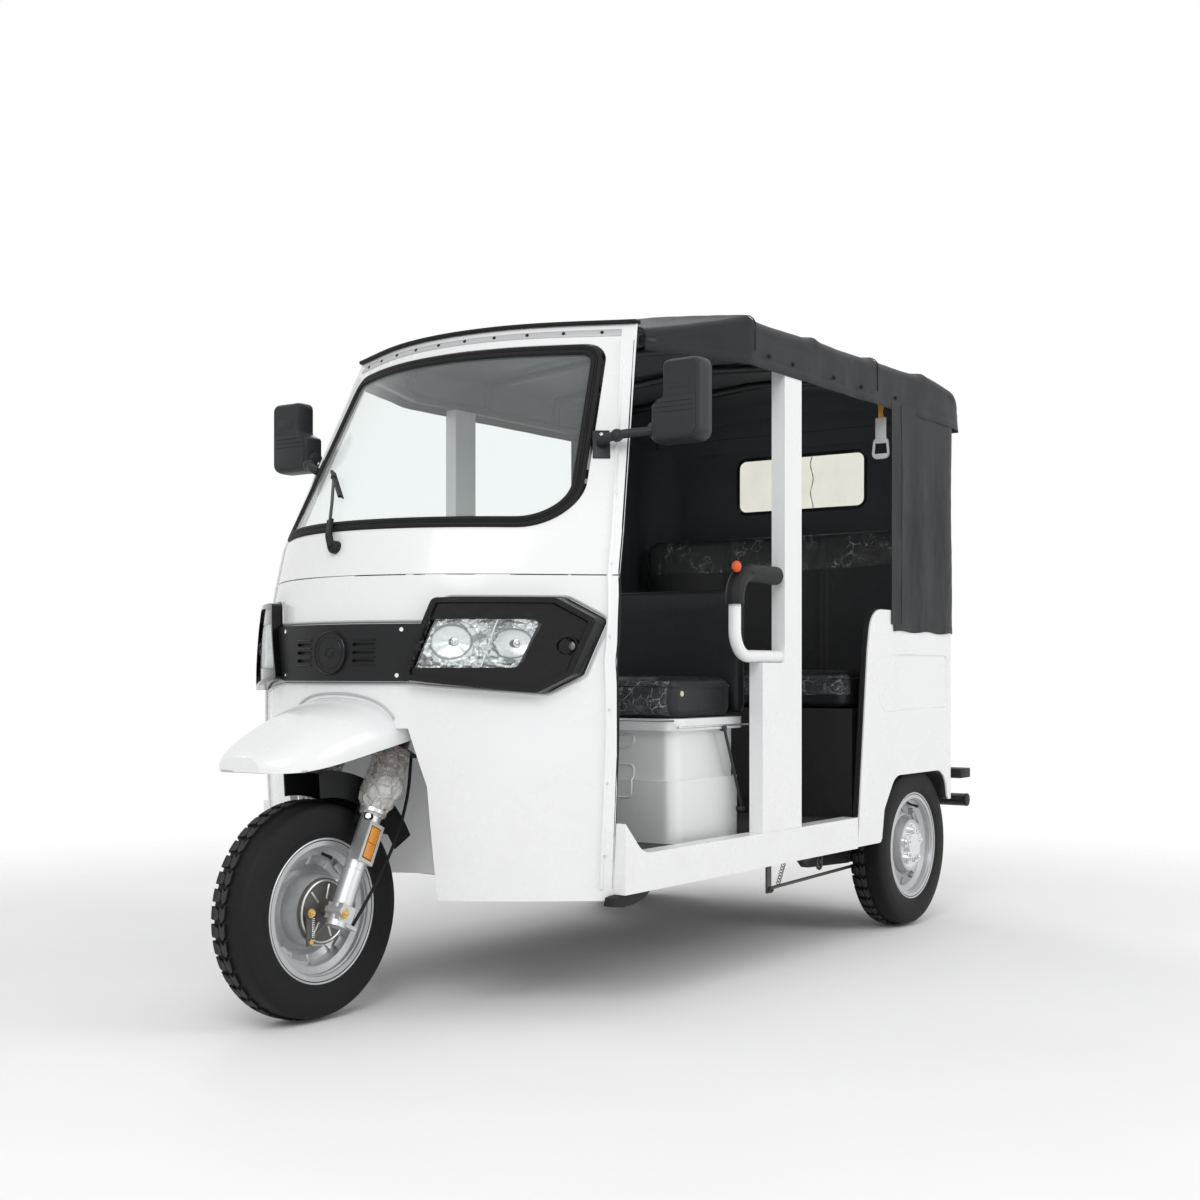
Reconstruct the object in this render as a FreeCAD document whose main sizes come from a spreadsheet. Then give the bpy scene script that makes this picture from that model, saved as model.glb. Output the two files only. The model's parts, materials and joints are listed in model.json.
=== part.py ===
import FreeCAD, Part
import math
import os

import Sketcher
from FreeCAD import Placement, Rotation, Vector

# Auto rickshaw: a white cab on one steered front wheel, a driver's bench, a rear tub with a passenger
# seat between two rear wheels, and a black fabric canopy over tube hoops.
# Frame: millimetres, +Z up, the nose points along -Y and the left side is +X. The ground is z = 0.
# Lengthwise places are measured back from the front axle, and along() moves them into the frame.

doc = FreeCAD.newDocument("auto_rickshaw")
sheet = doc.addObject("Spreadsheet::Sheet", "Sizes")

SIZES = [
    # The driving places and the three wheels
    ("front_axle_y", -1200, "front axle's place, which centres the whole length on the origin"),
    ("wheel_base", 2165, "front axle to rear axle"),
    ("track", 1096, "between the rear tyres' middle planes"),
    ("tyre_radius", 265, "tyre over its tread"),
    ("tyre_width", 112, "tyre over its side walls"),
    ("tread_width", 88, "flat of the tread"),
    ("tread_depth", 9, "tread blocks above the carcass"),
    ("rim_radius", 174, "rim over its flanges"),
    ("rim_width", 96, "rim over its flanges, along the axle"),
    ("rim_wall", 5, "thickness of the pressed rim"),
    ("rim_well", 22, "depth of the rim's well below the bead seat"),
    ("flange_height", 13, "rim flange above the bead seat"),
    ("seat_gap", 0.3, "clearance between pieces that rest on each other"),
    ("disc_dish", 9, "how far the wheel disc lies off the rim's middle"),
    ("disc_ring", 14, "height of the wheel disc's pressed ring"),
    ("hub_radius", 84, "brake drum and hub barrel"),
    ("hub_half", 42, "half the hub barrel's length"),
    ("hub_cap_radius", 40, "hub's middle boss"),
    ("hub_cap_depth", 12, "hub's middle boss beyond the barrel"),
    ("hub_lobe", 19, "radius of a hub lobe that carries a wheel nut"),
    ("lobe_depth", 8, "hub lobe beyond the barrel"),
    ("axle_radius", 10, "axle spindle"),
    ("running_gap", 0.05, "clearance round each axle and the steering stem"),
    ("vent_long", 26, "length of a vent in a wheel disc"),
    ("vent_wide", 10, "width of a vent in a wheel disc"),
    ("vent_count", 12, "vents in a wheel disc"),
    ("lobe_count", 5, "hub lobes"),
    # Steering and fork
    ("rake_angle", 26, "steering axis from the vertical, in degrees"),
    ("fork_offset", 30, "fork legs ahead of the steering axis"),
    ("fork_half", 104, "fork leg's axis from the middle plane"),
    ("leg_radius", 25, "fork leg's lower slider"),
    ("lug_deep", 46, "axle lug at the foot of a slider, front to back"),
    ("lug_high", 40, "axle lug at the foot of a slider"),
    ("pinch_radius", 9, "pinch bolt's boss on the axle lug"),
    ("clamp_wide", 52, "reflector's clamp, front to back"),
    ("clamp_high", 100, "reflector's clamp along the leg"),
    ("clamp_deep", 4, "reflector's clamp beyond the slider"),
    ("clamp_up", 128, "reflector clamp's foot, above the axle"),
    ("reflector_thick", 5, "reflector"),
    ("reflector_rim", 5, "clamp's rim round the reflector"),
    ("guard_gap", 66, "inner mudguard above the tyre"),
    ("guard_half", 62, "inner mudguard's half width"),
    ("guard_wall", 4, "inner mudguard's thickness"),
    ("guard_lip", 60, "inner mudguard's side lips"),
    ("guard_ahead", 4, "inner mudguard's front end, in degrees ahead of the top"),
    ("guard_behind", 62, "inner mudguard's rear end, in degrees behind the top"),
    ("brake_arm", 84, "brake lever's length"),
    ("brake_arm_wide", 16, "brake lever's width"),
    ("brake_cam_y", -57, "brake cam's place behind the front axle"),
    ("cam_radius", 9, "brake cam's boss"),
    ("rod_radius", 3, "brake pull rod"),
    ("cable_radius", 4, "brake cable"),
    ("slider_length", 295, "fork leg's lower slider, up from below the axle"),
    ("slider_drop", 34, "slider below the axle"),
    ("seat_rim", 9, "spring seat round the slider's top"),
    ("stanchion_radius", 16, "fork leg's inner tube"),
    ("fork_length", 430, "axle to the fork crown's underside, along the leg"),
    ("crown_depth", 26, "thickness of the fork crown"),
    ("crown_width", 74, "crown from front to back"),
    ("ear_deep", 18, "cable ear on the crown"),
    ("spring_radius", 34, "fork spring over its wire"),
    ("spring_wire", 8, "fork spring's wire"),
    ("spring_turns", 7, "turns of the fork spring"),
    ("stem_radius", 16, "steering stem"),
    ("stem_length", 378, "steering stem above the crown"),
    ("head_radius", 28, "outside of the steering head"),
    ("head_length", 190, "length of the steering head"),
    ("bar_radius", 13, "handlebar tube"),
    ("bar_half", 335, "half the handlebar's width"),
    ("bar_sweep", 190, "how far the grips lie behind the stem"),
    ("bar_rise", 70, "how far the grips lie above the stem's top"),
    ("grip_radius", 17, "rubber grip"),
    ("grip_length", 125, "rubber grip"),
    # Cab shell, by level from the ground up
    ("cab_wall", 24, "cab wall over its two skins"),
    ("cab_z_foot", 282, "lower edge of the front panel"),
    ("cab_z_low", 560, "level of the wheel arch"),
    ("cab_z_mid", 860, "level of the lamps"),
    ("cab_z_crease", 1070, "crease where the lower panel meets the windscreen frame"),
    ("cab_z_belt", 1180, "foot of the windscreen"),
    ("cab_z_brow", 1700, "level of the windscreen's top"),
    ("cab_z_top", 1738, "top of the header"),
    ("nose_y_foot", 150, "middle of the nose at the foot, behind the front axle"),
    ("nose_y_low", 108, "middle of the nose at the arch"),
    ("nose_y_mid", 90, "middle of the nose at the lamps"),
    ("nose_y_crease", 110, "middle of the nose at the crease"),
    ("nose_y_belt", 144, "middle of the nose at the windscreen's foot"),
    ("nose_y_brow", 520, "middle of the nose at the windscreen's top"),
    ("cab_half_foot", 588, "half width at the foot"),
    ("cab_half_mid", 602, "half width at the lamps"),
    ("cab_half_belt", 588, "half width at the windscreen's foot"),
    ("cab_half_brow", 494, "half width at the windscreen's top"),
    ("door_y_foot", 438, "door edge at the foot"),
    ("door_y_mid", 434, "door edge at the lamps"),
    ("door_y_belt", 484, "door edge at the windscreen's foot"),
    ("door_y_brow", 682, "door edge at the windscreen's top"),
    ("panel_joint", 3, "gap between the lower panel and the windscreen frame"),
    # Windscreen
    ("screen_half_low", 506, "windscreen opening's half width at its foot"),
    ("screen_half_high", 432, "windscreen opening's half width at its top"),
    ("screen_low", 1187, "windscreen opening's lower edge"),
    ("screen_high", 1684, "windscreen opening's upper edge"),
    ("screen_corner_low", 105, "lower corner radius of the opening"),
    ("screen_corner_high", 60, "upper corner radius of the opening"),
    ("seal_width", 30, "face width of the rubber seal"),
    ("seal_proud", 5, "seal standing out of the cab wall"),
    ("glass_thick", 6, "windscreen glass"),
    # Front wheel opening, fender and wheel well
    ("arch_half", 236, "front wheel opening's half width at its foot"),
    ("arch_half_high", 200, "front wheel opening's half width at its top"),
    ("arch_top", 700, "top of the front wheel opening"),
    ("fender_wall", 5, "fender's thickness"),
    ("fender_half", 172, "fender's half width at its root"),
    ("fender_tip_y", -216, "fender's tip, ahead of the front axle"),
    ("fender_root_y", 186, "fender's rear end"),
    ("fender_low", 606, "fender's lower edge at the nose"),
    ("fender_root_low", 672, "fender's lower edge at its root"),
    ("fender_high", 784, "fender's crown at its root"),
    ("fender_lip", 34, "height of the fender's front lip"),
    ("well_wall", 6, "wheel well's thickness"),
    ("well_front", 234, "where the wheel well meets the front panel"),
    ("well_foot", 300, "lower edge of the wheel well"),
    ("well_top", 792, "roof of the wheel well"),
    ("column_y", 510, "head column behind the wheel well"),
    ("column_radius", 22, "head column's tube"),
    ("column_z", 856, "where the head column meets the steering head"),
    # Lamps and grille
    ("bezel_proud", 36, "lamp bezel standing out of the cab wall"),
    ("bezel_rim", 12, "raised rim round the lamp bezel's dish"),
    ("bezel_in", 212, "lamp bezel's inner lower corner"),
    ("bezel_out", 581, "lamp bezel's outer tip"),
    ("bezel_low", 786, "lamp bezel's lowest corner"),
    ("bezel_high", 1014, "lamp bezel's upper edge"),
    ("bezel_lean", 60, "how far the bezel's inner edge leans outwards"),
    ("bezel_side_z", 818, "height of the bezel's inner lower corner"),
    ("bezel_toe", 480, "place of the bezel's lowest corner"),
    ("bezel_heel", 543, "bezel's outer lower corner"),
    ("bezel_heel_z", 829, "height of the bezel's outer lower corner"),
    ("bezel_shoulder", 505, "where the bezel's upper edge turns down"),
    ("bezel_tip_z", 962, "height of the bezel's outer tip"),
    ("bezel_corner", 16, "bezel's corner radius"),
    ("lens_in", 226, "lens's inner lower corner"),
    ("lens_out", 476, "lens's outer upper corner"),
    ("lens_low", 846, "lens's lower edge"),
    ("lens_high", 962, "lens's upper edge"),
    ("lens_lean", 38, "how far the lens's ends lean outwards"),
    ("lens_corner", 12, "lens's corner radius"),
    ("grille_proud", 16, "grille panel standing out of the cab wall"),
    ("grille_low", 814, "grille panel's lower edge"),
    ("grille_high", 952, "grille panel's upper edge"),
    ("grille_bar", 8, "grille bar's height"),
    ("slat_long", 62, "grille slot's length"),
    ("disc_radius", 52, "round cover in the grille"),
    ("disc_proud", 6, "round cover beyond the grille panel"),
    ("dash_low", 1012, "dashboard's lower edge"),
    ("dash_rise", 58, "dashboard's height"),
    ("dash_deep", 150, "dashboard from front to back"),
    ("fog_radius", 22, "round lamp in the bezel's outer end"),
    ("fog_x", 528, "round lamp's middle in the bezel"),
    ("fog_z", 898, "round lamp's height in the bezel"),
    # Mirrors and wiper
    ("mirror_z", 1404, "mirror bracket's middle height"),
    ("mirror_y", 585, "mirror head's middle, behind the front axle"),
    ("mirror_reach", 66, "mirror head's inner edge beyond the windscreen pillar"),
    ("mirror_wide", 146, "mirror head's lower part"),
    ("mirror_narrow", 112, "mirror head's upper part"),
    ("mirror_low", 1400, "mirror head's lower edge"),
    ("mirror_step", 1498, "height where the mirror head narrows"),
    ("mirror_high", 1606, "mirror head's upper edge"),
    ("mirror_deep", 62, "mirror head from front to back"),
    ("mirror_corner", 22, "mirror head's corner radius"),
    ("mirror_rib", 2, "ribs across the mirror head's lower part"),
    ("bracket_y", 528, "mirror bracket's middle, behind the front axle"),
    ("arm_radius", 12, "mirror arm"),
    ("bracket_high", 66, "mirror bracket's height"),
    ("bracket_deep", 64, "mirror bracket from front to back"),
    ("bracket_thick", 8, "mirror bracket beyond the cab's side"),
    ("wiper_x", 39, "wiper's pivot, to the right of the middle"),
    ("wiper_z", 1146, "wiper's pivot height"),
    ("wiper_boss", 17, "wiper's pivot boss"),
    ("wiper_lean", 151, "how far the wiper arm leans to the right"),
    ("wiper_rise", 199, "wiper arm's rise"),
    ("wiper_lift", 21, "wiper arm off the glass"),
    ("wiper_arm", 6, "wiper arm's radius"),
    ("blade_run", 90, "wiper blade's run to the left"),
    ("blade_fall", 62, "wiper blade's fall"),
    ("blade_radius", 5, "wiper blade"),
    # Sills, floor, pillars and rails
    ("body_half", 625, "half width over the rear tub and the pillars"),
    ("sill_low", 298, "sill's lower edge"),
    ("sill_high", 392, "sill's upper edge"),
    ("sill_width", 52, "sill from side to side"),
    ("sill_toe", 78, "rise of the sill's front end up the cab's edge"),
    ("floor_top", 382, "floor's upper face"),
    ("floor_thick", 14, "floor plate"),
    ("pillar_front", 1234, "middle pillar's front face"),
    ("pillar_rear", 1334, "middle pillar's rear face"),
    ("pillar_width", 42, "middle pillar from side to side"),
    ("pillar_top", 1688, "middle pillar's upper end"),
    ("skirt_front", 1108, "front edge of the pillar's lower panel"),
    ("skirt_top", 862, "top of the pillar's lower panel"),
    ("rail_front", 992, "front of the looped hand rail"),
    ("rail_top", 1106, "top run of the looped hand rail"),
    ("rail_radius", 17, "hand rail's tube"),
    ("rail_bend", 70, "hand rail's bend radius"),
    ("armrest_radius", 26, "soft sleeve on the hand rail"),
    # Seats
    ("bench_inset", 95, "driver's seat box inside the body's side"),
    ("bench_corner", 40, "seat box's corner radius"),
    ("bench_front", 804, "front of the driver's seat box"),
    ("bench_rear", 1160, "rear of the driver's seat box"),
    ("bench_top", 684, "top of the driver's seat box"),
    ("bench_wall", 6, "wall of the driver's seat box"),
    ("bench_step", 12, "seat box's step"),
    ("bench_step_z", 548, "height of the seat box's step"),
    ("trim_depth", 28, "bright rim on the seat box"),
    ("trim_proud", 12, "bright rim standing out of the seat box"),
    ("cushion_depth", 112, "driver's cushion"),
    ("driver_back_low", 850, "lower edge of the driver's backrest"),
    ("driver_back_high", 1086, "upper edge of the driver's backrest"),
    ("driver_back_deep", 52, "driver's backrest from front to back"),
    ("bank_front", 1752, "front of the passenger seat box"),
    ("bank_top", 722, "top of the passenger seat box"),
    ("bank_cushion", 122, "passenger cushion"),
    ("bank_gap", 27, "passenger seat to the tub's inner skin"),
    ("pad_round", 22, "rounding of the cushions' edges"),
    ("bank_back_front", 2300, "front of the passenger backrest"),
    ("bank_back_deep", 110, "passenger backrest from front to back"),
    ("bank_back_high", 1345, "top of the passenger backrest"),
    # Rear tub
    ("tub_wall", 20, "tub wall over its two skins"),
    ("tub_front", 1698, "tub's front edge at the sill"),
    ("tub_shoulder", 1767, "tub's front edge below its shoulder"),
    ("tub_shoulder_z", 904, "height where the tub's front edge starts to curve"),
    ("tub_top_front", 1890, "where the tub's curved edge meets its top"),
    ("tub_top", 1032, "tub's top edge"),
    ("tub_low", 302, "tub's lower edge ahead of the wheel"),
    ("tub_tail_low", 404, "tub's lower edge behind the wheel"),
    ("tub_rear", 2500, "rear face of the tub"),
    ("tub_corner", 110, "radius of the tub's rear corners"),
    ("arch_ahead", 279, "rear wheel opening's front edge, ahead of the axle"),
    ("arch_behind", 219, "rear wheel opening's rear edge, behind the axle"),
    ("tub_arch_top", 506, "rear wheel opening's top"),
    ("tub_arch_corner", 80, "corner radius of the rear wheel opening"),
    ("liner_gap", 36, "rear tyre to its arch liner"),
    ("liner_wall", 5, "arch liner"),
    ("recess_front", 1962, "pressed panel's front edge"),
    ("recess_rear", 2380, "pressed panel's rear edge"),
    ("recess_low", 716, "pressed panel's lower edge"),
    ("recess_high", 892, "pressed panel's upper edge"),
    ("recess_deep", 4, "pressed panel's depth"),
    ("recess_corner", 24, "pressed panel's corner radius"),
    ("tail_wide", 150, "tail lamp's width"),
    ("tail_high", 92, "tail lamp's height"),
    ("tail_deep", 34, "tail lamp's depth"),
    ("tail_z", 560, "tail lamp's lower edge"),
    ("tail_inset", 118, "tail lamp inside the tub's side"),
    ("marker_wide", 180, "side marker bar from the body's side inwards"),
    ("marker_deep", 90, "side marker bar behind the tub"),
    ("marker_z", 468, "side marker's lower edge"),
    ("marker_high", 33, "side marker bar's height"),
    # Canopy
    ("cloth", 4, "canopy fabric with its lining"),
    ("canopy_over", 5, "canopy beyond the body's side"),
    ("canopy_front", 708, "canopy's front edge"),
    ("canopy_rear", 2486, "canopy's rear edge"),
    ("valance_low", 1694, "canopy's lower edge at the sides"),
    ("shoulder_z", 1806, "canopy's shoulder"),
    ("crown_z", 1852, "canopy's crown"),
    ("hoop_lift", 16, "how much higher the last hoop stands than the first"),
    ("hoop_sag", 12, "how far the cloth sags between two hoops"),
    ("shoulder_bend", 34, "radius of the canopy's shoulder"),
    ("crown_bend", 900, "radius of the canopy's crown"),
    ("tail_round", 46, "how far the canopy rounds down at its tail"),
    ("header_over", 12, "canopy beyond the cab's header"),
    ("header_drop", 10, "canopy's shoulder below the header's top"),
    ("hoop_shoulder", 150, "sloping end of a hoop"),
    ("hoop_fall", 44, "fall of a hoop over its sloping end"),
    ("strap_y", 1976, "hanging grip's place"),
    ("strap_wide", 26, "hanging grip's strap"),
    ("strap_thick", 4, "hanging grip's strap"),
    ("strap_low", 1650, "lower end of the upper strap"),
    ("grip_low", 1520, "lower end of the hanging grip"),
    ("grip_wide", 60, "hanging grip's handle"),
    ("grip_thick", 8, "hanging grip's handle"),
    ("grip_loop", 9, "hanging grip's ring"),
    ("hoop_radius", 14, "canopy hoop's tube"),
    ("hoop_first", 1048, "first hoop"),
    ("hoop_last", 2200, "last hoop"),
    ("curtain_front", 1948, "front edge of the side curtain"),
    ("curtain_low", 985, "lower edge of the curtains"),
    ("window_half", 270, "rear window's half width"),
    ("window_low", 1424, "rear window's lower edge"),
    ("window_high", 1640, "rear window's upper edge"),
    ("window_corner", 40, "rear window's corner radius"),
    ("film_thick", 1.6, "rear window's film"),
    # Chassis and running gear
    ("rail_half", 262, "chassis rail's axis from the middle plane"),
    ("lever_x", 452, "brake lever under the floor, from the middle plane"),
    ("lever_y", 1450, "brake lever under the floor"),
    ("lever_low", 176, "foot of the brake lever under the floor"),
    ("lever_axle_z", 331, "cross shaft of the brake lever under the floor"),
    ("lever_thick", 6, "brake lever under the floor"),
    ("lever_wide", 26, "brake lever under the floor"),
    ("brake_rod", 5, "brake rod under the floor"),
    ("rail_width", 44, "chassis rail from side to side"),
    ("rail_low", 296, "chassis rail's lower face"),
    ("rail_high", 366, "chassis rail's upper face"),
    ("rail_rear", 2484, "chassis rail's rear end"),
    ("spring_half", 400, "leaf spring from the middle plane"),
    ("leaf_width", 50, "leaf spring's leaves"),
    ("leaf_thick", 8, "one leaf"),
    ("leaf_front", 425, "leaf spring's front eye from the axle"),
    ("leaf_rear", 290, "leaf spring's rear eye from the axle"),
    ("hanger_radius", 12, "cross tube through the leaf springs' eyes"),
    ("eye_radius", 20, "leaf spring's eye"),
    ("axle_tube_radius", 30, "rear axle tube"),
    ("plate_thick", 10, "rear brake's back plate"),
    ("diff_radius", 92, "rear axle's differential"),
    ("shaft_radius", 18, "propeller shaft"),
    ("shaft_front_z", 274, "propeller shaft's front end"),
    ("engine_front", 848.3, "engine's front face"),
    ("engine_long", 272, "engine's length"),
    ("engine_half", 165, "engine's half width"),
    ("engine_low", 262, "engine's lower face"),
    ("engine_high", 600, "engine's upper face"),
    ("bumper_y", 2636, "rear bumper bar's axis"),
    ("bumper_z", 384, "rear bumper bar's height"),
    ("bumper_radius", 22, "rear bumper bar"),
    ("bumper_stay", 15, "rear bumper's stays"),
    ("collar_half", 24, "half the collar where a stay meets the bumper bar"),
    ("collar_radius", 26, "collar where a stay meets the bumper bar"),
    ("bumper_inset", 35, "rear bumper bar's end inside the body's side"),
]

for row, (alias, value, meaning) in enumerate(SIZES, start=1):
    sheet.set(f"A{row}", alias)
    sheet.set(f"B{row}", str(value))
    sheet.setAlias(f"B{row}", alias)
    sheet.set(f"C{row}", meaning)
doc.recompute()


class Size:
    """A length that keeps its number and the spreadsheet expression that gives it."""

    def __init__(self, text, value):
        self.text = text
        self.value = float(value)

    def _with(self, sign, other, swap=False):
        other = other if isinstance(other, Size) else Size(f"({other})", other)
        a, b = (other, self) if swap else (self, other)
        value = {
            "+": lambda: a.value + b.value,
            "-": lambda: a.value - b.value,
            "*": lambda: a.value * b.value,
            "/": lambda: a.value / b.value,
        }[sign]()
        return Size(f"({a.text} {sign} {b.text})", value)

    def __add__(self, other):
        return self._with("+", other)

    def __radd__(self, other):
        return self._with("+", other, swap=True)

    def __sub__(self, other):
        return self._with("-", other)

    def __rsub__(self, other):
        return self._with("-", other, swap=True)

    def __mul__(self, other):
        return self._with("*", other)

    def __rmul__(self, other):
        return self._with("*", other, swap=True)

    def __truediv__(self, other):
        return self._with("/", other)

    def __neg__(self):
        return Size(f"(0 - {self.text})", -self.value)

    def __float__(self):
        return self.value


class Sizes:
    """The spreadsheet's cells by their aliases."""

    def __getattr__(self, alias):
        return Size(f"Sizes.{alias}", sheet.get(alias))


d = Sizes()
ZERO = Size("0", 0)
nodes = []

canopy_half = d.body_half + d.canopy_over
bench_half = d.body_half - d.bench_inset
bank_half = d.body_half - d.tub_wall - d.bank_gap
bumper_half = d.body_half - d.bumper_inset
arch_front = d.wheel_base - d.arch_ahead
arch_rear = d.wheel_base + d.arch_behind
sill_front = d.door_y_foot + d.seat_gap


def along(place):
    """A place behind the front axle, in the frame."""
    return d.front_axle_y + place


def vec(x, y, z):
    return Vector(float(x), float(y), float(z))


def bind(thing, **values):
    """Ties properties to the spreadsheet; a double underscore stands for a dot."""
    for name, value in values.items():
        path = name.replace("__", ".")
        if isinstance(value, Size):
            thing.setExpression(path, value.text)
        else:
            thing.setExpression(path, str(value))


def place(thing, x, y, z):
    bind(thing, Placement__Base__x=x, Placement__Base__y=along(y), Placement__Base__z=z)


def node(name, thing):
    """Names a finished sub-part, which becomes one file."""
    thing.Label = name
    nodes.append((name, thing))
    return thing


def block(name, x, y, z, wide, deep, high):
    """A box from its lowest corner; y is measured behind the front axle."""
    box = doc.addObject("Part::Box", name)
    bind(box, Length=wide, Width=deep, Height=high)
    place(box, x, y, z)
    return box


TURNS = {
    "x": Rotation(Vector(0, 1, 0), 90),
    "y": Rotation(Vector(1, 0, 0), -90),
    "z": Rotation(),
}


def rod(name, axis, x, y, z, radius, length):
    """A cylinder that runs along one axis from the given point."""
    cylinder = doc.addObject("Part::Cylinder", name)
    cylinder.Placement = Placement(Vector(), TURNS[axis])
    bind(cylinder, Radius=radius, Height=length)
    place(cylinder, x, y, z)
    return cylinder


def join(name, *things):
    fused = doc.addObject("Part::MultiFuse", name)
    fused.Shapes = list(things)
    fused.Refine = True
    return fused


def carve(name, base, *tools):
    cut = doc.addObject("Part::Cut", name)
    cut.Base = base
    cut.Tool = tools[0] if len(tools) == 1 else join(f"{name}_tools", *tools)
    cut.Refine = True
    return cut


def mirrored(name, source):
    twin = doc.addObject("Part::Mirroring", name)
    twin.Source = source
    twin.Normal = Vector(1, 0, 0)
    twin.Base = Vector(0, 0, 0)
    return twin


def shaped(name, shape):
    """A piece whose form comes from Part's own functions."""
    thing = doc.addObject("Part::Feature", name)
    thing.Shape = shape
    return thing


def pair(name, left):
    """The left piece and its mirror image, as two sub-parts."""
    node(f"{name}_left", left)
    node(f"{name}_right", mirrored(f"{name}_mirror", left))


def both(name, left):
    """The left piece and its mirror image as one sub-part of two solids."""
    group = doc.addObject("Part::Compound", name)
    group.Links = [left, mirrored(f"{name}_mirror", left)]
    return node(name, group)


def outline_sketch(body, name, points, plane="XY_Plane"):
    """A closed outline of straight edges, each corner held by the spreadsheet."""
    sketch = body.newObject("Sketcher::SketchObject", name)
    origin = [f for f in body.Origin.OriginFeatures if f.Role == plane][0]
    sketch.AttachmentSupport = [(origin, "")]
    sketch.MapMode = "FlatFace"
    corners = [Vector(float(a), float(b), 0) for a, b in points]
    count = len(corners)
    for i in range(count):
        sketch.addGeometry(Part.LineSegment(corners[i], corners[(i + 1) % count]), False)
    for i in range(count):
        sketch.addConstraint(Sketcher.Constraint("Coincident", i, 2, (i + 1) % count, 1))
    for i, (a, b) in enumerate(points):
        for kind, axis, value in (("DistanceX", -2, a), ("DistanceY", -1, b)):
            if float(value) == 0:
                sketch.addConstraint(Sketcher.Constraint("PointOnObject", i, 1, axis))
                continue
            at = sketch.addConstraint(Sketcher.Constraint(kind, -1, 1, i, 1, float(value)))
            sketch.setExpression(f"Constraints[{at}]", value.text)
    return sketch


def turned(name, points):
    """A body turned about X from an outline of (along the axle, out from it)."""
    body = doc.addObject("PartDesign::Body", name)
    sketch = outline_sketch(body, f"{name}_outline", points)
    turn = body.newObject("PartDesign::Revolution", f"{name}_turn")
    turn.Profile = sketch
    turn.ReferenceAxis = (sketch, ["H_Axis"])
    turn.Angle = 360
    body.Tip = turn
    return body


def prism_y(points, y_from, y_to, corners=None):
    """A solid with an outline in X and Z, running along Y, its corners rounded by the given radii."""
    flat = [vec(x, along(y_from), z) for x, z in points]
    wire = rounded_wire(flat, corners)
    return Part.Face(wire).extrude(vec(0, y_to - y_from, 0))


def prism_x(points, x_from, x_to, corners=None):
    """A solid with an outline in Y and Z, running along X."""
    flat = [vec(x_from, along(y), z) for y, z in points]
    wire = rounded_wire(flat, corners)
    return Part.Face(wire).extrude(vec(x_to - x_from, 0, 0))


def rounded_wire(points, corners=None):
    """A closed wire of straight edges whose corners are arcs; a radius of 0 leaves one sharp."""
    count = len(points)
    radii = corners or [0] * count
    edges = []
    ends = []
    for i in range(count):
        here, before, after = points[i], points[i - 1], points[(i + 1) % count]
        radius = float(radii[i])
        if radius <= 0:
            ends.append((here, here, None))
            continue
        one = (before - here).normalize()
        two = (after - here).normalize()
        half = one.getAngle(two) / 2
        reach = radius / math.tan(half)
        middle = (one + two).normalize() * (radius / math.sin(half))
        centre = here + middle
        ends.append((here + one * reach, here + two * reach, centre - middle.normalize() * radius))
    for i in range(count):
        start, finish, bow = ends[i]
        if bow is not None:
            edges.append(Part.Arc(start, bow, finish).toShape())
        nxt = ends[(i + 1) % count][0]
        if (nxt - finish).Length > 1e-6:
            edges.append(Part.LineSegment(finish, nxt).toShape())
    return Part.Wire(edges)


def tube_path(points, bends):
    """A path of straight runs joined by tangent arcs of the given radii."""
    edges = []
    start = points[0]
    for i in range(1, len(points) - 1):
        before, here, after = points[i - 1], points[i], points[i + 1]
        one = (before - here).normalize()
        two = (after - here).normalize()
        half = one.getAngle(two) / 2
        radius = float(bends[i - 1])
        reach = radius / math.tan(half)
        middle = (one + two).normalize()
        bow = here + middle * (radius / math.sin(half) - radius)
        edges.append(Part.LineSegment(start, here + one * reach).toShape())
        edges.append(Part.Arc(here + one * reach, bow, here + two * reach).toShape())
        start = here + two * reach
    edges.append(Part.LineSegment(start, points[-1]).toShape())
    return Part.Wire(edges)


def tube(points, radius, bends):
    """A round bar or tube swept along such a path."""
    path = tube_path(points, bends)
    ring = Part.Wire(Part.makeCircle(float(radius), points[0], points[1] - points[0]))
    return path.makePipeShell([ring], True, False)


# Wheels

def tyre_outline():
    half = d.tyre_width / 2
    flat = d.tread_width / 2
    bead = d.rim_radius - d.flange_height
    beadside = d.rim_width / 2 - d.rim_wall - d.flange_height / 3
    wall = d.tyre_radius - d.rim_radius
    side = [(beadside, bead), (half, d.rim_radius + wall * 0.45), (flat, d.tyre_radius)]
    return side + [(-x, r) for x, r in reversed(side)]


def rim_section():
    """Half a section of the rim, its disc with a pressed ring and its hub barrel, hub side first."""
    bore = d.axle_radius + d.running_gap
    half = d.rim_width / 2
    wall = d.rim_wall
    bead = d.rim_radius - d.flange_height - d.seat_gap
    well = bead - d.rim_well
    step = d.rim_width * 0.22
    dish = d.disc_dish * 0.4
    ring = d.hub_radius + d.disc_ring
    return [
        (half, d.rim_radius),
        (half - wall, d.rim_radius),
        (half - wall, bead),
        (step, bead - wall / 2),
        (step - wall, well),
        (-step, well),
        (-step - wall, bead - wall / 2),
        (-half + wall, bead),
        (-half + wall, d.rim_radius),
        (-half, d.rim_radius),
        (-half, bead - wall),
        (-step - wall * 2, bead - wall * 2),
        (-step - wall, well - wall),
        (-wall, well - wall),
        (-wall, well - wall * 3),
        (dish, well - wall * 6),
        (dish + wall * 2, ring),
        (dish, d.hub_radius + wall),
        (-d.hub_half, d.hub_radius),
        (-d.hub_half, bore),
        (d.hub_half, bore),
        (d.hub_half, d.hub_radius),
        (dish + wall, d.hub_radius + wall),
        (dish + wall * 3, ring),
        (dish + wall, well - wall * 5),
        (wall, well - wall * 2),
        (step - wall, well - wall),
        (step + wall, bead - wall * 2),
        (half, bead - wall),
    ]


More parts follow.
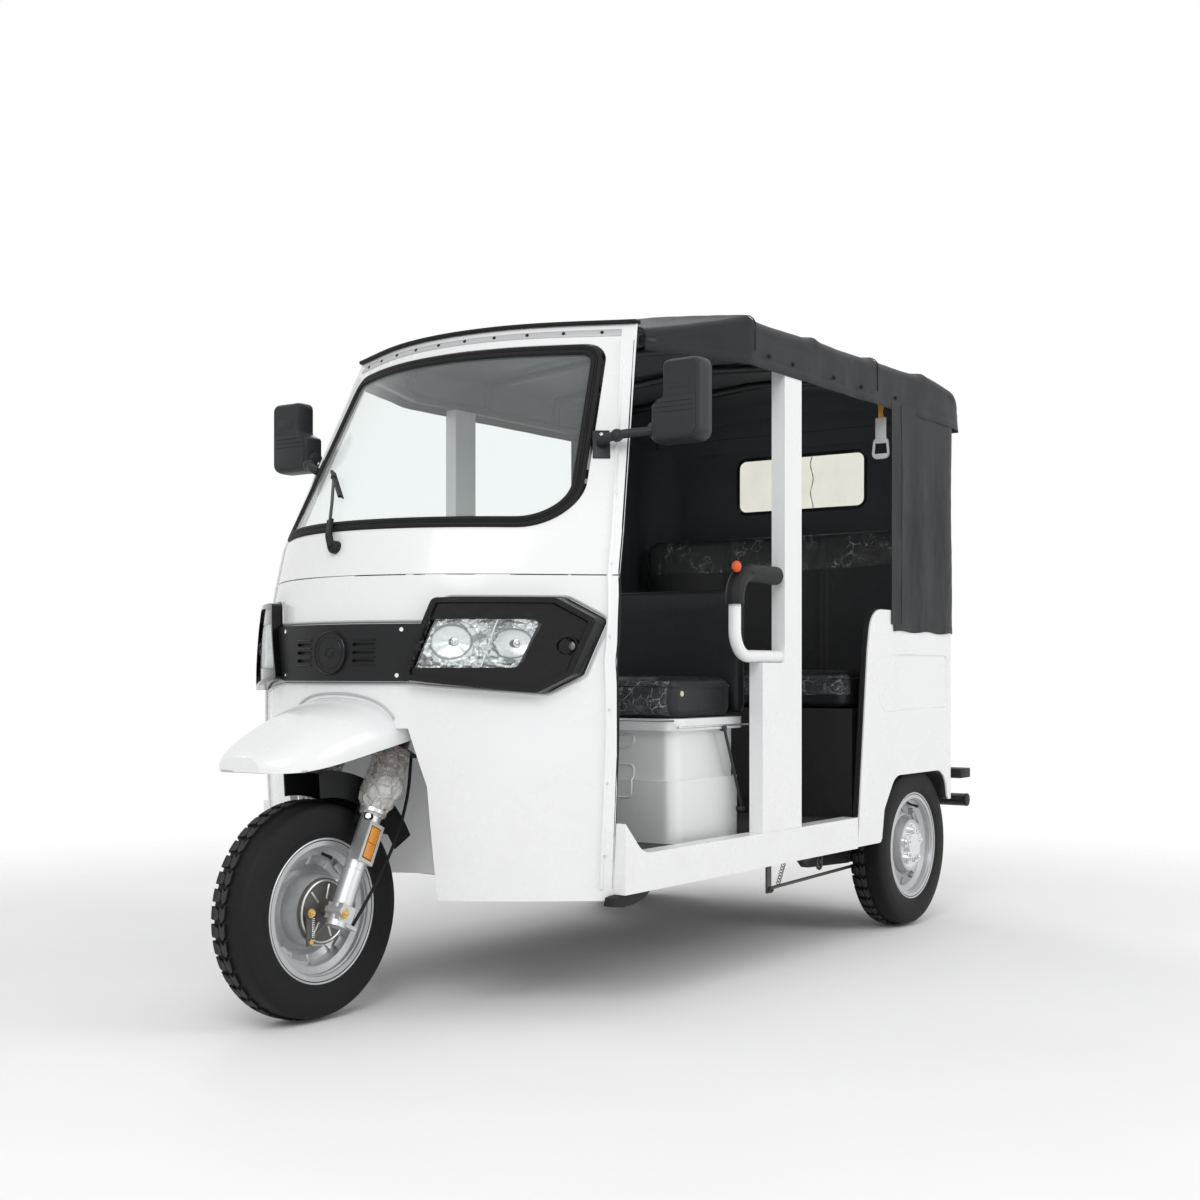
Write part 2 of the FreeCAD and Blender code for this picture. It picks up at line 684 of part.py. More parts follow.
def ring_of(count, radius, make):
    """Copies of a piece set out evenly round the X axis at the given radius."""
    pieces = []
    for i in range(count):
        piece = make()
        turn = Rotation(Vector(1, 0, 0), 360.0 * i / count)
        piece.Placement = Placement(turn.multVec(Vector(0, 0, float(radius))), turn).multiply(piece.Placement)
        pieces.append(piece)
    return pieces


def vent():
    long, wide = float(d.vent_long), float(d.vent_wide)
    slot = Part.makeBox(float(d.rim_width), wide, long)
    slot.translate(Vector(-float(d.rim_width) / 2, -wide / 2, -long / 2))
    return slot


def lobe(side):
    start = Vector(float(d.hub_half - d.seat_gap) * side, 0, 0)
    return Part.makeCylinder(float(d.hub_lobe), float(d.lobe_depth), start, Vector(side, 0, 0))


def pressed_rim(name, side, through):
    """The turned rim with its vents, and the lobed boss that carries the nuts on its outer face."""
    outline = [(x * side, r) for x, r in rim_section()]
    if side < 0:
        outline = list(reversed(outline))
    rim = turned(f"{name}_turned", outline)
    well = d.rim_radius - d.flange_height - d.rim_well
    vents = shaped(f"{name}_vents", Part.makeCompound(
        ring_of(round(float(d.vent_count)), well - d.rim_wall - d.vent_long / 2, vent)))
    cap_start = Vector(float(d.hub_half - d.seat_gap) * side, 0, 0)
    boss = Part.makeCylinder(
        float(d.hub_cap_radius), float(d.hub_cap_depth), cap_start, Vector(side, 0, 0))
    for piece in ring_of(round(float(d.lobe_count)), d.hub_cap_radius + d.hub_lobe / 2, lambda: lobe(side)):
        boss = boss.fuse(piece)
    if through:
        bore = d.axle_radius + d.running_gap
        boss = boss.cut(Part.makeCylinder(float(bore), float(d.hub_half), cap_start, Vector(side, 0, 0)))
    return join(f"{name}_rim", carve(f"{name}_vented", rim, vents), shaped(f"{name}_boss", boss))


def wheel(name, x, y, side, through=False):
    """One wheel as a tyre and a rim, its outer face to one side; an axle may pass right through it."""
    tyre = turned(f"{name}_tyre", tyre_outline())
    rim = pressed_rim(name, side, through)
    for part, thing in (("tyre", tyre), ("rim", rim)):
        place(thing, x, y, d.tyre_radius)
        node(f"{name}_{part}", thing)


wheel("front_wheel", ZERO, ZERO, -1, through=True)
wheel("rear_wheel_left", d.track / 2, d.wheel_base, 1)
wheel("rear_wheel_right", -d.track / 2, d.wheel_base, -1)


# Front fork, which turns with the wheel

rake = math.radians(float(d.rake_angle))
UP_AXIS = Vector(0, math.sin(rake), math.cos(rake))
BACK_AXIS = Vector(0, math.cos(rake), -math.sin(rake))
FORK_TURN = Rotation(Vector(1, 0, 0), -float(d.rake_angle))
AXLE = vec(0, along(ZERO), d.tyre_radius)


def on_fork(x, up, back=0.0):
    """A point of the fork, by its height along the legs and its distance behind them."""
    return AXLE + Vector(float(x), 0, 0) + UP_AXIS * float(up) + BACK_AXIS * float(back)


def fork_rod(x, up, length, radius, back=0.0):
    return Part.makeCylinder(float(radius), float(length), on_fork(x, up, back), UP_AXIS)


def fork_box(x, up, back, wide, high, deep):
    """A box set square to the fork, from its lowest front corner."""
    box = Part.makeBox(float(wide), float(deep), float(high))
    box.Placement = Placement(on_fork(x, up, back), FORK_TURN)
    return box


def reflector_place(inset):
    """The clamp's outer face and its rim, as one box for the recess or the reflector in it."""
    face = d.fork_half + d.leg_radius + d.clamp_deep
    wide = d.clamp_wide - inset * 2
    return fork_box(
        face - d.reflector_thick + d.seat_gap, d.clamp_up + inset, -wide / 2,
        d.reflector_thick, d.clamp_high - inset * 2, wide)


def fork_leg():
    """A slider with its axle lug, reflector clamp, cable tab and spring seat, and the inner tube above."""
    top = d.slider_length - d.slider_drop
    leg = fork_rod(d.fork_half, -d.slider_drop, d.slider_length, d.leg_radius)
    lug = fork_box(d.fork_half - d.leg_radius * 0.9, -d.lug_high / 2, -d.lug_deep / 2,
                   d.leg_radius * 1.9, d.lug_high, d.lug_deep)
    pinch_start = on_fork(d.fork_half - d.leg_radius * 0.8, 0, -d.lug_deep / 2)
    pinch = Part.makeCylinder(float(d.pinch_radius), float(d.leg_radius * 2), pinch_start, Vector(1, 0, 0))
    clamp = fork_box(d.fork_half, d.clamp_up, -d.clamp_wide / 2,
                     d.leg_radius + d.clamp_deep, d.clamp_high, d.clamp_wide)
    tab_top = CABLE_ROUTE[0][0] - d.cable_radius * 0.3 - d.seat_gap
    tab = fork_box(d.fork_half, tab_top - d.slider_drop / 4, 0,
                   d.leg_radius * 0.9, d.slider_drop / 4, CABLE_ROUTE[0][1] + d.cable_radius * 2)
    seat = fork_rod(d.fork_half, top - d.seat_rim, d.seat_rim, d.spring_radius)
    stanchion = fork_rod(d.fork_half, top - d.seat_rim / 2, d.fork_length - top + d.seat_rim / 2,
                         d.stanchion_radius)
    for piece in (lug, pinch, clamp, tab, seat, stanchion):
        leg = leg.fuse(piece)
    socket = reflector_place(d.reflector_rim)
    socket.translate(Vector(-float(d.seat_gap), 0, 0))
    return leg.removeSplitter().cut(socket)


# Brake cable's points: height along the leg, distance behind it and distance from the middle plane
CABLE_ROUTE = [
    (-18, 40, 118), (62, 62, 119), (158, 84, 119), (254, 95, 117), (346, 88, 114), (428.6, 63, 110),
]


def brake_cable():
    """The cable's tube from the tab at the fork's foot to the ear on the crown, in easy arcs."""
    points = [on_fork(x, up, back) for up, back, x in CABLE_ROUTE]
    bends = []
    for before, here, after in zip(points, points[1:], points[2:]):
        turn = (here - before).getAngle(after - here)
        run = min((here - before).Length, (after - here).Length)
        bends.append(run * CABLE_ARC_SHARE / math.tan(turn / 2))
    return tube(points, d.cable_radius, bends)


CABLE_ARC_SHARE = 0.45


def fork_crown():
    """The lower bridge over both legs with a cable ear, and the stem above it."""
    level = d.fork_length + d.seat_gap
    crown = fork_rod(0, level, d.crown_depth, d.crown_width / 2, d.fork_offset)
    for side in (-1, 1):
        crown = crown.fuse(fork_rod(d.fork_half * side, level, d.crown_depth, d.spring_radius))
        start = ZERO if side > 0 else -d.fork_half
        crown = crown.fuse(fork_box(
            start, level, -d.spring_radius / 2, d.fork_half, d.crown_depth, d.spring_radius * 1.5))
    ear_back = CABLE_ROUTE[-1][1] + d.cable_radius * 2
    crown = crown.fuse(fork_box(
        d.fork_half - d.ear_deep / 2, level, 0, d.ear_deep * 1.4, d.cable_radius * 2, ear_back))
    stem = fork_rod(0, d.fork_length + d.crown_depth, d.stem_length, d.stem_radius, d.fork_offset)
    return crown.fuse(stem).removeSplitter()


def fork_spring():
    """The spring's coils as turned rings round the inner tube, from the slider's seat to the crown."""
    low = d.slider_length - d.slider_drop + d.seat_gap
    high = d.fork_length - d.seat_gap
    pitch = (high - low) / d.spring_turns
    bore = float(d.stanchion_radius + d.seat_gap)
    outer, root = float(d.spring_radius), float(d.spring_radius - d.spring_wire)
    points = [Vector(bore, 0, float(high - low)), Vector(bore, 0, 0)]
    for i in range(round(float(d.spring_turns))):
        for share, radius in zip(COIL_SHARES, (root, outer, outer, root)):
            points.append(Vector(radius, 0, float(pitch) * (i + share)))
    points.append(Vector(root, 0, float(high - low)))
    coil = Part.Face(Part.makePolygon(points + [points[0]])).revolve(Vector(0, 0, 0), Vector(0, 0, 1), 360)
    coil.Placement = Placement(on_fork(d.fork_half, low), FORK_TURN)
    return coil


COIL_SHARES = (0.05, 0.3, 0.6, 0.85)


def mudguard():
    """The guard over the back of the tyre, with deep sides and a strap to each slider."""
    inner = d.tyre_radius + d.guard_gap
    half, wall = d.guard_half, d.guard_wall
    start = AXLE - vec(half, 0, 0)
    sheet_ring = Part.makeCylinder(float(inner + wall), float(half * 2), start, Vector(1, 0, 0)).cut(
        Part.makeCylinder(float(inner), float(half * 2), start, Vector(1, 0, 0)))
    guard = sheet_ring
    for x in (-half, half - wall):
        at = AXLE + vec(x, 0, 0)
        side = Part.makeCylinder(float(inner + wall / 2), float(wall), at, Vector(1, 0, 0)).cut(
            Part.makeCylinder(float(inner - d.guard_lip), float(wall), at, Vector(1, 0, 0)))
        guard = guard.fuse(side)
    ahead, behind = math.radians(float(d.guard_ahead)), math.radians(float(d.guard_behind))
    reach = float(inner) * 2
    middle = (behind - ahead) / 2
    corners = [AXLE - vec(half * 2, 0, 0) + Vector(0, math.sin(a) * reach, math.cos(a) * reach)
               for a in (-ahead, middle, behind)]
    corners = [AXLE - vec(half * 2, 0, 0)] + corners
    wedge = Part.Face(Part.makePolygon(corners + [corners[0]])).extrude(vec(half * 4, 0, 0))
    guard = guard.common(wedge)
    foot = d.slider_length - d.slider_drop - d.seat_rim * 4
    for side in (-1, 1):
        x = half if side > 0 else -half - wall
        plate = fork_box(x, foot, -d.leg_radius / 2, wall, inner - foot, d.leg_radius)
        near = d.fork_half - half
        tongue = fork_box(half if side > 0 else -half - near, foot, -d.leg_radius / 2,
                          near, d.seat_rim * 2, d.leg_radius)
        guard = guard.fuse(plate).fuse(tongue)
    for side in (-1, 1):
        guard = guard.cut(fork_rod(d.fork_half * side, ZERO, d.fork_length, d.leg_radius + d.seat_gap))
    return guard


both("fork_legs", shaped("fork_leg", fork_leg()))
node("fork_crown", shaped("fork_crown", fork_crown()))
both("fork_springs", shaped("fork_spring", fork_spring()))
both("fork_reflectors", shaped("fork_reflector", reflector_place(d.reflector_rim + d.seat_gap)))
node("inner_mudguard", shaped("inner_mudguard", mudguard()))
node("brake_cable", shaped("brake_cable", brake_cable()))

spindle = rod(
    "front_spindle", "x", -d.fork_half + d.leg_radius + d.seat_gap, ZERO, d.tyre_radius,
    d.axle_radius, (d.fork_half - d.leg_radius - d.seat_gap) * 2,
)
plate_in = d.hub_half + d.running_gap * 2
brake_plate = rod(
    "brake_plate", "x", plate_in, ZERO, d.tyre_radius, d.hub_radius - d.rim_wall, d.rim_wall * 2,
)
cam_x = plate_in + d.rim_wall
cam = rod("brake_cam", "x", cam_x, d.brake_cam_y, d.tyre_radius, d.cam_radius, d.rim_wall * 4)
arm_x = cam_x + d.rim_wall * 2
arm_top = d.tyre_radius + d.cam_radius
brake_arm = block("brake_arm", arm_x, d.brake_cam_y - d.brake_arm_wide / 2, arm_top - d.brake_arm,
                  d.rim_wall, d.brake_arm_wide, d.brake_arm)


def pull_rod():
    """The rod from the foot of the brake lever back to the fork's foot."""
    start = vec(arm_x + d.rim_wall / 2, along(d.brake_cam_y), arm_top - d.brake_arm + d.cam_radius)
    reach = on_fork(d.fork_half - d.leg_radius - d.rod_radius * 3, -d.slider_drop, 0) - start
    return Part.makeCylinder(float(d.rod_radius), reach.Length, start, reach)


node("front_axle", join("front_axle", spindle, brake_plate, cam, brake_arm, shaped("pull_rod", pull_rod())))


def handlebar():
    """The swept bar with a rubber grip on each end."""
    top = d.fork_length + d.crown_depth + d.stem_length
    foot = on_fork(0, top, d.fork_offset) + UP_AXIS * float(d.bar_radius)
    rise = float(d.bar_rise)
    inner = float(d.bar_half - d.grip_length)
    points = [
        foot + Vector(-float(d.bar_half), float(d.bar_sweep), rise),
        foot + Vector(-inner, float(d.bar_sweep) * 0.8, rise),
        foot + Vector(-inner * 0.35, 0, 0),
        foot + Vector(inner * 0.35, 0, 0),
        foot + Vector(inner, float(d.bar_sweep) * 0.8, rise),
        foot + Vector(float(d.bar_half), float(d.bar_sweep), rise),
    ]
    bend = d.bar_radius * 3
    bar = tube(points, d.bar_radius, [bend] * 4)
    for tip, inward in ((points[0], points[1] - points[0]), (points[-1], points[-2] - points[-1])):
        bar = bar.fuse(Part.makeCylinder(float(d.grip_radius), float(d.grip_length) * 0.8, tip, inward))
    return bar


node("handlebar", shaped("handlebar", handlebar()))


# Steering head, fixed to the chassis

def steering_head():
    low = d.fork_length + d.crown_depth + d.crown_depth
    outer = fork_rod(0, low, d.head_length, d.head_radius, d.fork_offset)
    bore = fork_rod(0, low - d.head_radius, d.head_length * 2, d.stem_radius + d.running_gap, d.fork_offset)
    return outer.cut(bore)


# Cab shell: plan curves at several levels, lofted into a wall

PLAN_X_SHARES = (0, 0.26, 0.5, 0.83, 1)
PLAN_Y_SHARES = (0, 0.07, 0.27, 0.74, 1)


def plan_curve(level, offset):
    """The cab's outline in plan at one level, moved outwards by the offset."""
    height, nose, half, door = level
    half, nose, door = float(half), float(along(nose)), float(along(door))
    right = [(half * a, nose + (door - nose) * b) for a, b in zip(PLAN_X_SHARES, PLAN_Y_SHARES)]
    points = [Vector(-x, y, float(height)) for x, y in reversed(right[1:])]
    points += [Vector(x, y, float(height)) for x, y in right]
    curve = Part.BSplineCurve()
    curve.interpolate(points)
    if float(offset) == 0:
        return curve
    moved = []
    for p in points:
        tangent = curve.tangent(curve.parameter(p))[0]
        normal = Vector(tangent.y, -tangent.x, 0).normalize()
        moved.append(p + normal * float(offset))
    shifted = Part.BSplineCurve()
    shifted.interpolate(moved)
    return shifted


def cab_wall(levels, outward, inward, ruled=False):
    """The wall between two offsets of the cab's surface, through the levels."""
    wires = []
    for level in levels:
        outer = plan_curve(level, outward).toShape()
        inner = plan_curve(level, inward).toShape()
        o1, o2 = outer.Vertexes[0].Point, outer.Vertexes[1].Point
        i1, i2 = inner.Vertexes[0].Point, inner.Vertexes[1].Point
        side2 = Part.LineSegment(o2, i2).toShape()
        side1 = Part.LineSegment(i1, o1).toShape()
        wires.append(Part.Wire([outer, side2, inner, side1]))
    return Part.makeLoft(wires, True, ruled)


def level_between(one, two, share):
    return tuple(a + (b - a) * share for a, b in zip(one, two))


FOOT = (d.cab_z_foot, d.nose_y_foot, d.cab_half_foot, d.door_y_foot)
LOW = (d.cab_z_low, d.nose_y_low, d.cab_half_mid, d.door_y_mid)
MID = (d.cab_z_mid, d.nose_y_mid, d.cab_half_mid, d.door_y_mid)
BELT = (d.cab_z_belt, d.nose_y_belt, d.cab_half_belt, d.door_y_belt)
CREASE = (
    d.cab_z_crease, d.nose_y_crease, d.cab_half_mid * 0.4 + d.cab_half_belt * 0.6,
    d.door_y_mid * 0.5 + d.door_y_belt * 0.5,
)
BROW = (d.cab_z_brow, d.nose_y_brow, d.cab_half_brow, d.door_y_brow)
TOP = level_between(BELT, BROW, (float(d.cab_z_top) - float(d.cab_z_belt)) /
                    (float(d.cab_z_brow) - float(d.cab_z_belt)))
NECK = level_between(CREASE, BELT, float(d.panel_joint) / (float(d.cab_z_belt) - float(d.cab_z_crease)))
FAR = d.wheel_base


def arch_outline(grow=0.0):
    """The front wheel's opening, with the fender's root above it."""
    g = float(grow)
    low, high, top = float(d.arch_half) + g, float(d.arch_half_high) + g, float(d.arch_top) + g
    foot = float(d.cab_z_foot) - float(d.cab_wall)
    return [(-low, foot), (low, foot), (low - g, float(d.cab_z_low)), (high, top), (-high, top),
            (-low + g, float(d.cab_z_low))]


FENDER_Y_SHARES = (0, 0.17, 0.45, 0.72, 1)
FENDER_HALF_SHARES = (0.36, 0.78, 0.92, 0.98, 1)
FENDER_LOW_SHARES = (0, 0.02, 0.3, 0.65, 1)
FENDER_HIGH_SHARES = (0, 0.24, 0.66, 0.9, 1)
FENDER_SIDE_SHARES = (0.55, 0.92)


def fender_solid(shrink, longer=0.0):
    """The fender's outer form, or the hollow inside it when it is shrunk."""
    wires = []
    s = float(shrink)
    tip, root = float(along(d.fender_tip_y)) + s, float(along(d.fender_root_y)) + float(longer)
    for a, b, low, high in zip(FENDER_Y_SHARES, FENDER_HALF_SHARES, FENDER_LOW_SHARES, FENDER_HIGH_SHARES):
        y = tip + (root - tip) * a
        half = float(d.fender_half) * b - s
        base = float(d.fender_low + (d.fender_root_low - d.fender_low) * low)
        lip = d.fender_low + d.fender_lip
        crown = float(lip + (d.fender_high - lip) * high) - s
        base = base - (float(d.fender_wall) if s > 0 else -s)
        side_low, side_high = FENDER_SIDE_SHARES
        arch = Part.BSplineCurve()
        arch.interpolate([
            Vector(half, y, base),
            Vector(half * side_high, y, base + (crown - base) * side_low),
            Vector(0, y, crown),
            Vector(-half * side_high, y, base + (crown - base) * side_low),
            Vector(-half, y, base),
        ])
        foot = Part.LineSegment(Vector(-half, y, base), Vector(half, y, base))
        wires.append(Part.Wire([arch.toShape(), foot.toShape()]))
    return Part.makeLoft(wires, True, False)


def behind_door(levels):
    """All that lies behind the door's edge, which squares off the shell there."""
    edge = [(level[3], level[0]) for level in levels]
    low, high = levels[0], levels[-1]
    edge = [(low[3], low[0] - d.cab_wall)] + edge + [(high[3], high[0] + d.cab_wall)]
    back = [(FAR, high[0] + d.cab_wall), (FAR, low[0] - d.cab_wall)]
    return prism_x(edge + back, -d.cab_half_mid * 2, d.cab_half_mid * 2)


def front_panel():
    wall = cab_wall([FOOT, LOW, MID, CREASE], ZERO, -d.cab_wall).cut(behind_door([FOOT, LOW, MID, CREASE]))
    opening = prism_y(arch_outline(), -d.tyre_radius, FAR)
    # The fender's root passes through the panel.
    return wall.cut(opening).cut(fender_solid(-float(d.seat_gap) * 2))


def screen_outline(grow=0.0):
    g = float(grow)
    low, high = float(d.screen_half_low) + g, float(d.screen_half_high) + g
    z_low, z_high = float(d.screen_low) - g, float(d.screen_high) + g
    return [(-low, z_low), (low, z_low), (high, z_high), (-high, z_high)]


def screen_corners(grow=0.0):
    g = float(grow)
    low, high = float(d.screen_corner_low) + g, float(d.screen_corner_high) + g
    return [low, low, high, high]


def screen_prism(grow):
    return prism_y(screen_outline(grow), -d.tyre_radius, FAR, screen_corners(grow))


def cab_frame():
    cowl = cab_wall([NECK, BELT], ZERO, -d.cab_wall, ruled=True)
    pillars = cab_wall([BELT, TOP], ZERO, -d.cab_wall, ruled=True)
    shell = cowl.fuse(pillars).cut(behind_door([NECK, BELT, TOP]))
    return shell.cut(screen_prism(0)).removeSplitter()


def screen_seal():
    grown = cab_wall([BELT, TOP], d.seal_proud, -d.glass_thick * 2, ruled=True)
    ring = screen_prism(-d.seat_gap).cut(screen_prism(-d.seal_width))
    return grown.common(ring)


def windscreen():
    sheet_wall = cab_wall([BELT, TOP], -d.seat_gap, -d.glass_thick - d.seat_gap, ruled=True)
    return sheet_wall.common(screen_prism(-d.seal_width - d.seat_gap))


def fender():
    return fender_solid(0).cut(fender_solid(d.fender_wall, d.fender_wall * 2))


node("front_panel", shaped("front_panel", front_panel()))
node("cab_frame", shaped("cab_frame", cab_frame()))
node("windscreen_seal", shaped("windscreen_seal", screen_seal()))
node("windscreen", shaped("windscreen", windscreen()))
node("front_fender", shaped("front_fender", fender()))


def well_centre():
    return vec(0, along(d.well_front), d.well_foot)


def wheel_well():
    """A wall bent round behind the front wheel, with a roof that the steering stem passes."""
    half = d.arch_half + d.well_wall
    centre = well_centre()
    high = d.well_top - d.well_foot
    up = Vector(0, 0, 1)
    outer = Part.makeCylinder(float(half), float(high), centre, up, 180)
    inner = Part.makeCylinder(float(half - d.well_wall), float(high - d.well_wall), centre, up, 180)
    hole = fork_rod(0, 0, d.fork_length * 2, d.head_radius + d.seat_gap, d.fork_offset)
    return outer.cut(inner).cut(hole)


node("wheel_well", shaped("wheel_well", wheel_well()))


# Lamps and grille, which follow the cab's surface

def lamp_patch(points, corners, outward, inward):
    """A patch of the cab's surface between two offsets, inside an outline in X and Z."""
    wall = cab_wall([FOOT, LOW, MID, CREASE], outward, inward)
    return wall.common(prism_y(points, -d.tyre_radius, FAR, corners))


def bezel_outline():
    return [
        (d.bezel_in, d.bezel_side_z), (d.bezel_toe, d.bezel_low), (d.bezel_heel, d.bezel_heel_z),
        (d.bezel_out, d.bezel_tip_z), (d.bezel_shoulder, d.bezel_high),
        (d.bezel_in + d.bezel_lean, d.bezel_high),
    ]


def inset(points, amount):
    """An outline in X and Z with every edge moved inwards by the same amount."""
    flat = [(float(x), float(z)) for x, z in points]
    lines = []
    for (x0, z0), (x1, z1) in zip(flat, flat[1:] + flat[:1]):
        long = math.hypot(x1 - x0, z1 - z0)
        along_x, along_z = (x1 - x0) / long, (z1 - z0) / long
        lines.append((x0 - along_z * float(amount), z0 + along_x * float(amount), along_x, along_z))
    moved = []
    for (ax, az, au, av), (bx, bz, bu, bv) in zip(lines[-1:] + lines[:-1], lines):
        share = ((bx - ax) * bv - (bz - az) * bu) / (au * bv - av * bu)
        moved.append((ax + au * share, az + av * share))
    return moved


def lens_outline(grow=0.0):
    points = [
        (d.lens_in, d.lens_low), (d.lens_out - d.lens_lean, d.lens_low),
        (d.lens_out, d.lens_high), (d.lens_in + d.lens_lean, d.lens_high),
    ]
    return inset(points, -float(grow))


def lamp_bezel():
    """The lamp's mask: a raised rim round a dish, a window for the lens and a seat for the round lamp."""
    r = float(d.bezel_corner)
    shell = lamp_patch(bezel_outline(), [r] * 6, d.bezel_proud, d.seat_gap)
    floor_at = d.bezel_proud * 0.72
    dish = lamp_patch(inset(bezel_outline(), d.bezel_rim), [r / 2] * 6, d.bezel_proud * 2, floor_at)
    window = prism_y(lens_outline(float(d.seat_gap)), -d.tyre_radius, FAR, [float(d.lens_corner)] * 4)
    seat = Part.makeCylinder(
        float(d.fog_radius), float(FAR), vec(d.fog_x, -d.wheel_base, d.fog_z), Vector(0, 1, 0))
    deep = cab_wall([FOOT, LOW, MID, CREASE], d.bezel_proud * 2, d.bezel_proud * 0.5)
    return shell.cut(dish).cut(window).cut(deep.common(seat))


def lamp_lens():
    return lamp_patch(lens_outline(), [float(d.lens_corner)] * 4, d.bezel_proud * 0.86, d.seat_gap)


def grille_panel():
    """The panel between the lamps, with a round cover and three short slots on each side of it."""
    gap = float(d.seat_gap) * 2
    rise = d.bezel_lean / (d.bezel_high - d.bezel_side_z)
    low = d.bezel_in + (d.grille_low - d.bezel_side_z) * rise - gap
    high = d.bezel_in + (d.grille_high - d.bezel_side_z) * rise - gap
    points = [(-low, d.grille_low), (low, d.grille_low), (high, d.grille_high), (-high, d.grille_high)]
    panel = lamp_patch(points, [float(d.lens_corner)] * 4, d.grille_proud, d.seat_gap)
    middle = (d.grille_low + d.grille_high) / 2
    pitch = d.grille_bar * 2.5
    cuts = []
    for side in (-1, 1):
        for level in (-1, 0, 1):
            start = d.disc_radius + d.grille_bar * 2
            x0 = start if side > 0 else -start - d.slat_long
            z0 = middle + pitch * level - d.grille_bar / 2
            x1, z1 = x0 + d.slat_long, z0 + d.grille_bar
            slot = [(x0, z0), (x1, z0), (x1, z1), (x0, z1)]
            cuts.append(prism_y(slot, -d.tyre_radius, FAR, [float(d.grille_bar) / 3] * 4))
    deep = cab_wall([FOOT, LOW, MID, CREASE], d.grille_proud * 2, d.grille_proud / 2)
    panel = panel.cut(deep.common(Part.makeCompound(cuts)))
    drum = Part.makeCylinder(float(d.disc_radius), float(FAR), vec(0, -d.wheel_base, middle), Vector(0, 1, 0))
    cover = cab_wall([FOOT, LOW, MID, CREASE], d.grille_proud + d.disc_proud, d.grille_proud / 2).common(drum)
    return panel.fuse(cover)


both("lamp_bezels", shaped("lamp_bezel", lamp_bezel()))
both("lamp_lenses", shaped("lamp_lens", lamp_lens()))
node("grille_panel", shaped("grille_panel", grille_panel()))


def dashboard():
    """A shelf across the cab behind the lower panel, following its inner skin."""
    rim = plan_curve(level_between(MID, CREASE, DASH_LEVEL_SHARE), -d.cab_wall - d.seat_gap)
    ends = [v.Point for v in rim.toShape().Vertexes]
    face = Part.Face(Part.Wire([rim.toShape(), Part.LineSegment(ends[1], ends[0]).toShape()]))
    shelf = face.extrude(vec(0, 0, d.dash_rise))
    shelf.translate(vec(0, 0, d.dash_low - ends[0].z))
    wide = d.cab_half_mid * 4
    reach = Part.makeBox(float(wide), float(d.wheel_base), float(d.cab_z_top),
                         vec(-wide / 2, along(d.nose_y_crease + d.cab_wall + d.dash_deep), ZERO))
    return shelf.cut(reach)


DASH_LEVEL_SHARE = 1.0

node("dashboard", shaped("dashboard", dashboard()))


# Mirrors

def mirror_head():
    """A stepped mirror housing with ribs, its arm, and the bracket bolted to the windscreen pillar."""
    half_here = d.cab_half_belt + (d.cab_half_brow - d.cab_half_belt) * MIRROR_LEVEL_SHARE
    inner = half_here + d.mirror_reach
    outer = inner + d.mirror_wide
    trim = d.mirror_wide - d.mirror_narrow
    front = d.mirror_y - d.mirror_deep / 2
    r = float(d.mirror_corner)
    points = [
        (inner, d.mirror_low), (outer, d.mirror_low), (outer, d.mirror_high), (inner + trim, d.mirror_high),
        (inner + trim, d.mirror_step + trim / 2), (inner, d.mirror_step),
    ]
    head = prism_y(points, front, front + d.mirror_deep, [r, r, r, r, r / 3, r / 3])
    pitch = (d.mirror_step - d.mirror_low - r) / 3
    for i in range(3):
        low = d.mirror_low + r + pitch * i
        rib = Part.makeBox(
            float(d.mirror_wide + d.mirror_rib * 2), float(d.mirror_deep + d.mirror_rib),
            float(d.mirror_rib * 2), vec(inner - d.mirror_rib, along(front - d.mirror_rib), low))
        head = head.fuse(rib)
    plate_start = vec(half_here - d.cab_wall * 1.5, along(d.bracket_y - d.bracket_deep / 2),
                      d.mirror_z - d.bracket_high / 2)
    plate = Part.makeBox(
        float(d.bracket_thick + d.cab_wall * 1.5), float(d.bracket_deep), float(d.bracket_high), plate_start)
    arm = tube(
        [vec(half_here - d.cab_wall, along(d.bracket_y), d.mirror_z),
         vec(half_here + d.mirror_reach / 2, along(d.bracket_y), d.mirror_z),
         vec(inner + d.mirror_corner, along(d.mirror_y), d.mirror_z + d.mirror_reach / 2)],
        d.arm_radius, [d.arm_radius * 2])
    wall = cab_wall([BELT, TOP], d.seat_gap, -d.cab_wall * 4, ruled=True)
    return head.fuse(arm).fuse(plate).cut(wall)


MIRROR_LEVEL_SHARE = 0.41


both("mirrors", shaped("mirror", mirror_head()))


def screen_point(x, z, off):
    """A point over the windscreen or the cowl below it, the given distance ahead of the surface."""
    share = (float(z) - float(d.cab_z_crease)) / (float(d.cab_z_belt) - float(d.cab_z_crease))
    level = level_between(CREASE, BELT, share)
    if share > 1:
        level = level_between(BELT, BROW, (float(z) - float(d.cab_z_belt)) /
                              (float(d.cab_z_brow) - float(d.cab_z_belt)))
    points = plan_curve(level, off).toShape().discretize(SCREEN_STEPS)
    near = min(points, key=lambda p: abs(p.x - float(x)))
    return Vector(float(x), near.y, float(z))


SCREEN_STEPS = 400


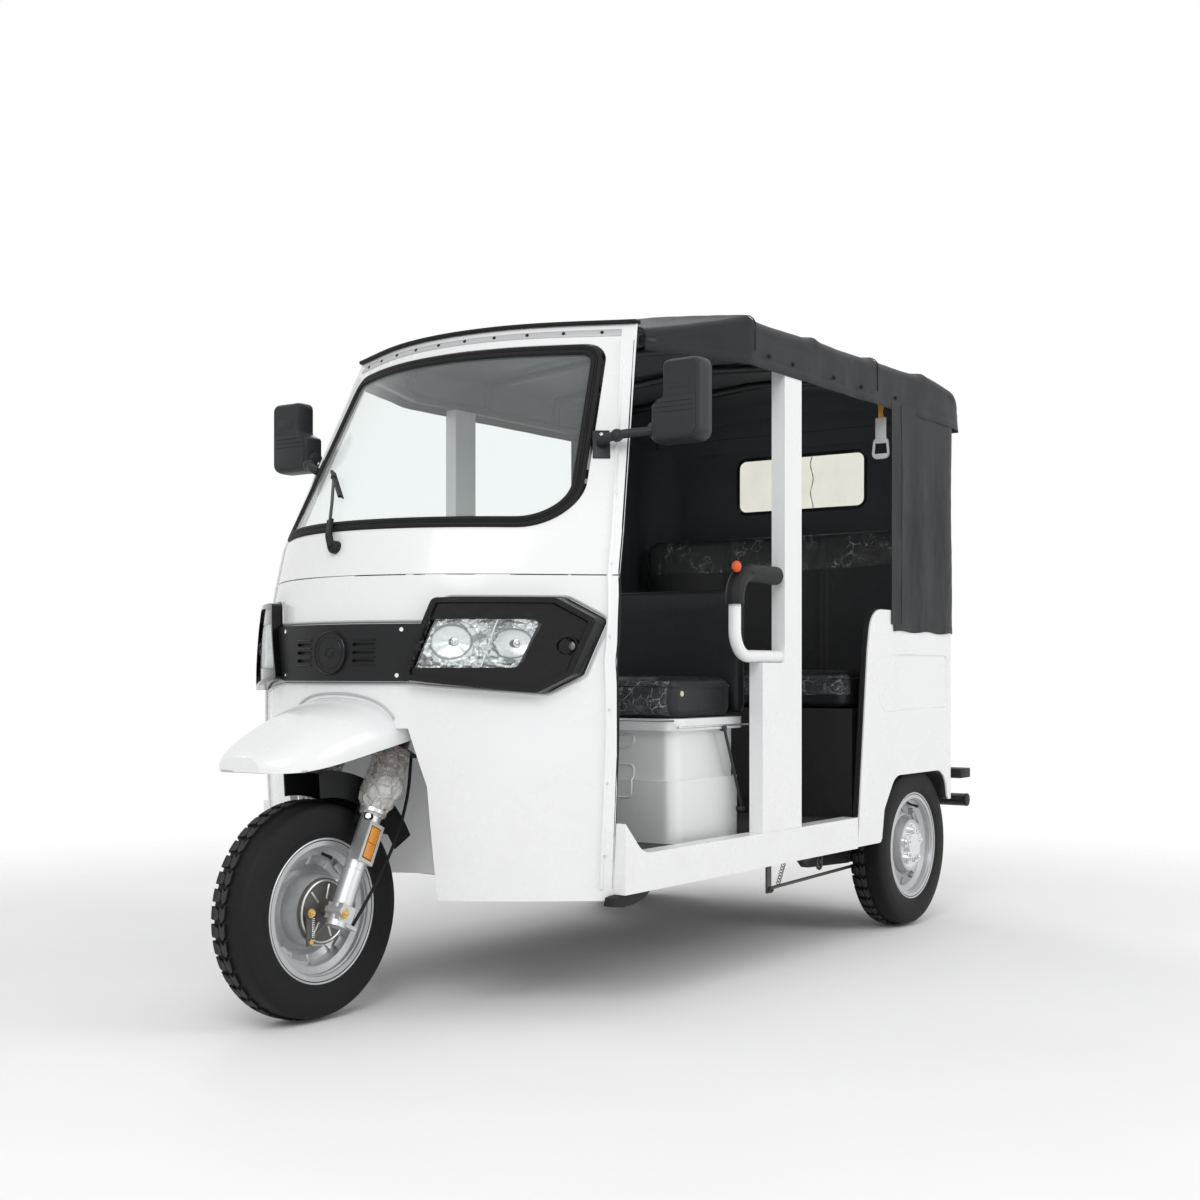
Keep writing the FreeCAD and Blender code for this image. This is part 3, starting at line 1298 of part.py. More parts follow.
def wiper():
    """The pivot's boss on the cowl, the arm that follows the glass, and the blade at its end."""
    pivot = screen_point(-d.wiper_x, d.wiper_z, ZERO)
    knee_z = d.wiper_z + d.wiper_rise * 0.4
    knee = screen_point(-d.wiper_x - d.wiper_lean * 0.35, knee_z, d.wiper_lift)
    start = screen_point(-d.wiper_x, d.wiper_z, d.wiper_lift)
    tip = screen_point(-d.wiper_x - d.wiper_lean, d.wiper_z + d.wiper_rise, d.wiper_lift)
    end = screen_point(-d.wiper_x - d.wiper_lean + d.blade_run, d.wiper_z + d.wiper_rise - d.blade_fall,
                       d.wiper_lift)
    root = pivot + vec(0, d.cab_wall / 2, 0)
    boss = Part.makeCylinder(
        float(d.wiper_boss), float(d.wiper_lift + d.cab_wall), root, Vector(0, -1, 0))
    arm = tube([start, knee, tip], d.wiper_arm, [d.wiper_boss])
    blade = Part.makeCylinder(float(d.blade_radius), (end - tip).Length, tip, end - tip)
    wall = cab_wall([NECK, BELT], d.seat_gap, -d.cab_wall * 2, ruled=True)
    return boss.fuse(arm).fuse(blade).cut(wall)


node("wiper", shaped("wiper", wiper()))


# Sills, floor, pillars and hand rails

def sill():
    """The sill's box with a toe that curves up the edge of the front panel."""
    front, rear = sill_front, d.tub_front - d.seat_gap
    points = [
        (front, d.sill_low), (rear, d.sill_low), (rear, d.sill_high),
        (front + d.sill_toe, d.sill_high), (front, d.sill_high + d.sill_toe),
    ]
    return prism_x(points, d.body_half - d.sill_width, d.body_half, [0, 0, 0, float(d.sill_toe), 0])


both("sills", shaped("sill", sill()))


def floor_plate():
    """The floor, following the cab's inside in front and leaving room for the wheel well."""
    half = d.body_half - d.sill_width - d.seat_gap
    share = float(d.floor_top - d.floor_thick - d.cab_z_foot) / float(d.cab_z_low - d.cab_z_foot)
    rim = plan_curve(level_between(FOOT, LOW, share), -d.cab_wall - d.seat_gap * 2)
    ends = [v.Point for v in rim.toShape().Vertexes]
    nose = Part.Face(Part.Wire([rim.toShape(), Part.LineSegment(ends[1], ends[0]).toShape()]))
    nose = nose.extrude(vec(0, 0, d.floor_thick))
    low = d.floor_top - d.floor_thick
    nose.translate(vec(0, 0, low - ends[0].z))
    between_sills = Part.makeBox(float(half * 2), float(d.bank_front), float(d.floor_top),
                                 vec(-half, along(ZERO), ZERO))
    nose = nose.common(between_sills)
    start = sill_front + d.panel_joint
    plate = Part.makeBox(float(half * 2), float(d.bank_front - start), float(d.floor_thick),
                         vec(-half, along(start), low)).fuse(nose)
    reach = d.arch_half + d.well_wall + d.seat_gap
    well = Part.makeCylinder(float(reach), float(d.well_top), well_centre())
    ahead = Part.makeBox(float(reach) * 2, float(d.tyre_radius * 2), float(d.well_top),
                         well_centre() - vec(reach, d.tyre_radius * 2, 0))
    hatch = Part.makeBox(
        float((d.engine_half + d.cab_wall) * 2), float(d.bench_rear - d.bench_front - d.cab_wall * 2),
        float(d.floor_top), vec(-d.engine_half - d.cab_wall, along(d.bench_front + d.cab_wall), d.rail_low))
    column = Part.makeCylinder(
        float(d.column_radius + d.panel_joint), float(d.floor_top), vec(0, along(d.column_y), ZERO))
    return plate.cut(well).cut(ahead).cut(hatch).cut(column)


node("floor", shaped("floor", floor_plate()))

post = block("pillar_post", d.body_half - d.pillar_width, d.pillar_front, d.sill_high + d.seat_gap,
             d.pillar_width, d.pillar_rear - d.pillar_front, d.pillar_top - d.sill_high - d.seat_gap)
skirt = block("pillar_skirt", d.body_half - d.pillar_width, d.skirt_front, d.sill_high + d.seat_gap,
              d.pillar_width, d.pillar_rear - d.skirt_front, d.skirt_top - d.sill_high - d.seat_gap)


def hand_rail():
    x = d.body_half - d.pillar_width / 2
    low = d.skirt_top + d.rail_radius + d.seat_gap
    inside = along(d.pillar_front) + d.rail_radius
    points = [
        vec(x, inside, d.rail_top), vec(x, along(d.rail_front), d.rail_top),
        vec(x, along(d.rail_front), low), vec(x, inside, low),
    ]
    return tube(points, d.rail_radius, [d.rail_bend, d.rail_bend])


def armrest():
    x = d.body_half - d.pillar_width / 2
    points = [
        vec(x, along(d.pillar_front) - d.rail_radius, d.rail_top), vec(x, along(d.rail_front), d.rail_top),
        vec(x, along(d.rail_front), d.rail_top - d.rail_bend - d.rail_radius),
    ]
    sleeve = tube(points, d.armrest_radius, [d.rail_bend])
    core = tube(points, d.rail_radius + d.seat_gap, [d.rail_bend])
    return sleeve.cut(core)


both("pillars", join("pillar", post, skirt, shaped("hand_rail", hand_rail())))
both("armrests", shaped("armrest", armrest()))


# Seats

bench_deep = d.bench_rear - d.bench_front
bench_low = d.floor_top + d.seat_gap
cushion_low = d.bench_top + d.trim_depth + d.seat_gap


def plan_block(half, front, deep, low, high, corner):
    """A block on the middle plane with its upright corners rounded."""
    h, f, r, z = float(half), float(along(front)), float(along(front + deep)), float(low)
    outline = rounded_wire(
        [Vector(-h, f, z), Vector(h, f, z), Vector(h, r, z), Vector(-h, r, z)], [corner] * 4)
    return Part.Face(outline).extrude(vec(0, 0, high - low))


def seat_box():
    """The driver's seat box: a hollow stepped housing with a bright rim under the cushion."""
    corner = d.bench_corner
    step, wall = d.bench_step, d.bench_wall
    lower = plan_block(bench_half, d.bench_front, bench_deep, bench_low, d.bench_step_z, corner)
    upper = plan_block(bench_half - step, d.bench_front + step, bench_deep - step * 2,
                       d.bench_step_z - wall, d.bench_top, corner)
    inside = plan_block(bench_half - step - wall, d.bench_front + step + wall, bench_deep - (step + wall) * 2,
                        bench_low - wall, d.bench_top - wall, corner - wall)
    rim = plan_block(bench_half + d.trim_proud, d.bench_front - d.trim_proud, bench_deep + d.trim_proud * 2,
                     d.bench_top - wall / 2, d.bench_top + d.trim_depth, corner + d.trim_proud)
    return lower.fuse(upper).cut(inside).fuse(rim)


def cushion(half, front, deep, low, high):
    """A soft block with every edge but the lower ones rounded."""
    pad = Part.makeBox(float(half * 2), float(deep), float(high - low), vec(-half, along(front), low))
    edges = [e for e in pad.Edges if e.BoundBox.ZMax > float(low) + float(d.seat_gap)]
    return pad.makeFillet(float(d.pad_round), edges)


node("driver_seat_box", shaped("driver_seat_box", seat_box()))
node("driver_cushion", shaped("driver_cushion", cushion(
    bench_half, d.bench_front - d.trim_proud / 2, bench_deep, cushion_low, cushion_low + d.cushion_depth)))
node("driver_backrest", shaped("driver_backrest", cushion(
    bench_half, d.bench_rear + d.seat_gap, d.driver_back_deep, cushion_low, d.driver_back_high)))


def tub_inside(low, high):
    """The space inside the tub's walls, for trimming what stands in its rounded corners."""
    gap = d.tub_wall + d.seat_gap
    return plan_block(d.body_half - gap, d.tub_front - d.tub_rear, d.tub_rear * 2 - d.tub_front - gap,
                      low, high, d.tub_corner - gap)


def bank_base():
    """The passenger seat's riser and deck, one bent sheet over the rear axle."""
    low, high, sheet_thick = d.floor_top + d.seat_gap, d.bank_top, d.tub_wall
    front, rear = d.bank_front + d.seat_gap, d.tub_rear - d.tub_wall - d.seat_gap
    points = [
        (front, low), (front + sheet_thick, low), (front + sheet_thick, high - sheet_thick),
        (rear, high - sheet_thick), (rear, high), (front, high),
    ]
    return prism_x(points, -bank_half, bank_half).common(tub_inside(low - sheet_thick, high + sheet_thick))


node("passenger_seat_base", shaped("passenger_seat_base", bank_base()))
node("passenger_cushion", shaped("passenger_cushion", cushion(
    bank_half, d.bank_front - d.trim_proud, d.bank_back_front - d.seat_gap - d.bank_front + d.trim_proud,
    d.bank_top + d.seat_gap, d.bank_top + d.bank_cushion)))
node("passenger_backrest", shaped("passenger_backrest", cushion(
    bank_half, d.bank_back_front, d.bank_back_deep, d.bank_top + d.seat_gap, d.bank_back_high)))


# Rear tub

def ring_wall(half, rear, corner, wall, front, low, high):
    """A wall that runs back along one side, round the rear and forward along the other."""
    def outline(shrink):
        h, r, c = float(half) - shrink, float(along(rear)) - shrink, float(corner) - shrink
        f, z = float(along(front)), float(low)
        return rounded_wire(
            [Vector(-h, f, z), Vector(-h, r, z), Vector(h, r, z), Vector(h, f, z)], [0, c, c, 0])
    outer = Part.Face(outline(0.0)).extrude(vec(0, 0, high - low))
    inner = Part.Face(outline(float(wall))).extrude(vec(0, 0, high - low))
    return outer.cut(inner)


def tub_side_outline():
    """The tub's side view: its front edge, its top and the wheel opening."""
    return [
        (d.tub_front, d.tub_low), (d.tub_shoulder, d.tub_shoulder_z),
        (d.tub_shoulder + d.tub_arch_corner / 3, d.tub_top), (d.tub_rear + d.tub_corner, d.tub_top),
        (d.tub_rear + d.tub_corner, d.tub_tail_low), (arch_rear, d.tub_tail_low),
        (arch_rear - d.tub_wall, d.tub_arch_top), (arch_front + d.tub_arch_corner, d.tub_arch_top),
        (arch_front, d.tub_tail_low), (arch_front - d.tub_wall, d.tub_low),
    ]


def tub_side_corners():
    c = float(d.tub_arch_corner)
    return [0, 0, c, 0, 0, c / 4, c, c, c / 4, c / 4]


def rear_tub():
    wall = ring_wall(d.body_half, d.tub_rear, d.tub_corner, d.tub_wall, d.tub_front, d.tub_low, d.tub_top)
    side = prism_x(tub_side_outline(), -d.body_half * 2, d.body_half * 2, tub_side_corners())
    return wall.common(side)


tub = rear_tub()
quarter_space = Part.makeBox(
    float(d.body_half), float(d.tub_rear), float(d.tub_top),
    vec(d.body_half - d.tub_corner, along(d.tub_front), d.tub_low))
tail_space = Part.makeBox(
    float((d.body_half - d.tub_corner - d.seat_gap) * 2), float(d.tub_rear), float(d.tub_top),
    vec(-d.body_half + d.tub_corner + d.seat_gap, along(d.tub_front), d.tub_low))
recess = prism_x(
    [(d.recess_front, d.recess_low), (d.recess_rear, d.recess_low),
     (d.recess_rear, d.recess_high), (d.recess_front, d.recess_high)],
    d.body_half - d.recess_deep, d.body_half * 2, [float(d.recess_corner)] * 4)
pair("rear_quarter", shaped("rear_quarter", tub.common(quarter_space).cut(recess)))
node("rear_panel", shaped("rear_panel", tub.common(tail_space)))


def wheel_liner():
    """A half drum over the rear tyre, with a wall on its inner side, inside the tub."""
    inner = d.tyre_radius + d.liner_gap
    x_in = d.track / 2 - d.tyre_width / 2 - d.liner_gap
    wide = d.body_half - d.tub_wall - x_in
    start = vec(x_in, along(d.wheel_base), d.tyre_radius)
    drum = Part.makeCylinder(float(inner + d.liner_wall), float(wide), start, Vector(1, 0, 0))
    hollow = Part.makeCylinder(
        float(inner), float(wide), start + vec(d.liner_wall, 0, 0), Vector(1, 0, 0))
    return drum.cut(hollow).common(tub_inside(d.tub_tail_low, d.bank_top - d.tub_wall - d.seat_gap))


both("wheel_liners", shaped("wheel_liner", wheel_liner()))


def tail_lights():
    """A lamp on the rear panel and a marker bar below it that reaches out to the body's side."""
    behind = along(d.tub_rear + d.seat_gap)
    lamp = Part.makeBox(
        float(d.tail_wide), float(d.tail_deep), float(d.tail_high),
        vec(d.body_half - d.tail_inset - d.tail_wide, behind, d.tail_z))
    marker = Part.makeBox(
        float(d.marker_wide), float(d.marker_deep), float(d.marker_high),
        vec(d.body_half - d.marker_wide, behind, d.marker_z))
    return Part.makeCompound([lamp, marker])


both("tail_lamps", shaped("tail_lights", tail_lights()))


# Canopy

def canopy_sections():
    """Places along the car with the half width, the shoulder's height and the crown's height there."""
    first, last = d.hoop_first, d.hoop_last
    step = (last - first) / 3
    rise = d.crown_z - d.shoulder_z
    places = [(
        d.canopy_front, d.cab_half_brow + d.header_over,
        d.cab_z_top - d.header_drop, d.cab_z_top + d.header_over,
    )]
    for i in range(4):
        lift = d.hoop_lift * HOOP_LIFT_SHARES[i]
        high = d.shoulder_z + lift
        places.append((first + step * i, canopy_half, high, high + rise))
        if i < 3:
            low = high - d.hoop_sag
            places.append((first + step * (i + 0.5), canopy_half - d.hoop_sag / 3, low, low + rise * 0.8))
    tail = d.shoulder_z - d.hoop_sag
    places.append((d.canopy_rear - d.tail_round, canopy_half, tail, tail + rise * 0.8))
    end = tail - d.tail_round
    places.append((d.canopy_rear, canopy_half - d.tail_round / 4, end, end + d.tail_round / 2))
    return places


HOOP_LIFT_SHARES = (0, 0.4, 0.5, 1)


def canopy_solid(shrink):
    wires = []
    for y, half, shoulder, crown in canopy_sections():
        at = float(along(y)) - (shrink if y.value == d.canopy_rear.value else 0)
        wide, low = float(half) - shrink, float(d.valance_low)
        high, top = float(shoulder) - shrink, float(crown) - shrink
        points = [
            Vector(-wide, at, low), Vector(wide, at, low), Vector(wide, at, high),
            Vector(0, at, top), Vector(-wide, at, high),
        ]
        bend = float(d.shoulder_bend) * min(1.0, (high - low) / (float(d.shoulder_bend) * 2.5))
        wires.append(rounded_wire(points, [0, 0, bend, float(d.crown_bend), bend]))
    return Part.makeLoft(wires, True, True)


def canopy_roof():
    outer = canopy_solid(0.0)
    inner = canopy_solid(float(d.cloth))
    below = Part.makeBox(
        float(canopy_half * 3), float(d.canopy_rear), float(d.hoop_lift),
        vec(-canopy_half * 1.5, along(ZERO), d.valance_low - d.hoop_lift / 2))
    # The hollow is open below, and open to the cab in front.
    mouth = inner.copy()
    mouth.translate(vec(0, -d.cloth * 2, 0))
    return outer.cut(inner).cut(mouth).cut(below)


node("canopy_roof", shaped("canopy_roof", canopy_roof()))


def cab_roof():
    """A thin cover on the header, from the cab's curved top edge back to the canopy."""
    rim = plan_curve(TOP, d.cloth)
    ends = [v.Point for v in rim.toShape().Vertexes]
    back = float(along(d.canopy_front)) - float(d.seat_gap)
    right, left = Vector(ends[1].x, back, ends[1].z), Vector(ends[0].x, back, ends[0].z)
    edges = [rim.toShape(), Part.LineSegment(ends[1], right).toShape(),
             Part.LineSegment(right, left).toShape(), Part.LineSegment(left, ends[0]).toShape()]
    plate = Part.Face(Part.Wire(edges)).extrude(vec(0, 0, d.cloth * 2))
    plate.translate(vec(0, 0, d.seat_gap))
    return plate


node("cab_roof", shaped("cab_roof", cab_roof()))

curtain_gap = float(d.cloth + d.seat_gap)
curtain_half = d.body_half + d.seat_gap + d.cloth
curtain_wall = ring_wall(curtain_half, d.tub_rear + d.seat_gap + d.cloth, d.tub_corner + d.cloth, d.cloth,
                         d.curtain_front, d.curtain_low, d.valance_low - d.seat_gap)
side_space = Part.makeBox(
    float(d.body_half), float(d.tub_rear), float(d.crown_z),
    vec(curtain_half - d.tub_corner, along(d.tub_front), d.curtain_low))
back_space = Part.makeBox(
    float((curtain_half - d.tub_corner - d.seat_gap) * 2), float(d.tub_rear), float(d.crown_z),
    vec(-curtain_half + d.tub_corner + d.seat_gap, along(d.tub_front), d.curtain_low))
window = prism_y(
    [(-d.window_half, d.window_low), (d.window_half, d.window_low),
     (d.window_half, d.window_high), (-d.window_half, d.window_high)],
    d.wheel_base, d.wheel_base * 2, [d.window_corner] * 4)
pair("side_curtain", shaped("side_curtain", curtain_wall.common(side_space)))
node("back_curtain", shaped("back_curtain", curtain_wall.common(back_space).cut(window)))


def rear_window():
    """The clear film in the back curtain."""
    half, low, high = d.window_half - d.seat_gap, d.window_low + d.seat_gap, d.window_high - d.seat_gap
    start = d.tub_rear + d.seat_gap + (d.cloth - d.film_thick) / 2
    return prism_y([(-half, low), (half, low), (half, high), (-half, high)],
                   start, start + d.film_thick, [float(d.window_corner - d.seat_gap)] * 4)


node("rear_window", shaped("rear_window", rear_window()))


frame_inset = d.cloth + d.hoop_radius + d.seat_gap * 3
rail_x = canopy_half - frame_inset - d.hoop_sag / 2
rail_z = d.pillar_top + d.hoop_radius + d.seat_gap


def hoop(y, shoulder, crown):
    """One tube bent over the car under the canopy's own section there."""
    inset_by = float(frame_inset)
    half = float(canopy_half) - inset_by
    low, high, top = float(d.valance_low), float(shoulder) - inset_by, float(crown) - inset_by
    at = float(along(y))
    points = [
        Vector(-half, at, low), Vector(-half, at, high), Vector(0, at, top),
        Vector(half, at, high), Vector(half, at, low),
    ]
    return tube(points, d.hoop_radius, [d.shoulder_bend * 1.2, d.crown_bend, d.shoulder_bend * 1.2])


def canopy_frame():
    """Four hoops on two rails that run back from the cab."""
    sections = canopy_sections()
    hoops = [hoop(y, shoulder, crown) for y, _, shoulder, crown in sections[1:8:2]]
    frame = hoops[0].multiFuse(hoops[1:])
    for side in (-1, 1):
        frame = frame.fuse(tube(
            [vec((d.cab_half_brow - frame_inset) * side, along(d.canopy_front + d.cab_wall), rail_z),
             vec(rail_x * side, along(d.hoop_first), rail_z),
             vec(rail_x * side, along(d.hoop_last), rail_z)],
            d.hoop_radius, [d.rail_bend]))
    return frame


node("canopy_frame", shaped("canopy_frame", canopy_frame()))


def hand_strap():
    """A strap under the top rail with a moulded grip at its end."""
    half = float(d.strap_wide) / 2
    high = rail_z - d.hoop_radius - d.seat_gap
    strap = Part.makeBox(
        float(d.strap_thick), half * 2, float(high - d.strap_low),
        vec(rail_x - d.strap_thick / 2, along(d.strap_y) - half, d.strap_low))
    wide, ring = d.grip_wide / 2, d.grip_loop
    loop = [(d.strap_y - wide, d.grip_low), (d.strap_y + wide, d.grip_low),
            (d.strap_y + d.strap_wide / 2, d.strap_low), (d.strap_y - d.strap_wide / 2, d.strap_low)]
    foot, top = d.grip_low + ring * 2, d.strap_low - ring
    narrow = half - ring * 0.7
    hole = [(d.strap_y - wide + ring, foot), (d.strap_y + wide - ring, foot),
            (d.strap_y + narrow, top), (d.strap_y - narrow, top)]
    low, high_x = rail_x - d.grip_thick / 2, rail_x + d.grip_thick / 2
    grip = prism_x(loop, low, high_x).cut(prism_x(hole, low - d.grip_thick, high_x + d.grip_thick))
    return strap.fuse(grip)


both("hand_straps", shaped("hand_strap", hand_strap()))


# Chassis, rear axle, springs and bumper

def chassis():
    rails = []
    front = d.door_y_mid + d.sill_width
    for side in (-1, 1):
        x = float(d.rail_half) * side - float(d.rail_width) / 2
        rails.append(Part.makeBox(
            float(d.rail_width), float(d.rail_rear - front), float(d.rail_high - d.rail_low),
            vec(x, along(front), d.rail_low)))
    wide = float(d.rail_half * 2)
    for y in (front, d.bench_front, d.bench_rear, d.bank_front + d.rail_width, d.rail_rear - d.rail_width):
        rails.append(Part.makeBox(
            wide, float(d.rail_width), float(d.rail_high - d.rail_low),
            vec(-d.rail_half, along(y), d.rail_low)))
    eye_z = d.tyre_radius + d.axle_tube_radius + d.seat_gap + d.eye_radius
    hanger_half = d.spring_half + d.leaf_width / 2 + d.leaf_thick
    for reach in (-d.leaf_front, d.leaf_rear):
        rails.append(Part.makeCylinder(
            float(d.hanger_radius), float(hanger_half * 2),
            vec(-hanger_half, along(d.wheel_base + reach), eye_z), Vector(1, 0, 0)))
    level = (d.column_z - d.tyre_radius + d.fork_offset * math.sin(rake)) / math.cos(rake)
    start = on_fork(0, level, d.fork_offset)
    column = tube(
        [start, vec(0, along(d.column_y), d.column_z),
         vec(0, along(d.column_y), d.rail_low + d.column_radius)],
        d.column_radius, [d.column_radius * 3])
    foot = Part.makeBox(
        float(d.rail_width * 2), float(d.rail_width * 2), float(d.rail_high - d.rail_low),
        vec(-d.rail_width, along(d.column_y - d.column_radius), d.rail_low))
    bore = fork_rod(0, 0, d.fork_length * 3, d.stem_radius + d.running_gap, d.fork_offset)
    frame = rails[0]
    for piece in rails[1:] + [foot, column.cut(bore), steering_head()]:
        frame = frame.fuse(piece)
    return frame


node("chassis", shaped("chassis", chassis()))
node("engine", block("engine", -d.engine_half, d.engine_front, d.engine_low, d.engine_half * 2,
                     d.engine_long, d.engine_high - d.engine_low))


def rear_axle_outline():
    """Half the axle's section: spindle, tube, and the differential's housing in the middle."""
    tube_end = d.track / 2 - d.hub_half - d.seat_gap
    plate = tube_end - d.plate_thick
    tip = d.track / 2 + d.hub_half - d.seat_gap * 2
    right = [
        (d.diff_radius * 0.3, d.diff_radius), (d.diff_radius * 0.7, d.diff_radius * 0.8),
        (d.diff_radius, d.axle_tube_radius), (plate, d.axle_tube_radius),
        (plate, d.hub_radius - d.rim_wall), (tube_end, d.hub_radius - d.rim_wall),
        (tube_end, d.axle_radius), (tip, d.axle_radius), (tip, ZERO),
    ]
    return [(-x, r) for x, r in reversed(right)] + right


axle = turned("rear_axle", rear_axle_outline())
place(axle, ZERO, d.wheel_base, d.tyre_radius)
node("rear_axle", axle)

shaft_start = vec(0, along(d.engine_front + d.engine_long + d.seat_gap), d.shaft_front_z)
shaft_end = vec(0, along(d.wheel_base - d.diff_radius - d.seat_gap), d.tyre_radius)
node("drive_shaft", shaped("drive_shaft", Part.makeCylinder(
    float(d.shaft_radius), (shaft_end - shaft_start).Length, shaft_start, shaft_end - shaft_start)))


def brake_linkage():
    """A cross shaft from the chassis rail, the lever that hangs from it and the rod to the rear brake."""
    x_in = d.rail_half + d.rail_width / 2 + d.seat_gap
    cross = Part.makeCylinder(
        float(d.hanger_radius), float(d.lever_x - x_in + d.lever_wide / 2),
        vec(x_in, along(d.lever_y), d.lever_axle_z), Vector(1, 0, 0))
    lever = Part.makeBox(
        float(d.lever_thick), float(d.lever_wide), float(d.lever_axle_z - d.lever_low),
        vec(d.lever_x - d.lever_thick / 2, along(d.lever_y) - float(d.lever_wide) / 2, d.lever_low))
    start = vec(d.lever_x, along(d.lever_y), d.lever_low + d.lever_wide / 2)
    end = vec(d.track / 2 - d.hub_half - d.plate_thick * 2, along(d.wheel_base - d.hub_radius * 0.7),
              d.tyre_radius - d.hub_radius * 0.6)
    rod_back = Part.makeCylinder(float(d.brake_rod), (end - start).Length, start, end - start)
    return cross.fuse(lever).fuse(rod_back)


both("brake_linkage", shaped("brake_linkage", brake_linkage()))


LEAF_SHARES = (1, 0.78, 0.56, 0.34)


def leaf_spring():
    x = float(d.spring_half) - float(d.leaf_width) / 2
    y, z = float(along(d.wheel_base)), float(d.tyre_radius)
    base = z + float(d.axle_tube_radius) + float(d.seat_gap)
    front, rear = float(d.leaf_front), float(d.leaf_rear)
    drop = float(d.leaf_thick)
    pack = Part.makeBox(float(d.leaf_width), front + rear, drop, Vector(x, y - front, base))
    for share in LEAF_SHARES[1:]:
        base_up = base + drop * LEAF_SHARES.index(share)
        pack = pack.fuse(Part.makeBox(
            float(d.leaf_width), (front + rear) * share, drop, Vector(x, y - front * share, base_up)))
    bores = []
    for eye_y in (y - front, y + rear):
        centre = Vector(x, eye_y, base + float(d.eye_radius))
        pack = pack.fuse(Part.makeCylinder(float(d.eye_radius), float(d.leaf_width), centre, Vector(1, 0, 0)))
        bores.append(Part.makeCylinder(
            float(d.hanger_radius + d.seat_gap), float(d.leaf_width), centre, Vector(1, 0, 0)))
    return pack.removeSplitter().cut(bores[0]).cut(bores[1])


both("leaf_springs", shaped("leaf_spring", leaf_spring()))


def bumper():
    """The bar, two stays from the chassis rails and a collar where each stay meets the bar."""
    y, z = float(along(d.bumper_y)), float(d.bumper_z)
    half = float(bumper_half)
    bar = Part.makeCylinder(float(d.bumper_radius), half * 2, Vector(-half, y, z), Vector(1, 0, 0))
    clear = Part.makeBox(
        half * 2, float(d.rail_rear), float(d.bumper_z * 2),
        vec(-bumper_half, along(d.seat_gap), ZERO))
    for side in (-1, 1):
        x = side * float(d.rail_half)
        foot = vec(x, along(d.rail_rear - d.bumper_stay), (d.rail_low + d.rail_high) / 2)
        reach = Vector(x, y, z) - foot
        stay = Part.makeCylinder(float(d.bumper_stay), reach.Length, foot, reach).cut(clear)
        collar = Part.makeCylinder(
            float(d.collar_radius), float(d.collar_half * 2), Vector(x - float(d.collar_half), y, z),
            Vector(1, 0, 0))
        bar = bar.fuse(stay).fuse(collar)
    return bar


node("rear_bumper", shaped("rear_bumper", bumper()))


# Check every object and write the files

doc.recompute()
problems = []
for thing in doc.Objects:
    if "Invalid" in thing.State or "Error" in thing.State:
        problems.append(f"{thing.Label}: {thing.State}")
for name, thing in nodes:
    shape = thing.Shape
    if shape.isNull() or not shape.isValid() or not shape.Solids:
        problems.append(f"{name}: not a valid solid")
if problems:
    raise SystemExit("; ".join(problems))

os.makedirs("parts", exist_ok=True)
for name, thing in nodes:
    thing.Shape.exportStep(f"parts/{name}.step")
print(f"{len(nodes)} sub-parts")
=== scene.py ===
import bpy
import bmesh
import json
import math
from contextlib import contextmanager
from mathutils import Matrix, Vector, noise


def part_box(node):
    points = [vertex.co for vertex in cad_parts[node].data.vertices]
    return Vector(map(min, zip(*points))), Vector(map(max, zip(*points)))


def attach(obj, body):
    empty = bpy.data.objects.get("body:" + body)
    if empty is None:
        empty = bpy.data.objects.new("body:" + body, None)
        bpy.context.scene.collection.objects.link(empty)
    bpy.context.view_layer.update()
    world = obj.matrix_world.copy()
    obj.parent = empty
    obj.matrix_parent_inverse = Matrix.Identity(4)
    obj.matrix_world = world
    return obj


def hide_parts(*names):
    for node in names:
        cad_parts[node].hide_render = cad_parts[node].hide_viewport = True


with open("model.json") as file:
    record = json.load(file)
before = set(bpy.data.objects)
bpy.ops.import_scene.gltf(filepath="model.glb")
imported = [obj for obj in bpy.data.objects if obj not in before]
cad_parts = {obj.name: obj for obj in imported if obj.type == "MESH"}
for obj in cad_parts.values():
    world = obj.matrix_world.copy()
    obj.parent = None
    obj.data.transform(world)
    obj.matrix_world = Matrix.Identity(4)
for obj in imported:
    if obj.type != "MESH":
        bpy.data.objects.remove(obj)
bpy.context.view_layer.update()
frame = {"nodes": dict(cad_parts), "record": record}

# Auto rickshaw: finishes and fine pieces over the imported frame.
# Metres, +Z up, the nose along -Y, the vehicle's left side is +X.


# Finishes: node materials written as expressions

class Value:
    """A node's output that takes part in sums; each sum adds its own Math node."""

    def __init__(self, look, socket):
        self.look = look
        self.socket = socket

    def _math(self, operation, other, swap=False):
        a, b = (other, self) if swap else (self, other)
        return self.look.add("Math", {"operation": operation}, {0: a, 1: b})

    def __abs__(self):
        return self.look.add("Math", {"operation": "ABSOLUTE"}, {0: self})

    def __add__(self, other):
        return self._math("ADD", other)

    def __radd__(self, other):
        return self._math("ADD", other, True)

    def __sub__(self, other):
        return self._math("SUBTRACT", other)

    def __rsub__(self, other):
        return self._math("SUBTRACT", other, True)

    def __mul__(self, other):
        return self._math("MULTIPLY", other)

    def __rmul__(self, other):
        return self._math("MULTIPLY", other, True)

    def __pow__(self, other):
        return self._math("POWER", other)

    def sine(self):
        return self.look.add("Math", {"operation": "SINE"}, {0: self})

    def over(self, edge):
        return self._math("GREATER_THAN", edge)

    def at_least(self, low):
        return self._math("MAXIMUM", low)

    def between(self, low, high):
        """Climbs smoothly from 0 at the low value to 1 at the high one."""
        return self.look.add(
            "MapRange", {"interpolation_type": "SMOOTHSTEP"},
            {"Value": self, "From Min": low, "From Max": high})


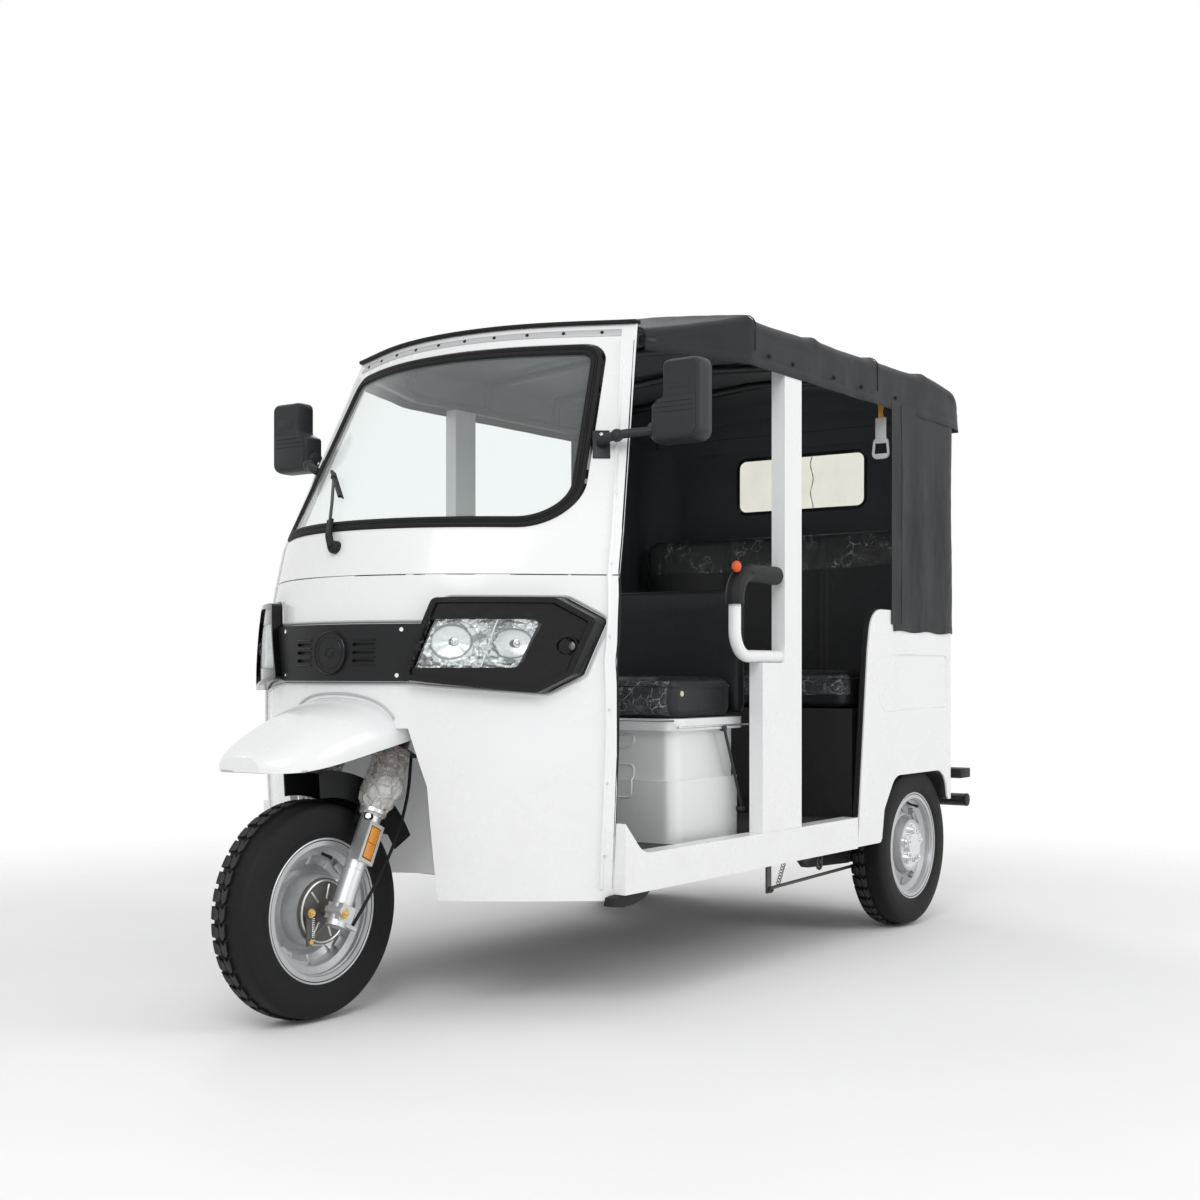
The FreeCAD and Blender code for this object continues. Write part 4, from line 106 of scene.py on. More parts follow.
class Look:
    """A material under a plain name; its shader's constants are given as they are."""

    def __init__(self, name, **constants):
        self.material = bpy.data.materials.new(name)
        self.material.use_nodes = True
        self.tree = self.material.node_tree
        self.shader = self.tree.nodes["Principled BSDF"]
        for socket, value in constants.items():
            self.shader.inputs[socket.replace("_", " ")].default_value = value
        self.places = None

    def add(self, kind, settings, sockets, out=0):
        node = self.tree.nodes.new("ShaderNode" + kind)
        for key, value in settings.items():
            setattr(node, key, value)
        for key, value in sockets.items():
            socket = node.inputs[key]
            if isinstance(value, Value):
                self.tree.links.new(value.socket, socket)
            else:
                socket.default_value = value
        return Value(self, node.outputs[out])

    @property
    def place(self):
        if self.places is None:
            self.places = self.add("TexCoord", {}, {}, "Object")
        return self.places

    def axis(self, letter):
        return self.add("SeparateXYZ", {}, {0: self.place}, letter.upper())

    def stretched(self, x, y, z):
        return self.add("Mapping", {}, {"Vector": self.place, "Scale": (x, y, z)})

    def noise(self, scale, detail=3.0, rough=0.5, at=None):
        return self.add("TexNoise", {}, {
            "Vector": at or self.place, "Scale": scale, "Detail": detail, "Roughness": rough})

    def cells(self, scale, feature="F1", at=None):
        return self.add("TexVoronoi", {"feature": feature}, {"Vector": at or self.place, "Scale": scale})

    def bands(self, scale, direction="X", warp=0.0, at=None):
        return self.add("TexWave", {"bands_direction": direction}, {
            "Vector": at or self.place, "Scale": scale, "Distortion": warp})

    def blend(self, share, one, two):
        return self.add("Mix", {"data_type": "RGBA"}, {0: share, 6: one, 7: two}, 2)

    def relief(self, height, strength, depth=0.001):
        bump = self.add("Bump", {}, {"Height": height, "Strength": strength, "Distance": depth})
        self.put("Normal", bump)

    def put(self, socket, value):
        self.tree.links.new(value.socket, self.shader.inputs[socket])

    def from_axle(self, centre):
        """Distance from a wheel's axle, which runs along X through the centre."""
        spot = self.add("Mapping", {}, {"Vector": self.place, "Location": tuple(-c for c in centre)})
        flat = self.add("VectorMath", {"operation": "MULTIPLY"}, {0: spot, 1: (0.0, 1.0, 1.0)})
        return self.add("VectorMath", {"operation": "LENGTH"}, {0: flat}, "Value")

    def see_through(self, share, tint):
        """Lets tinted light straight through, all but the share that meets the shader."""
        through = self.add("BsdfTransparent", {}, {"Color": tint})
        mixed = self.add("MixShader", {}, {0: share, 1: through, 2: Value(self, self.shader.outputs[0])})
        self.tree.links.new(mixed.socket, self.tree.nodes["Material Output"].inputs["Surface"])


def rgb(red, green, blue):
    return (red, green, blue, 1.0)


def toned(colour, gain, lift=0.0):
    """A paler or darker form of a colour."""
    return tuple(c * gain + lift for c in colour[:3]) + (1.0,)


def gloss_paint(name, colour, dust, rough=0.22, metal=0.0, low=0.30, high=0.62):
    """Sprayed paint: a little orange peel, soft haze, and road dust low down."""
    look = Look(name, Coat_Weight=0.25, Coat_Roughness=0.06, Metallic=metal, Specular_IOR_Level=0.4)
    haze = look.noise(3.2, 5.0, 0.6)
    fine = look.noise(420.0, 2.0)
    height = look.axis("z")
    grime = (1.0 - height.between(low, high)) * look.noise(9.0, 6.0, 0.7).between(0.42, 0.78)
    shade = toned(colour, 0.97)
    look.put("Base Color", look.blend(grime * 0.3, look.blend(haze.between(0.3, 0.75), colour, shade), dust))
    look.put("Roughness", rough + haze * 0.1 + grime * 0.35)
    look.relief(fine + haze * 6.0, 0.06, 0.0006)
    return look.material


def moulded_plastic(name, colour, rough=0.55, grain=900.0, depth=0.25):
    """Grained moulding with lighter rubbed places."""
    look = Look(name, Specular_IOR_Level=0.22)
    pebbles = look.cells(grain)
    worn = look.noise(14.0, 5.0, 0.65).between(0.55, 0.85)
    pale = tuple(min(1.0, c) for c in toned(colour, 1.6, 0.006))
    look.put("Base Color", look.blend(worn * 0.45, colour, pale))
    look.put("Roughness", rough + worn * 0.12 - pebbles * 0.1)
    look.relief(pebbles + look.noise(60.0, 3.0) * 2.0, depth, 0.0005)
    return look.material


def glossy_moulding(name, colour):
    look = Look(name, Coat_Weight=0.12, Coat_Roughness=0.03, Specular_IOR_Level=0.22)
    smear = look.noise(22.0, 6.0, 0.7, look.stretched(1.0, 1.0, 3.0))
    pale = toned(colour, 1.8, 0.005)
    look.put("Base Color", look.blend(smear.between(0.5, 0.9) * 0.5, colour, pale))
    look.put("Roughness", 0.12 + smear.between(0.45, 0.8) * 0.2)
    look.relief(look.noise(160.0, 2.0), 0.03, 0.0004)
    return look.material


def rubber(name, colour, rough=0.68):
    look = Look(name, Specular_IOR_Level=0.22)
    bloom = look.noise(18.0, 6.0, 0.7)
    fine = look.noise(700.0, 2.0)
    pale = toned(colour, 1.8, 0.008)
    look.put("Base Color", look.blend(bloom.between(0.45, 0.85) * 0.5, colour, pale))
    look.put("Roughness", rough + bloom * 0.14)
    look.relief(fine + bloom * 3.0, 0.2, 0.0005)
    return look.material


def bare_metal(name, colour, rough=0.3, metal=1.0, brushed=0.0):
    """Bright metal: brushed or cast, duller where dirt sits."""
    look = Look(name, Metallic=metal)
    stain = look.noise(26.0, 6.0, 0.7).between(0.5, 0.85)
    grain = look.noise(240.0, 4.0, 0.6, look.stretched(1.0, 1.0, 1.0 + brushed * 30.0))
    dark = toned(colour, 0.55)
    look.put("Base Color", look.blend(stain * 0.4, colour, dark))
    look.put("Roughness", rough + stain * 0.2 + grain * 0.12)
    look.relief(grain + stain, 0.12, 0.0004)
    return look.material


def coated_cloth(name, colour, glint=0.5):
    """Coated canopy cloth: a fine weave under a leathery skin, with soft creases."""
    look = Look(name, Sheen_Weight=0.05, Specular_IOR_Level=0.2)
    warp = look.bands(520.0, "X", 0.6)
    weft = look.bands(520.0, "Z", 0.6)
    across = look.bands(520.0, "Y", 0.6)
    skin = look.cells(330.0)
    crease = look.noise(7.0, 6.0, 0.62)
    chalk = look.noise(3.0, 5.0, 0.6).between(0.5, 0.9)
    pale = toned(colour, 1.5, 0.015)
    look.put("Base Color", look.blend(chalk * 0.55, colour, pale))
    look.put("Roughness", glint + chalk * 0.16 + skin * 0.1)
    look.relief((warp + weft + across) * 0.35 + skin * 0.6 + crease * 10.0, 0.3, 0.0007)
    return look.material


def vinyl(name, colour):
    """Seat vinyl: leather grain, soft wrinkles and a low sheen."""
    look = Look(name, Sheen_Weight=0.04, Coat_Weight=0.08, Specular_IOR_Level=0.25)
    grain = look.cells(420.0, "SMOOTH_F1")
    wrinkle = look.noise(11.0, 6.0, 0.6)
    pale = toned(colour, 1.7, 0.012)
    look.put("Base Color", look.blend(wrinkle.between(0.5, 0.85) * 0.5, colour, pale))
    look.put("Roughness", 0.36 + wrinkle * 0.16 + grain * 0.1)
    look.relief(grain + wrinkle * 8.0, 0.3, 0.0007)
    return look.material


def clear_sheet(name, tint, share, rough, creases=0.0, scale=16.0, shine=0.6, pane=False):
    """Clear glass or film, whose reflection creases break up. A pane reflects alike from both faces."""
    look = Look(name, Roughness=rough, Base_Color=(0.9, 0.93, 0.93, 1.0), Specular_IOR_Level=0.7)
    if pane:
        edge = look.add("LayerWeight", {}, {"Blend": 0.5}, "Facing") ** 5.0
    else:
        edge = look.add("Fresnel", {}, {"IOR": 1.45})
    crinkle = look.noise(scale, 6.0, 0.7)
    streak = look.noise(3.0, 3.0, 0.5, look.stretched(1.0, 1.0, 0.25)).between(0.56, 0.72)
    # Where creases are asked for, they get a share of the pale opaque shader: painted highlights along them.
    facing = edge * shine + share + crinkle.between(0.55, 0.75) * creases + streak * 0.02
    look.see_through(facing, tint)
    if creases:
        look.relief(crinkle + look.cells(scale * 2.2) * 0.8, 0.9, 0.006)
    else:
        look.relief(look.noise(1.6, 2.0), 0.05, 0.004)
    return look.material


def lamp_plastic(name, colour, dots):
    """Coloured lens with moulded prisms inside it."""
    look = Look(name, Coat_Weight=0.7, Coat_Roughness=0.04)
    prism = look.cells(dots, "DISTANCE_TO_EDGE")
    deep = toned(colour, 0.45)
    look.put("Base Color", look.blend(prism.between(0.0, 0.12), deep, colour))
    look.put("Roughness", 0.16 + look.noise(40.0).between(0.4, 0.8) * 0.1)
    look.relief(prism, 0.35, 0.001)
    return look.material


def rubber_mat(name, colour):
    look = Look(name)
    ribs = look.bands(28.0, "X")
    dirt = look.noise(5.0, 6.0, 0.7).between(0.45, 0.8)
    look.put("Base Color", look.blend(dirt * 0.4, colour, rgb(0.13, 0.125, 0.12)))
    look.put("Roughness", 0.62 + dirt * 0.2)
    look.relief(ribs, 0.5, 0.0015)
    return look.material


FINISHES = {
    "white_paint": gloss_paint("white_paint", rgb(0.87, 0.875, 0.88), rgb(0.74, 0.72, 0.69)),
    "black_plastic": moulded_plastic("black_plastic", rgb(0.012, 0.0125, 0.0135)),
    "gloss_black": glossy_moulding("gloss_black", rgb(0.0055, 0.0055, 0.006)),
    "screen_glass": clear_sheet("screen_glass", rgb(0.94, 0.965, 0.96), 0.075, 0.02, shine=0.5, pane=True),
    "seal_rubber": rubber("seal_rubber", rgb(0.012, 0.012, 0.013)),
    "canopy_fabric": coated_cloth("canopy_fabric", rgb(0.045, 0.048, 0.051)),
    "seat_vinyl": vinyl("seat_vinyl", rgb(0.014, 0.014, 0.015)),
    "silver_box": gloss_paint("silver_box", rgb(0.80, 0.81, 0.81), rgb(0.62, 0.61, 0.59), 0.34, 0.30),
    "dark_frame": gloss_paint("dark_frame", rgb(0.018, 0.018, 0.02), rgb(0.12, 0.11, 0.10), 0.42),
    "silver_rim": gloss_paint("silver_rim", rgb(0.58, 0.59, 0.60), rgb(0.33, 0.31, 0.29), 0.3, 0.55, 0.0,
                              0.2),
    "tyre_rubber": rubber("tyre_rubber", rgb(0.012, 0.012, 0.013), 0.74),
    "fork_alloy": bare_metal("fork_alloy", rgb(0.66, 0.67, 0.68), 0.3, 0.85),
    "cast_metal": bare_metal("cast_metal", rgb(0.22, 0.22, 0.225), 0.5, 0.8),
    "floor_mat": rubber_mat("floor_mat", rgb(0.03, 0.03, 0.032)),
    "brake_steel": bare_metal("brake_steel", rgb(0.13, 0.125, 0.115), 0.45, 0.5, 1.0),
    "amber_lens": lamp_plastic("amber_lens", rgb(0.83, 0.30, 0.02), 240.0),
    "red_lens": lamp_plastic("red_lens", rgb(0.50, 0.015, 0.012), 180.0),
    "strap": coated_cloth("strap", rgb(0.86, 0.43, 0.09), 0.6),
    "window_film": clear_sheet("window_film", rgb(0.93, 0.92, 0.88), 0.10, 0.2, 0.05, 9.0),
    "spring_steel": gloss_paint("spring_steel", rgb(0.30, 0.07, 0.055), rgb(0.2, 0.15, 0.12), 0.38),
    "lamp_glass": clear_sheet("lamp_glass", rgb(0.97, 0.98, 0.98), 0.03, 0.03),
    "chrome": bare_metal("chrome", rgb(0.82, 0.83, 0.84), 0.07, 1.0),
    "brass": bare_metal("brass", rgb(0.72, 0.52, 0.22), 0.3, 1.0),
    "pale_trim": gloss_paint("pale_trim", rgb(0.50, 0.51, 0.52), rgb(0.4, 0.39, 0.37), 0.35),
    "grip_plastic": moulded_plastic("grip_plastic", rgb(0.74, 0.75, 0.75), 0.42, 500.0, 0.12),
    "cream_plastic": moulded_plastic("cream_plastic", rgb(0.68, 0.62, 0.48), 0.4, 400.0, 0.1),
    "bright_orange": moulded_plastic("bright_orange", rgb(0.75, 0.12, 0.03), 0.35, 400.0, 0.1),
    "mirror_glass": bare_metal("mirror_glass", rgb(0.85, 0.86, 0.87), 0.03, 1.0),
}


def dressed(piece, finish):
    """Gives a piece a finish as its only material, named or as it is."""
    piece.data.materials.clear()
    piece.data.materials.append(FINISHES[finish] if isinstance(finish, str) else finish)


for subpart in frame["record"]["subparts"]:
    dressed(frame["nodes"][subpart["node"]], subpart["material_slot"])


# Working with Blender's own tools

SEAM_GAP = 0.00001
ORIGIN = (0.0, 0.0, 0.0)
LEFT, RIGHT = (1.0, 0.0, 0.0), (-1.0, 0.0, 0.0)
AHEAD, BACK = (0.0, -1.0, 0.0), (0.0, 1.0, 0.0)
UP, DOWN = (0.0, 0.0, 1.0), (0.0, 0.0, -1.0)


def alone(piece):
    """Out of edit mode, with only this piece selected and active."""
    if bpy.context.mode != "OBJECT":
        bpy.ops.object.mode_set(mode="OBJECT")
    bpy.ops.object.select_all(action="DESELECT")
    if piece is not None:
        piece.select_set(True)
        bpy.context.view_layer.objects.active = piece


@contextmanager
def editing(piece):
    """Runs what follows in the piece's edit mode."""
    alone(piece)
    bpy.ops.object.mode_set(mode="EDIT")
    yield
    bpy.ops.object.mode_set(mode="OBJECT")


def pick(piece, kind, test):
    """In edit mode, selects the edges or faces that pass the test of their middle and their way."""
    bpy.ops.mesh.select_mode(type=kind)
    bpy.ops.mesh.select_all(action="DESELECT")
    mesh = bmesh.from_edit_mesh(piece.data)
    for part in mesh.edges if kind == "EDGE" else mesh.faces:
        if kind == "EDGE":
            middle, way = (part.verts[0].co + part.verts[1].co) / 2, part.verts[1].co - part.verts[0].co
        else:
            middle, way = part.calc_center_median(), part.normal
        if test(middle, way):
            part.select_set(True)
    bmesh.update_edit_mesh(piece.data)


def start(name, kind, **settings):
    """A new piece from one of Blender's basic forms, its place and scale taken into the mesh."""
    alone(None)
    getattr(bpy.ops.mesh, "primitive_" + kind + "_add")(**settings)
    piece = bpy.context.object
    piece.name = piece.data.name = name
    bpy.ops.object.transform_apply(location=True, rotation=True, scale=True)
    return piece


def modify(piece, kind, **settings):
    """Adds a modifier with these settings and applies it."""
    alone(piece)
    bpy.ops.object.modifier_add(type=kind)
    modifier = piece.modifiers[-1]
    for key, value in settings.items():
        setattr(modifier, key, value)
    bpy.ops.object.modifier_apply(modifier=modifier.name)
    return piece


def outward(piece):
    """Turns the faces of a closed piece outwards."""
    with editing(piece):
        bpy.ops.mesh.select_all(action="SELECT")
        bpy.ops.mesh.normals_make_consistent(inside=False)
    return piece


def closed_up(piece):
    """Merges the seam of a wrapped net and turns its faces outwards."""
    with editing(piece):
        bpy.ops.mesh.select_all(action="SELECT")
        bpy.ops.mesh.remove_doubles(threshold=SEAM_GAP)
    return outward(piece)


def capped(piece):
    """Fills the open ends of a piece."""
    with editing(piece):
        bpy.ops.mesh.select_mode(type="EDGE")
        bpy.ops.mesh.select_all(action="DESELECT")
        bpy.ops.mesh.select_non_manifold()
        bpy.ops.mesh.edge_face_add()
    return outward(piece)


def net(name, across, along, place):
    """A sheet of across by along cells, each point moved to its place; both shares run from 0 to 1."""
    piece = start(name, "grid", x_subdivisions=across, y_subdivisions=along, size=2.0)
    for vertex in piece.data.vertices:
        vertex.co = place((vertex.co.x + 1.0) / 2.0, (vertex.co.y + 1.0) / 2.0)
    return piece


def thick(piece, depth, side=-1.0):
    """Gives a sheet its thickness: below it (-1), about it (0) or above it (1)."""
    return modify(piece, "SOLIDIFY", thickness=depth, offset=side, use_even_offset=True)


def eased(piece, width, steps=2):
    """Rounds the sharp edges."""
    return modify(piece, "BEVEL", width=width, segments=steps, limit_method="ANGLE",
                  angle_limit=math.radians(32.0), use_clamp_overlap=True)


def turned(name, profile, centre, steps=64, axis="X"):
    """A profile of (along the axle, radius) points, spun about an axle along X or Z through the centre."""
    count = len(profile) - 1

    def place(u, v):
        at, radius = profile[round(u * count)]
        turn = v * math.tau
        a, b = radius * math.cos(turn), radius * math.sin(turn)
        return Vector(centre) + Vector((at, a, b) if axis == "X" else (a, b, at))

    return closed_up(net(name, count, steps, place))


def turned_at(name, profile, steps, matrix):
    """A turned piece modelled about Z and moved by a matrix."""
    piece = turned(name, profile, ORIGIN, steps, "Z")
    piece.data.transform(matrix)
    return piece


def aimed(at, way):
    """The matrix that carries Z at the origin to a way at a place."""
    return Matrix.Translation(Vector(at)) @ Vector(way).to_track_quat("Z", "Y").to_matrix().to_4x4()


def tube(name, points, radius, sides=3, smooth=6, ring=False):
    """A round tube or cord along points."""
    alone(None)
    bpy.ops.curve.primitive_bezier_curve_add()
    piece = bpy.context.object
    piece.name = piece.data.name = name
    curve = piece.data
    spline = curve.splines[0]
    spline.bezier_points.add(len(points) - 2)
    for knot, at in zip(spline.bezier_points, points):
        knot.co = at
        knot.handle_left_type = knot.handle_right_type = "AUTO"
    spline.use_cyclic_u = ring
    curve.bevel_depth = radius
    curve.bevel_resolution = sides
    curve.resolution_u = smooth
    curve.use_fill_caps = not ring
    alone(piece)
    bpy.ops.object.convert(target="MESH")
    return closed_up(bpy.context.object)


def rod(name, a, b, radius, sides=20, ease=0.0012):
    """A straight bar from a to b with eased ends."""
    a, b = Vector(a), Vector(b)
    turn = (b - a).to_track_quat("Z", "Y").to_euler()
    piece = start(name, "cylinder", vertices=sides, radius=radius, depth=(b - a).length,
                  location=(a + b) / 2.0, rotation=turn)
    return eased(piece, ease) if ease else piece


def slab(name, low, high, ease=0.003, steps=2):
    """A box between two corners with its edges eased."""
    low, high = Vector(low), Vector(high)
    piece = start(name, "cube", size=1.0, location=(low + high) / 2.0, scale=high - low)
    return eased(piece, ease, steps) if ease else piece


def block(name, at, low, high, ease=0.0, steps=2):
    """A slab between two corners given from a place."""
    return slab(name, at + Vector(low), at + Vector(high), ease, steps)


def extruded(name, outline, depth):
    """A flat face through the outline's points, drawn out by a depth."""
    piece = start(name, "circle", vertices=len(outline), radius=0.01, fill_type="NGON")
    for vertex, at in zip(piece.data.vertices, outline):
        vertex.co = at
    with editing(piece):
        bpy.ops.mesh.select_all(action="SELECT")
        bpy.ops.mesh.extrude_region_move(TRANSFORM_OT_translate={"value": depth})
    return outward(piece)


def sided(low, high, side):
    """The corners of a box on the left side (1), or of its mirror image on the right (-1)."""
    low, high = Vector(low), Vector(high)
    if side < 0:
        low.x, high.x = -high.x, -low.x
    return low, high


def again(piece, matrix):
    """A copy with its own mesh, moved by a matrix."""
    alone(piece)
    bpy.ops.object.duplicate()
    copy = bpy.context.object
    copy.data.transform(matrix)
    if matrix.determinant() < 0.0:
        copy.data.flip_normals()
    return copy


MIRRORED = Matrix.Scale(-1.0, 4, LEFT)


def across(piece):
    """The same piece on the other side of the vehicle."""
    return again(piece, MIRRORED)


def both(name, left):
    """A left piece and its mirror image as one piece."""
    return one(name, [left, across(left)])


def one(name, pieces):
    """Several meshes joined into one piece."""
    alone(pieces[0])
    for piece in pieces:
        piece.select_set(True)
    if len(pieces) > 1:
        bpy.ops.object.join()
    pieces[0].name = pieces[0].data.name = name
    return pieces[0]


def done(piece, finish, slot=None, body="body", smooth=35.0):
    """Gives a piece its finish, shading and body; the slot argument is not used."""
    alone(piece)
    bpy.ops.object.transform_apply(location=True, rotation=True, scale=True)
    dressed(piece, finish)
    bpy.ops.object.shade_smooth_by_angle(angle=math.radians(smooth))
    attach(piece, body)
    slot or finish
    return piece


def touch(nodes, origin, way):
    """Where a line from the origin first meets the named nodes, and which way the face looks."""
    best = None
    for name in nodes:
        hit, at, normal, _ = frame["nodes"][name].ray_cast(Vector(origin), Vector(way))
        if hit and (best is None or (at - Vector(origin)).length < (best[0] - Vector(origin)).length):
            best = (at, normal)
    return best


FRONT_SHELL = ("cab_frame", "front_panel", "windscreen")
AHEAD_OF_NOSE = -2.4


def front(nodes, x, z):
    """Where a line from ahead of the nose first meets the named nodes, and which way the face looks."""
    return touch(nodes, (x, AHEAD_OF_NOSE, z), BACK)


def screw_heads(name, spots, radius, height, sides=12, dished=True):
    """A screw head modelled once and copied to each spot of (place, outward way)."""
    head = start(name, "cylinder", vertices=sides, radius=radius, depth=height,
                 location=(0.0, 0.0, height / 2.0))
    with editing(head):
        pick(head, "FACE", lambda at, way: way.z > 0.9)
        bpy.ops.mesh.inset(thickness=radius * 0.3)
        if dished:
            bpy.ops.mesh.inset(thickness=radius * 0.22)
            bpy.ops.transform.translate(value=(0.0, 0.0, -height * 0.4))
        pick(head, "FACE", lambda at, way: way.z < -0.9)
        bpy.ops.mesh.delete(type="FACE")
    copies = [again(head, aimed(at, way)) for at, way in spots]
    bpy.data.objects.remove(head)
    return one(name, copies)


def rounded(corners, radii, steps=6):
    """A closed outline through corners, each rounded by its radius."""
    points = []
    count = len(corners)
    for i, (corner, radius) in enumerate(zip(corners, radii)):
        here = Vector(corner)
        before = (Vector(corners[i - 1]) - here).normalized()
        after = (Vector(corners[(i + 1) % count]) - here).normalized()
        half = before.angle(after) / 2.0
        reach = radius / math.tan(half)
        middle = here + (before + after).normalized() * (radius / math.sin(half))
        first, last = here + before * reach - middle, here + after * reach - middle
        sweep = first.angle(last)
        for k in range(steps + 1):
            share = k / steps
            way = (first * math.sin((1 - share) * sweep) + last * math.sin(share * sweep)) / math.sin(sweep)
            points.append(middle + way)
    return points


def evenly(points, count, ring=True):
    """The same outline walked in equal steps."""
    points = [Vector(p) for p in points]
    if ring:
        points = points + [points[0]]
    lengths = [(b - a).length for a, b in zip(points, points[1:])]
    total = sum(lengths)
    marks = count if ring else count - 1
    walked, found, i = 0.0, [], 0
    for k in range(count):
        target = total * k / marks
        while i < len(lengths) - 1 and walked + lengths[i] < target:
            walked += lengths[i]
            i += 1
        share = (target - walked) / lengths[i] if lengths[i] else 0.0
        found.append(points[i].lerp(points[i + 1], min(1.0, share)))
    return found


def flipped(section):
    """A strip's section with its two sides swapped."""
    return [(-a, b) for a, b in reversed(section)]


def beading(name, points, ways, section, ring=True):
    """A strip of constant section along points: ways give the outward normal at each point,
    and section is a closed list of (sideways, outwards) places."""
    count, sides = len(points), len(section)

    def place(u, v):
        i = round(v * count) % count if ring else round(v * (count - 1))
        k = round(u * sides) % sides
        ahead = points[(i + 1) % count] if ring else points[min(i + 1, count - 1)]
        behind = points[i - 1] if ring or i > 0 else points[0]
        run = (ahead - behind).normalized()
        out = ways[i].normalized()
        side = run.cross(out).normalized()
        return points[i] + side * section[k][0] + out * section[k][1]

    piece = closed_up(net(name, sides, count if ring else count - 1, place))
    return piece if ring else capped(piece)


def inset_ring(outline, off):
    """The outline moved inwards by an offset, point by point."""
    moved = []
    for i, at in enumerate(outline):
        run = (outline[(i + 1) % len(outline)] - outline[i - 1]).normalized()
        moved.append(at + Vector((-run.y, run.x)) * off)
    return moved


def spread(low, high, count):
    """Evenly spaced values from low to high, both among them."""
    return [low + (high - low) * k / (count - 1) for k in range(count)]


def circle(count, radius, depth=None):
    """Places round a circle, or an ellipse where the depth differs, as (a, b) pairs."""
    turns = [k * math.tau / count for k in range(count)]
    return [(radius * math.cos(turn), (depth or radius) * math.sin(turn)) for turn in turns]


def coil(turns, count, radius):
    """Places along a helix as (a, b, share of its length)."""
    found = []
    for k in range(count + 1):
        turn = k / count * turns * math.tau
        found.append((radius * math.cos(turn), radius * math.sin(turn), k / count))
    return found


def wave(x, y, z, scale):
    """Soft, repeatable unevenness between -1 and 1."""
    return noise.noise(Vector((x, y, z)) * scale)


# Wheels and tyres

AXLE_HEIGHT, FRONT_AXLE_Y, REAR_AXLE_Y, HALF_TRACK = 0.265, -1.2, 0.965, 0.548
WHEEL_PLACES = {
    "front_wheel": (0.0, FRONT_AXLE_Y, AXLE_HEIGHT),
    "rear_wheel_left": (HALF_TRACK, REAR_AXLE_Y, AXLE_HEIGHT),
    "rear_wheel_right": (-HALF_TRACK, REAR_AXLE_Y, AXLE_HEIGHT)}
TREAD_BLOCKS = 40
HALF_PITCH = 180.0 / TREAD_BLOCKS

# Half of the tyre's profile as (across, radius), from its bead to its crown.
# The tread starts at one of its points.
TREAD_START = 10
TYRE_SECTION = (
    (-0.0440, 0.1625), (-0.0478, 0.1660), (-0.0492, 0.1748), (-0.0500, 0.1766), (-0.0522, 0.1850),
    (-0.0540, 0.1880), (-0.0544, 0.1950), (-0.0556, 0.2060), (-0.0560, 0.2160), (-0.0556, 0.2260),
    (-0.0546, 0.2330), (-0.0538, 0.2350), (-0.0530, 0.2410), (-0.0500, 0.2490), (-0.0455, 0.2535),
    (-0.0380, 0.2560), (-0.0200, 0.2574), (0.0, 0.2578))


def carcass_radius(x):
    """The tyre's radius under its tread at a place across it."""
    side = abs(x)
    for (a, low), (b, high) in zip(TYRE_SECTION[TREAD_START:], TYRE_SECTION[TREAD_START + 1:]):
        if -a >= side >= -b:
            share = (side + a) / (a - b) if a != b else 0.0
            return low + (high - low) * share
    return TYRE_SECTION[TREAD_START][1]


def tread_row(name, centre, stations, lift):
    """One tread block bent over the carcass, then spun into a ring.
    Stations hold (across, first and last angle)."""
    count = len(stations) - 1

    def place(u, v):
        x, first, last = stations[round(v * count)]
        turn = math.radians(first + (last - first) * u)
        radius = carcass_radius(x) - 0.001
        return Vector(centre) + Vector((x, -radius * math.cos(turn), radius * math.sin(turn)))

    block = thick(net(name, 2, count, place), lift + 0.001, 1.0)
    with editing(block):
        bpy.ops.mesh.select_all(action="SELECT")
        bpy.ops.mesh.normals_make_consistent(inside=False)
        bpy.ops.mesh.spin(steps=TREAD_BLOCKS - 1, dupli=True, center=centre, axis=LEFT,
                          angle=math.tau * (TREAD_BLOCKS - 1) / TREAD_BLOCKS)
    return block


def tyre(body):
    """Carcass with side wall rings, slanted shoulder blocks and a zigzag middle rib."""
    centre = WHEEL_PLACES[body]
    section = list(TYRE_SECTION) + [(-x, r) for x, r in reversed(TYRE_SECTION[:-1])]
    inner = [(0.040, 0.1612), (0.0, 0.1612), (-0.040, 0.1612)]
    parts = [turned(body + "_carcass", section + inner + [section[0]], centre, 96)]
    shoulder = [(0.0215, -1.0, 3.3), (0.0300, -2.2, 3.6), (0.0400, -3.0, 3.7), (0.0465, -3.2, 3.5),
                (0.0515, -2.7, 3.1), (0.0542, -1.6, 2.4)]
    middle = [(0.0015, -4.0, 2.4), (0.0100, -1.6, 4.6), (0.0190, -3.6, 2.2)]
    for kind, stations, lift in (("_shoulder", shoulder, 0.0068), ("_middle", middle, 0.0064)):
        others = [(-x, HALF_PITCH - last, HALF_PITCH - first) for x, first, last in stations]
        parts.append(tread_row(body + kind + "_left", centre, stations, lift))
        parts.append(tread_row(body + kind + "_right", centre, others, lift))
    piece = one(body + "_tyre_tread", parts)
    done(piece, TYRE_LOOKS[body], "tyre_rubber", body, 30.0)
    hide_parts(body + "_tyre")


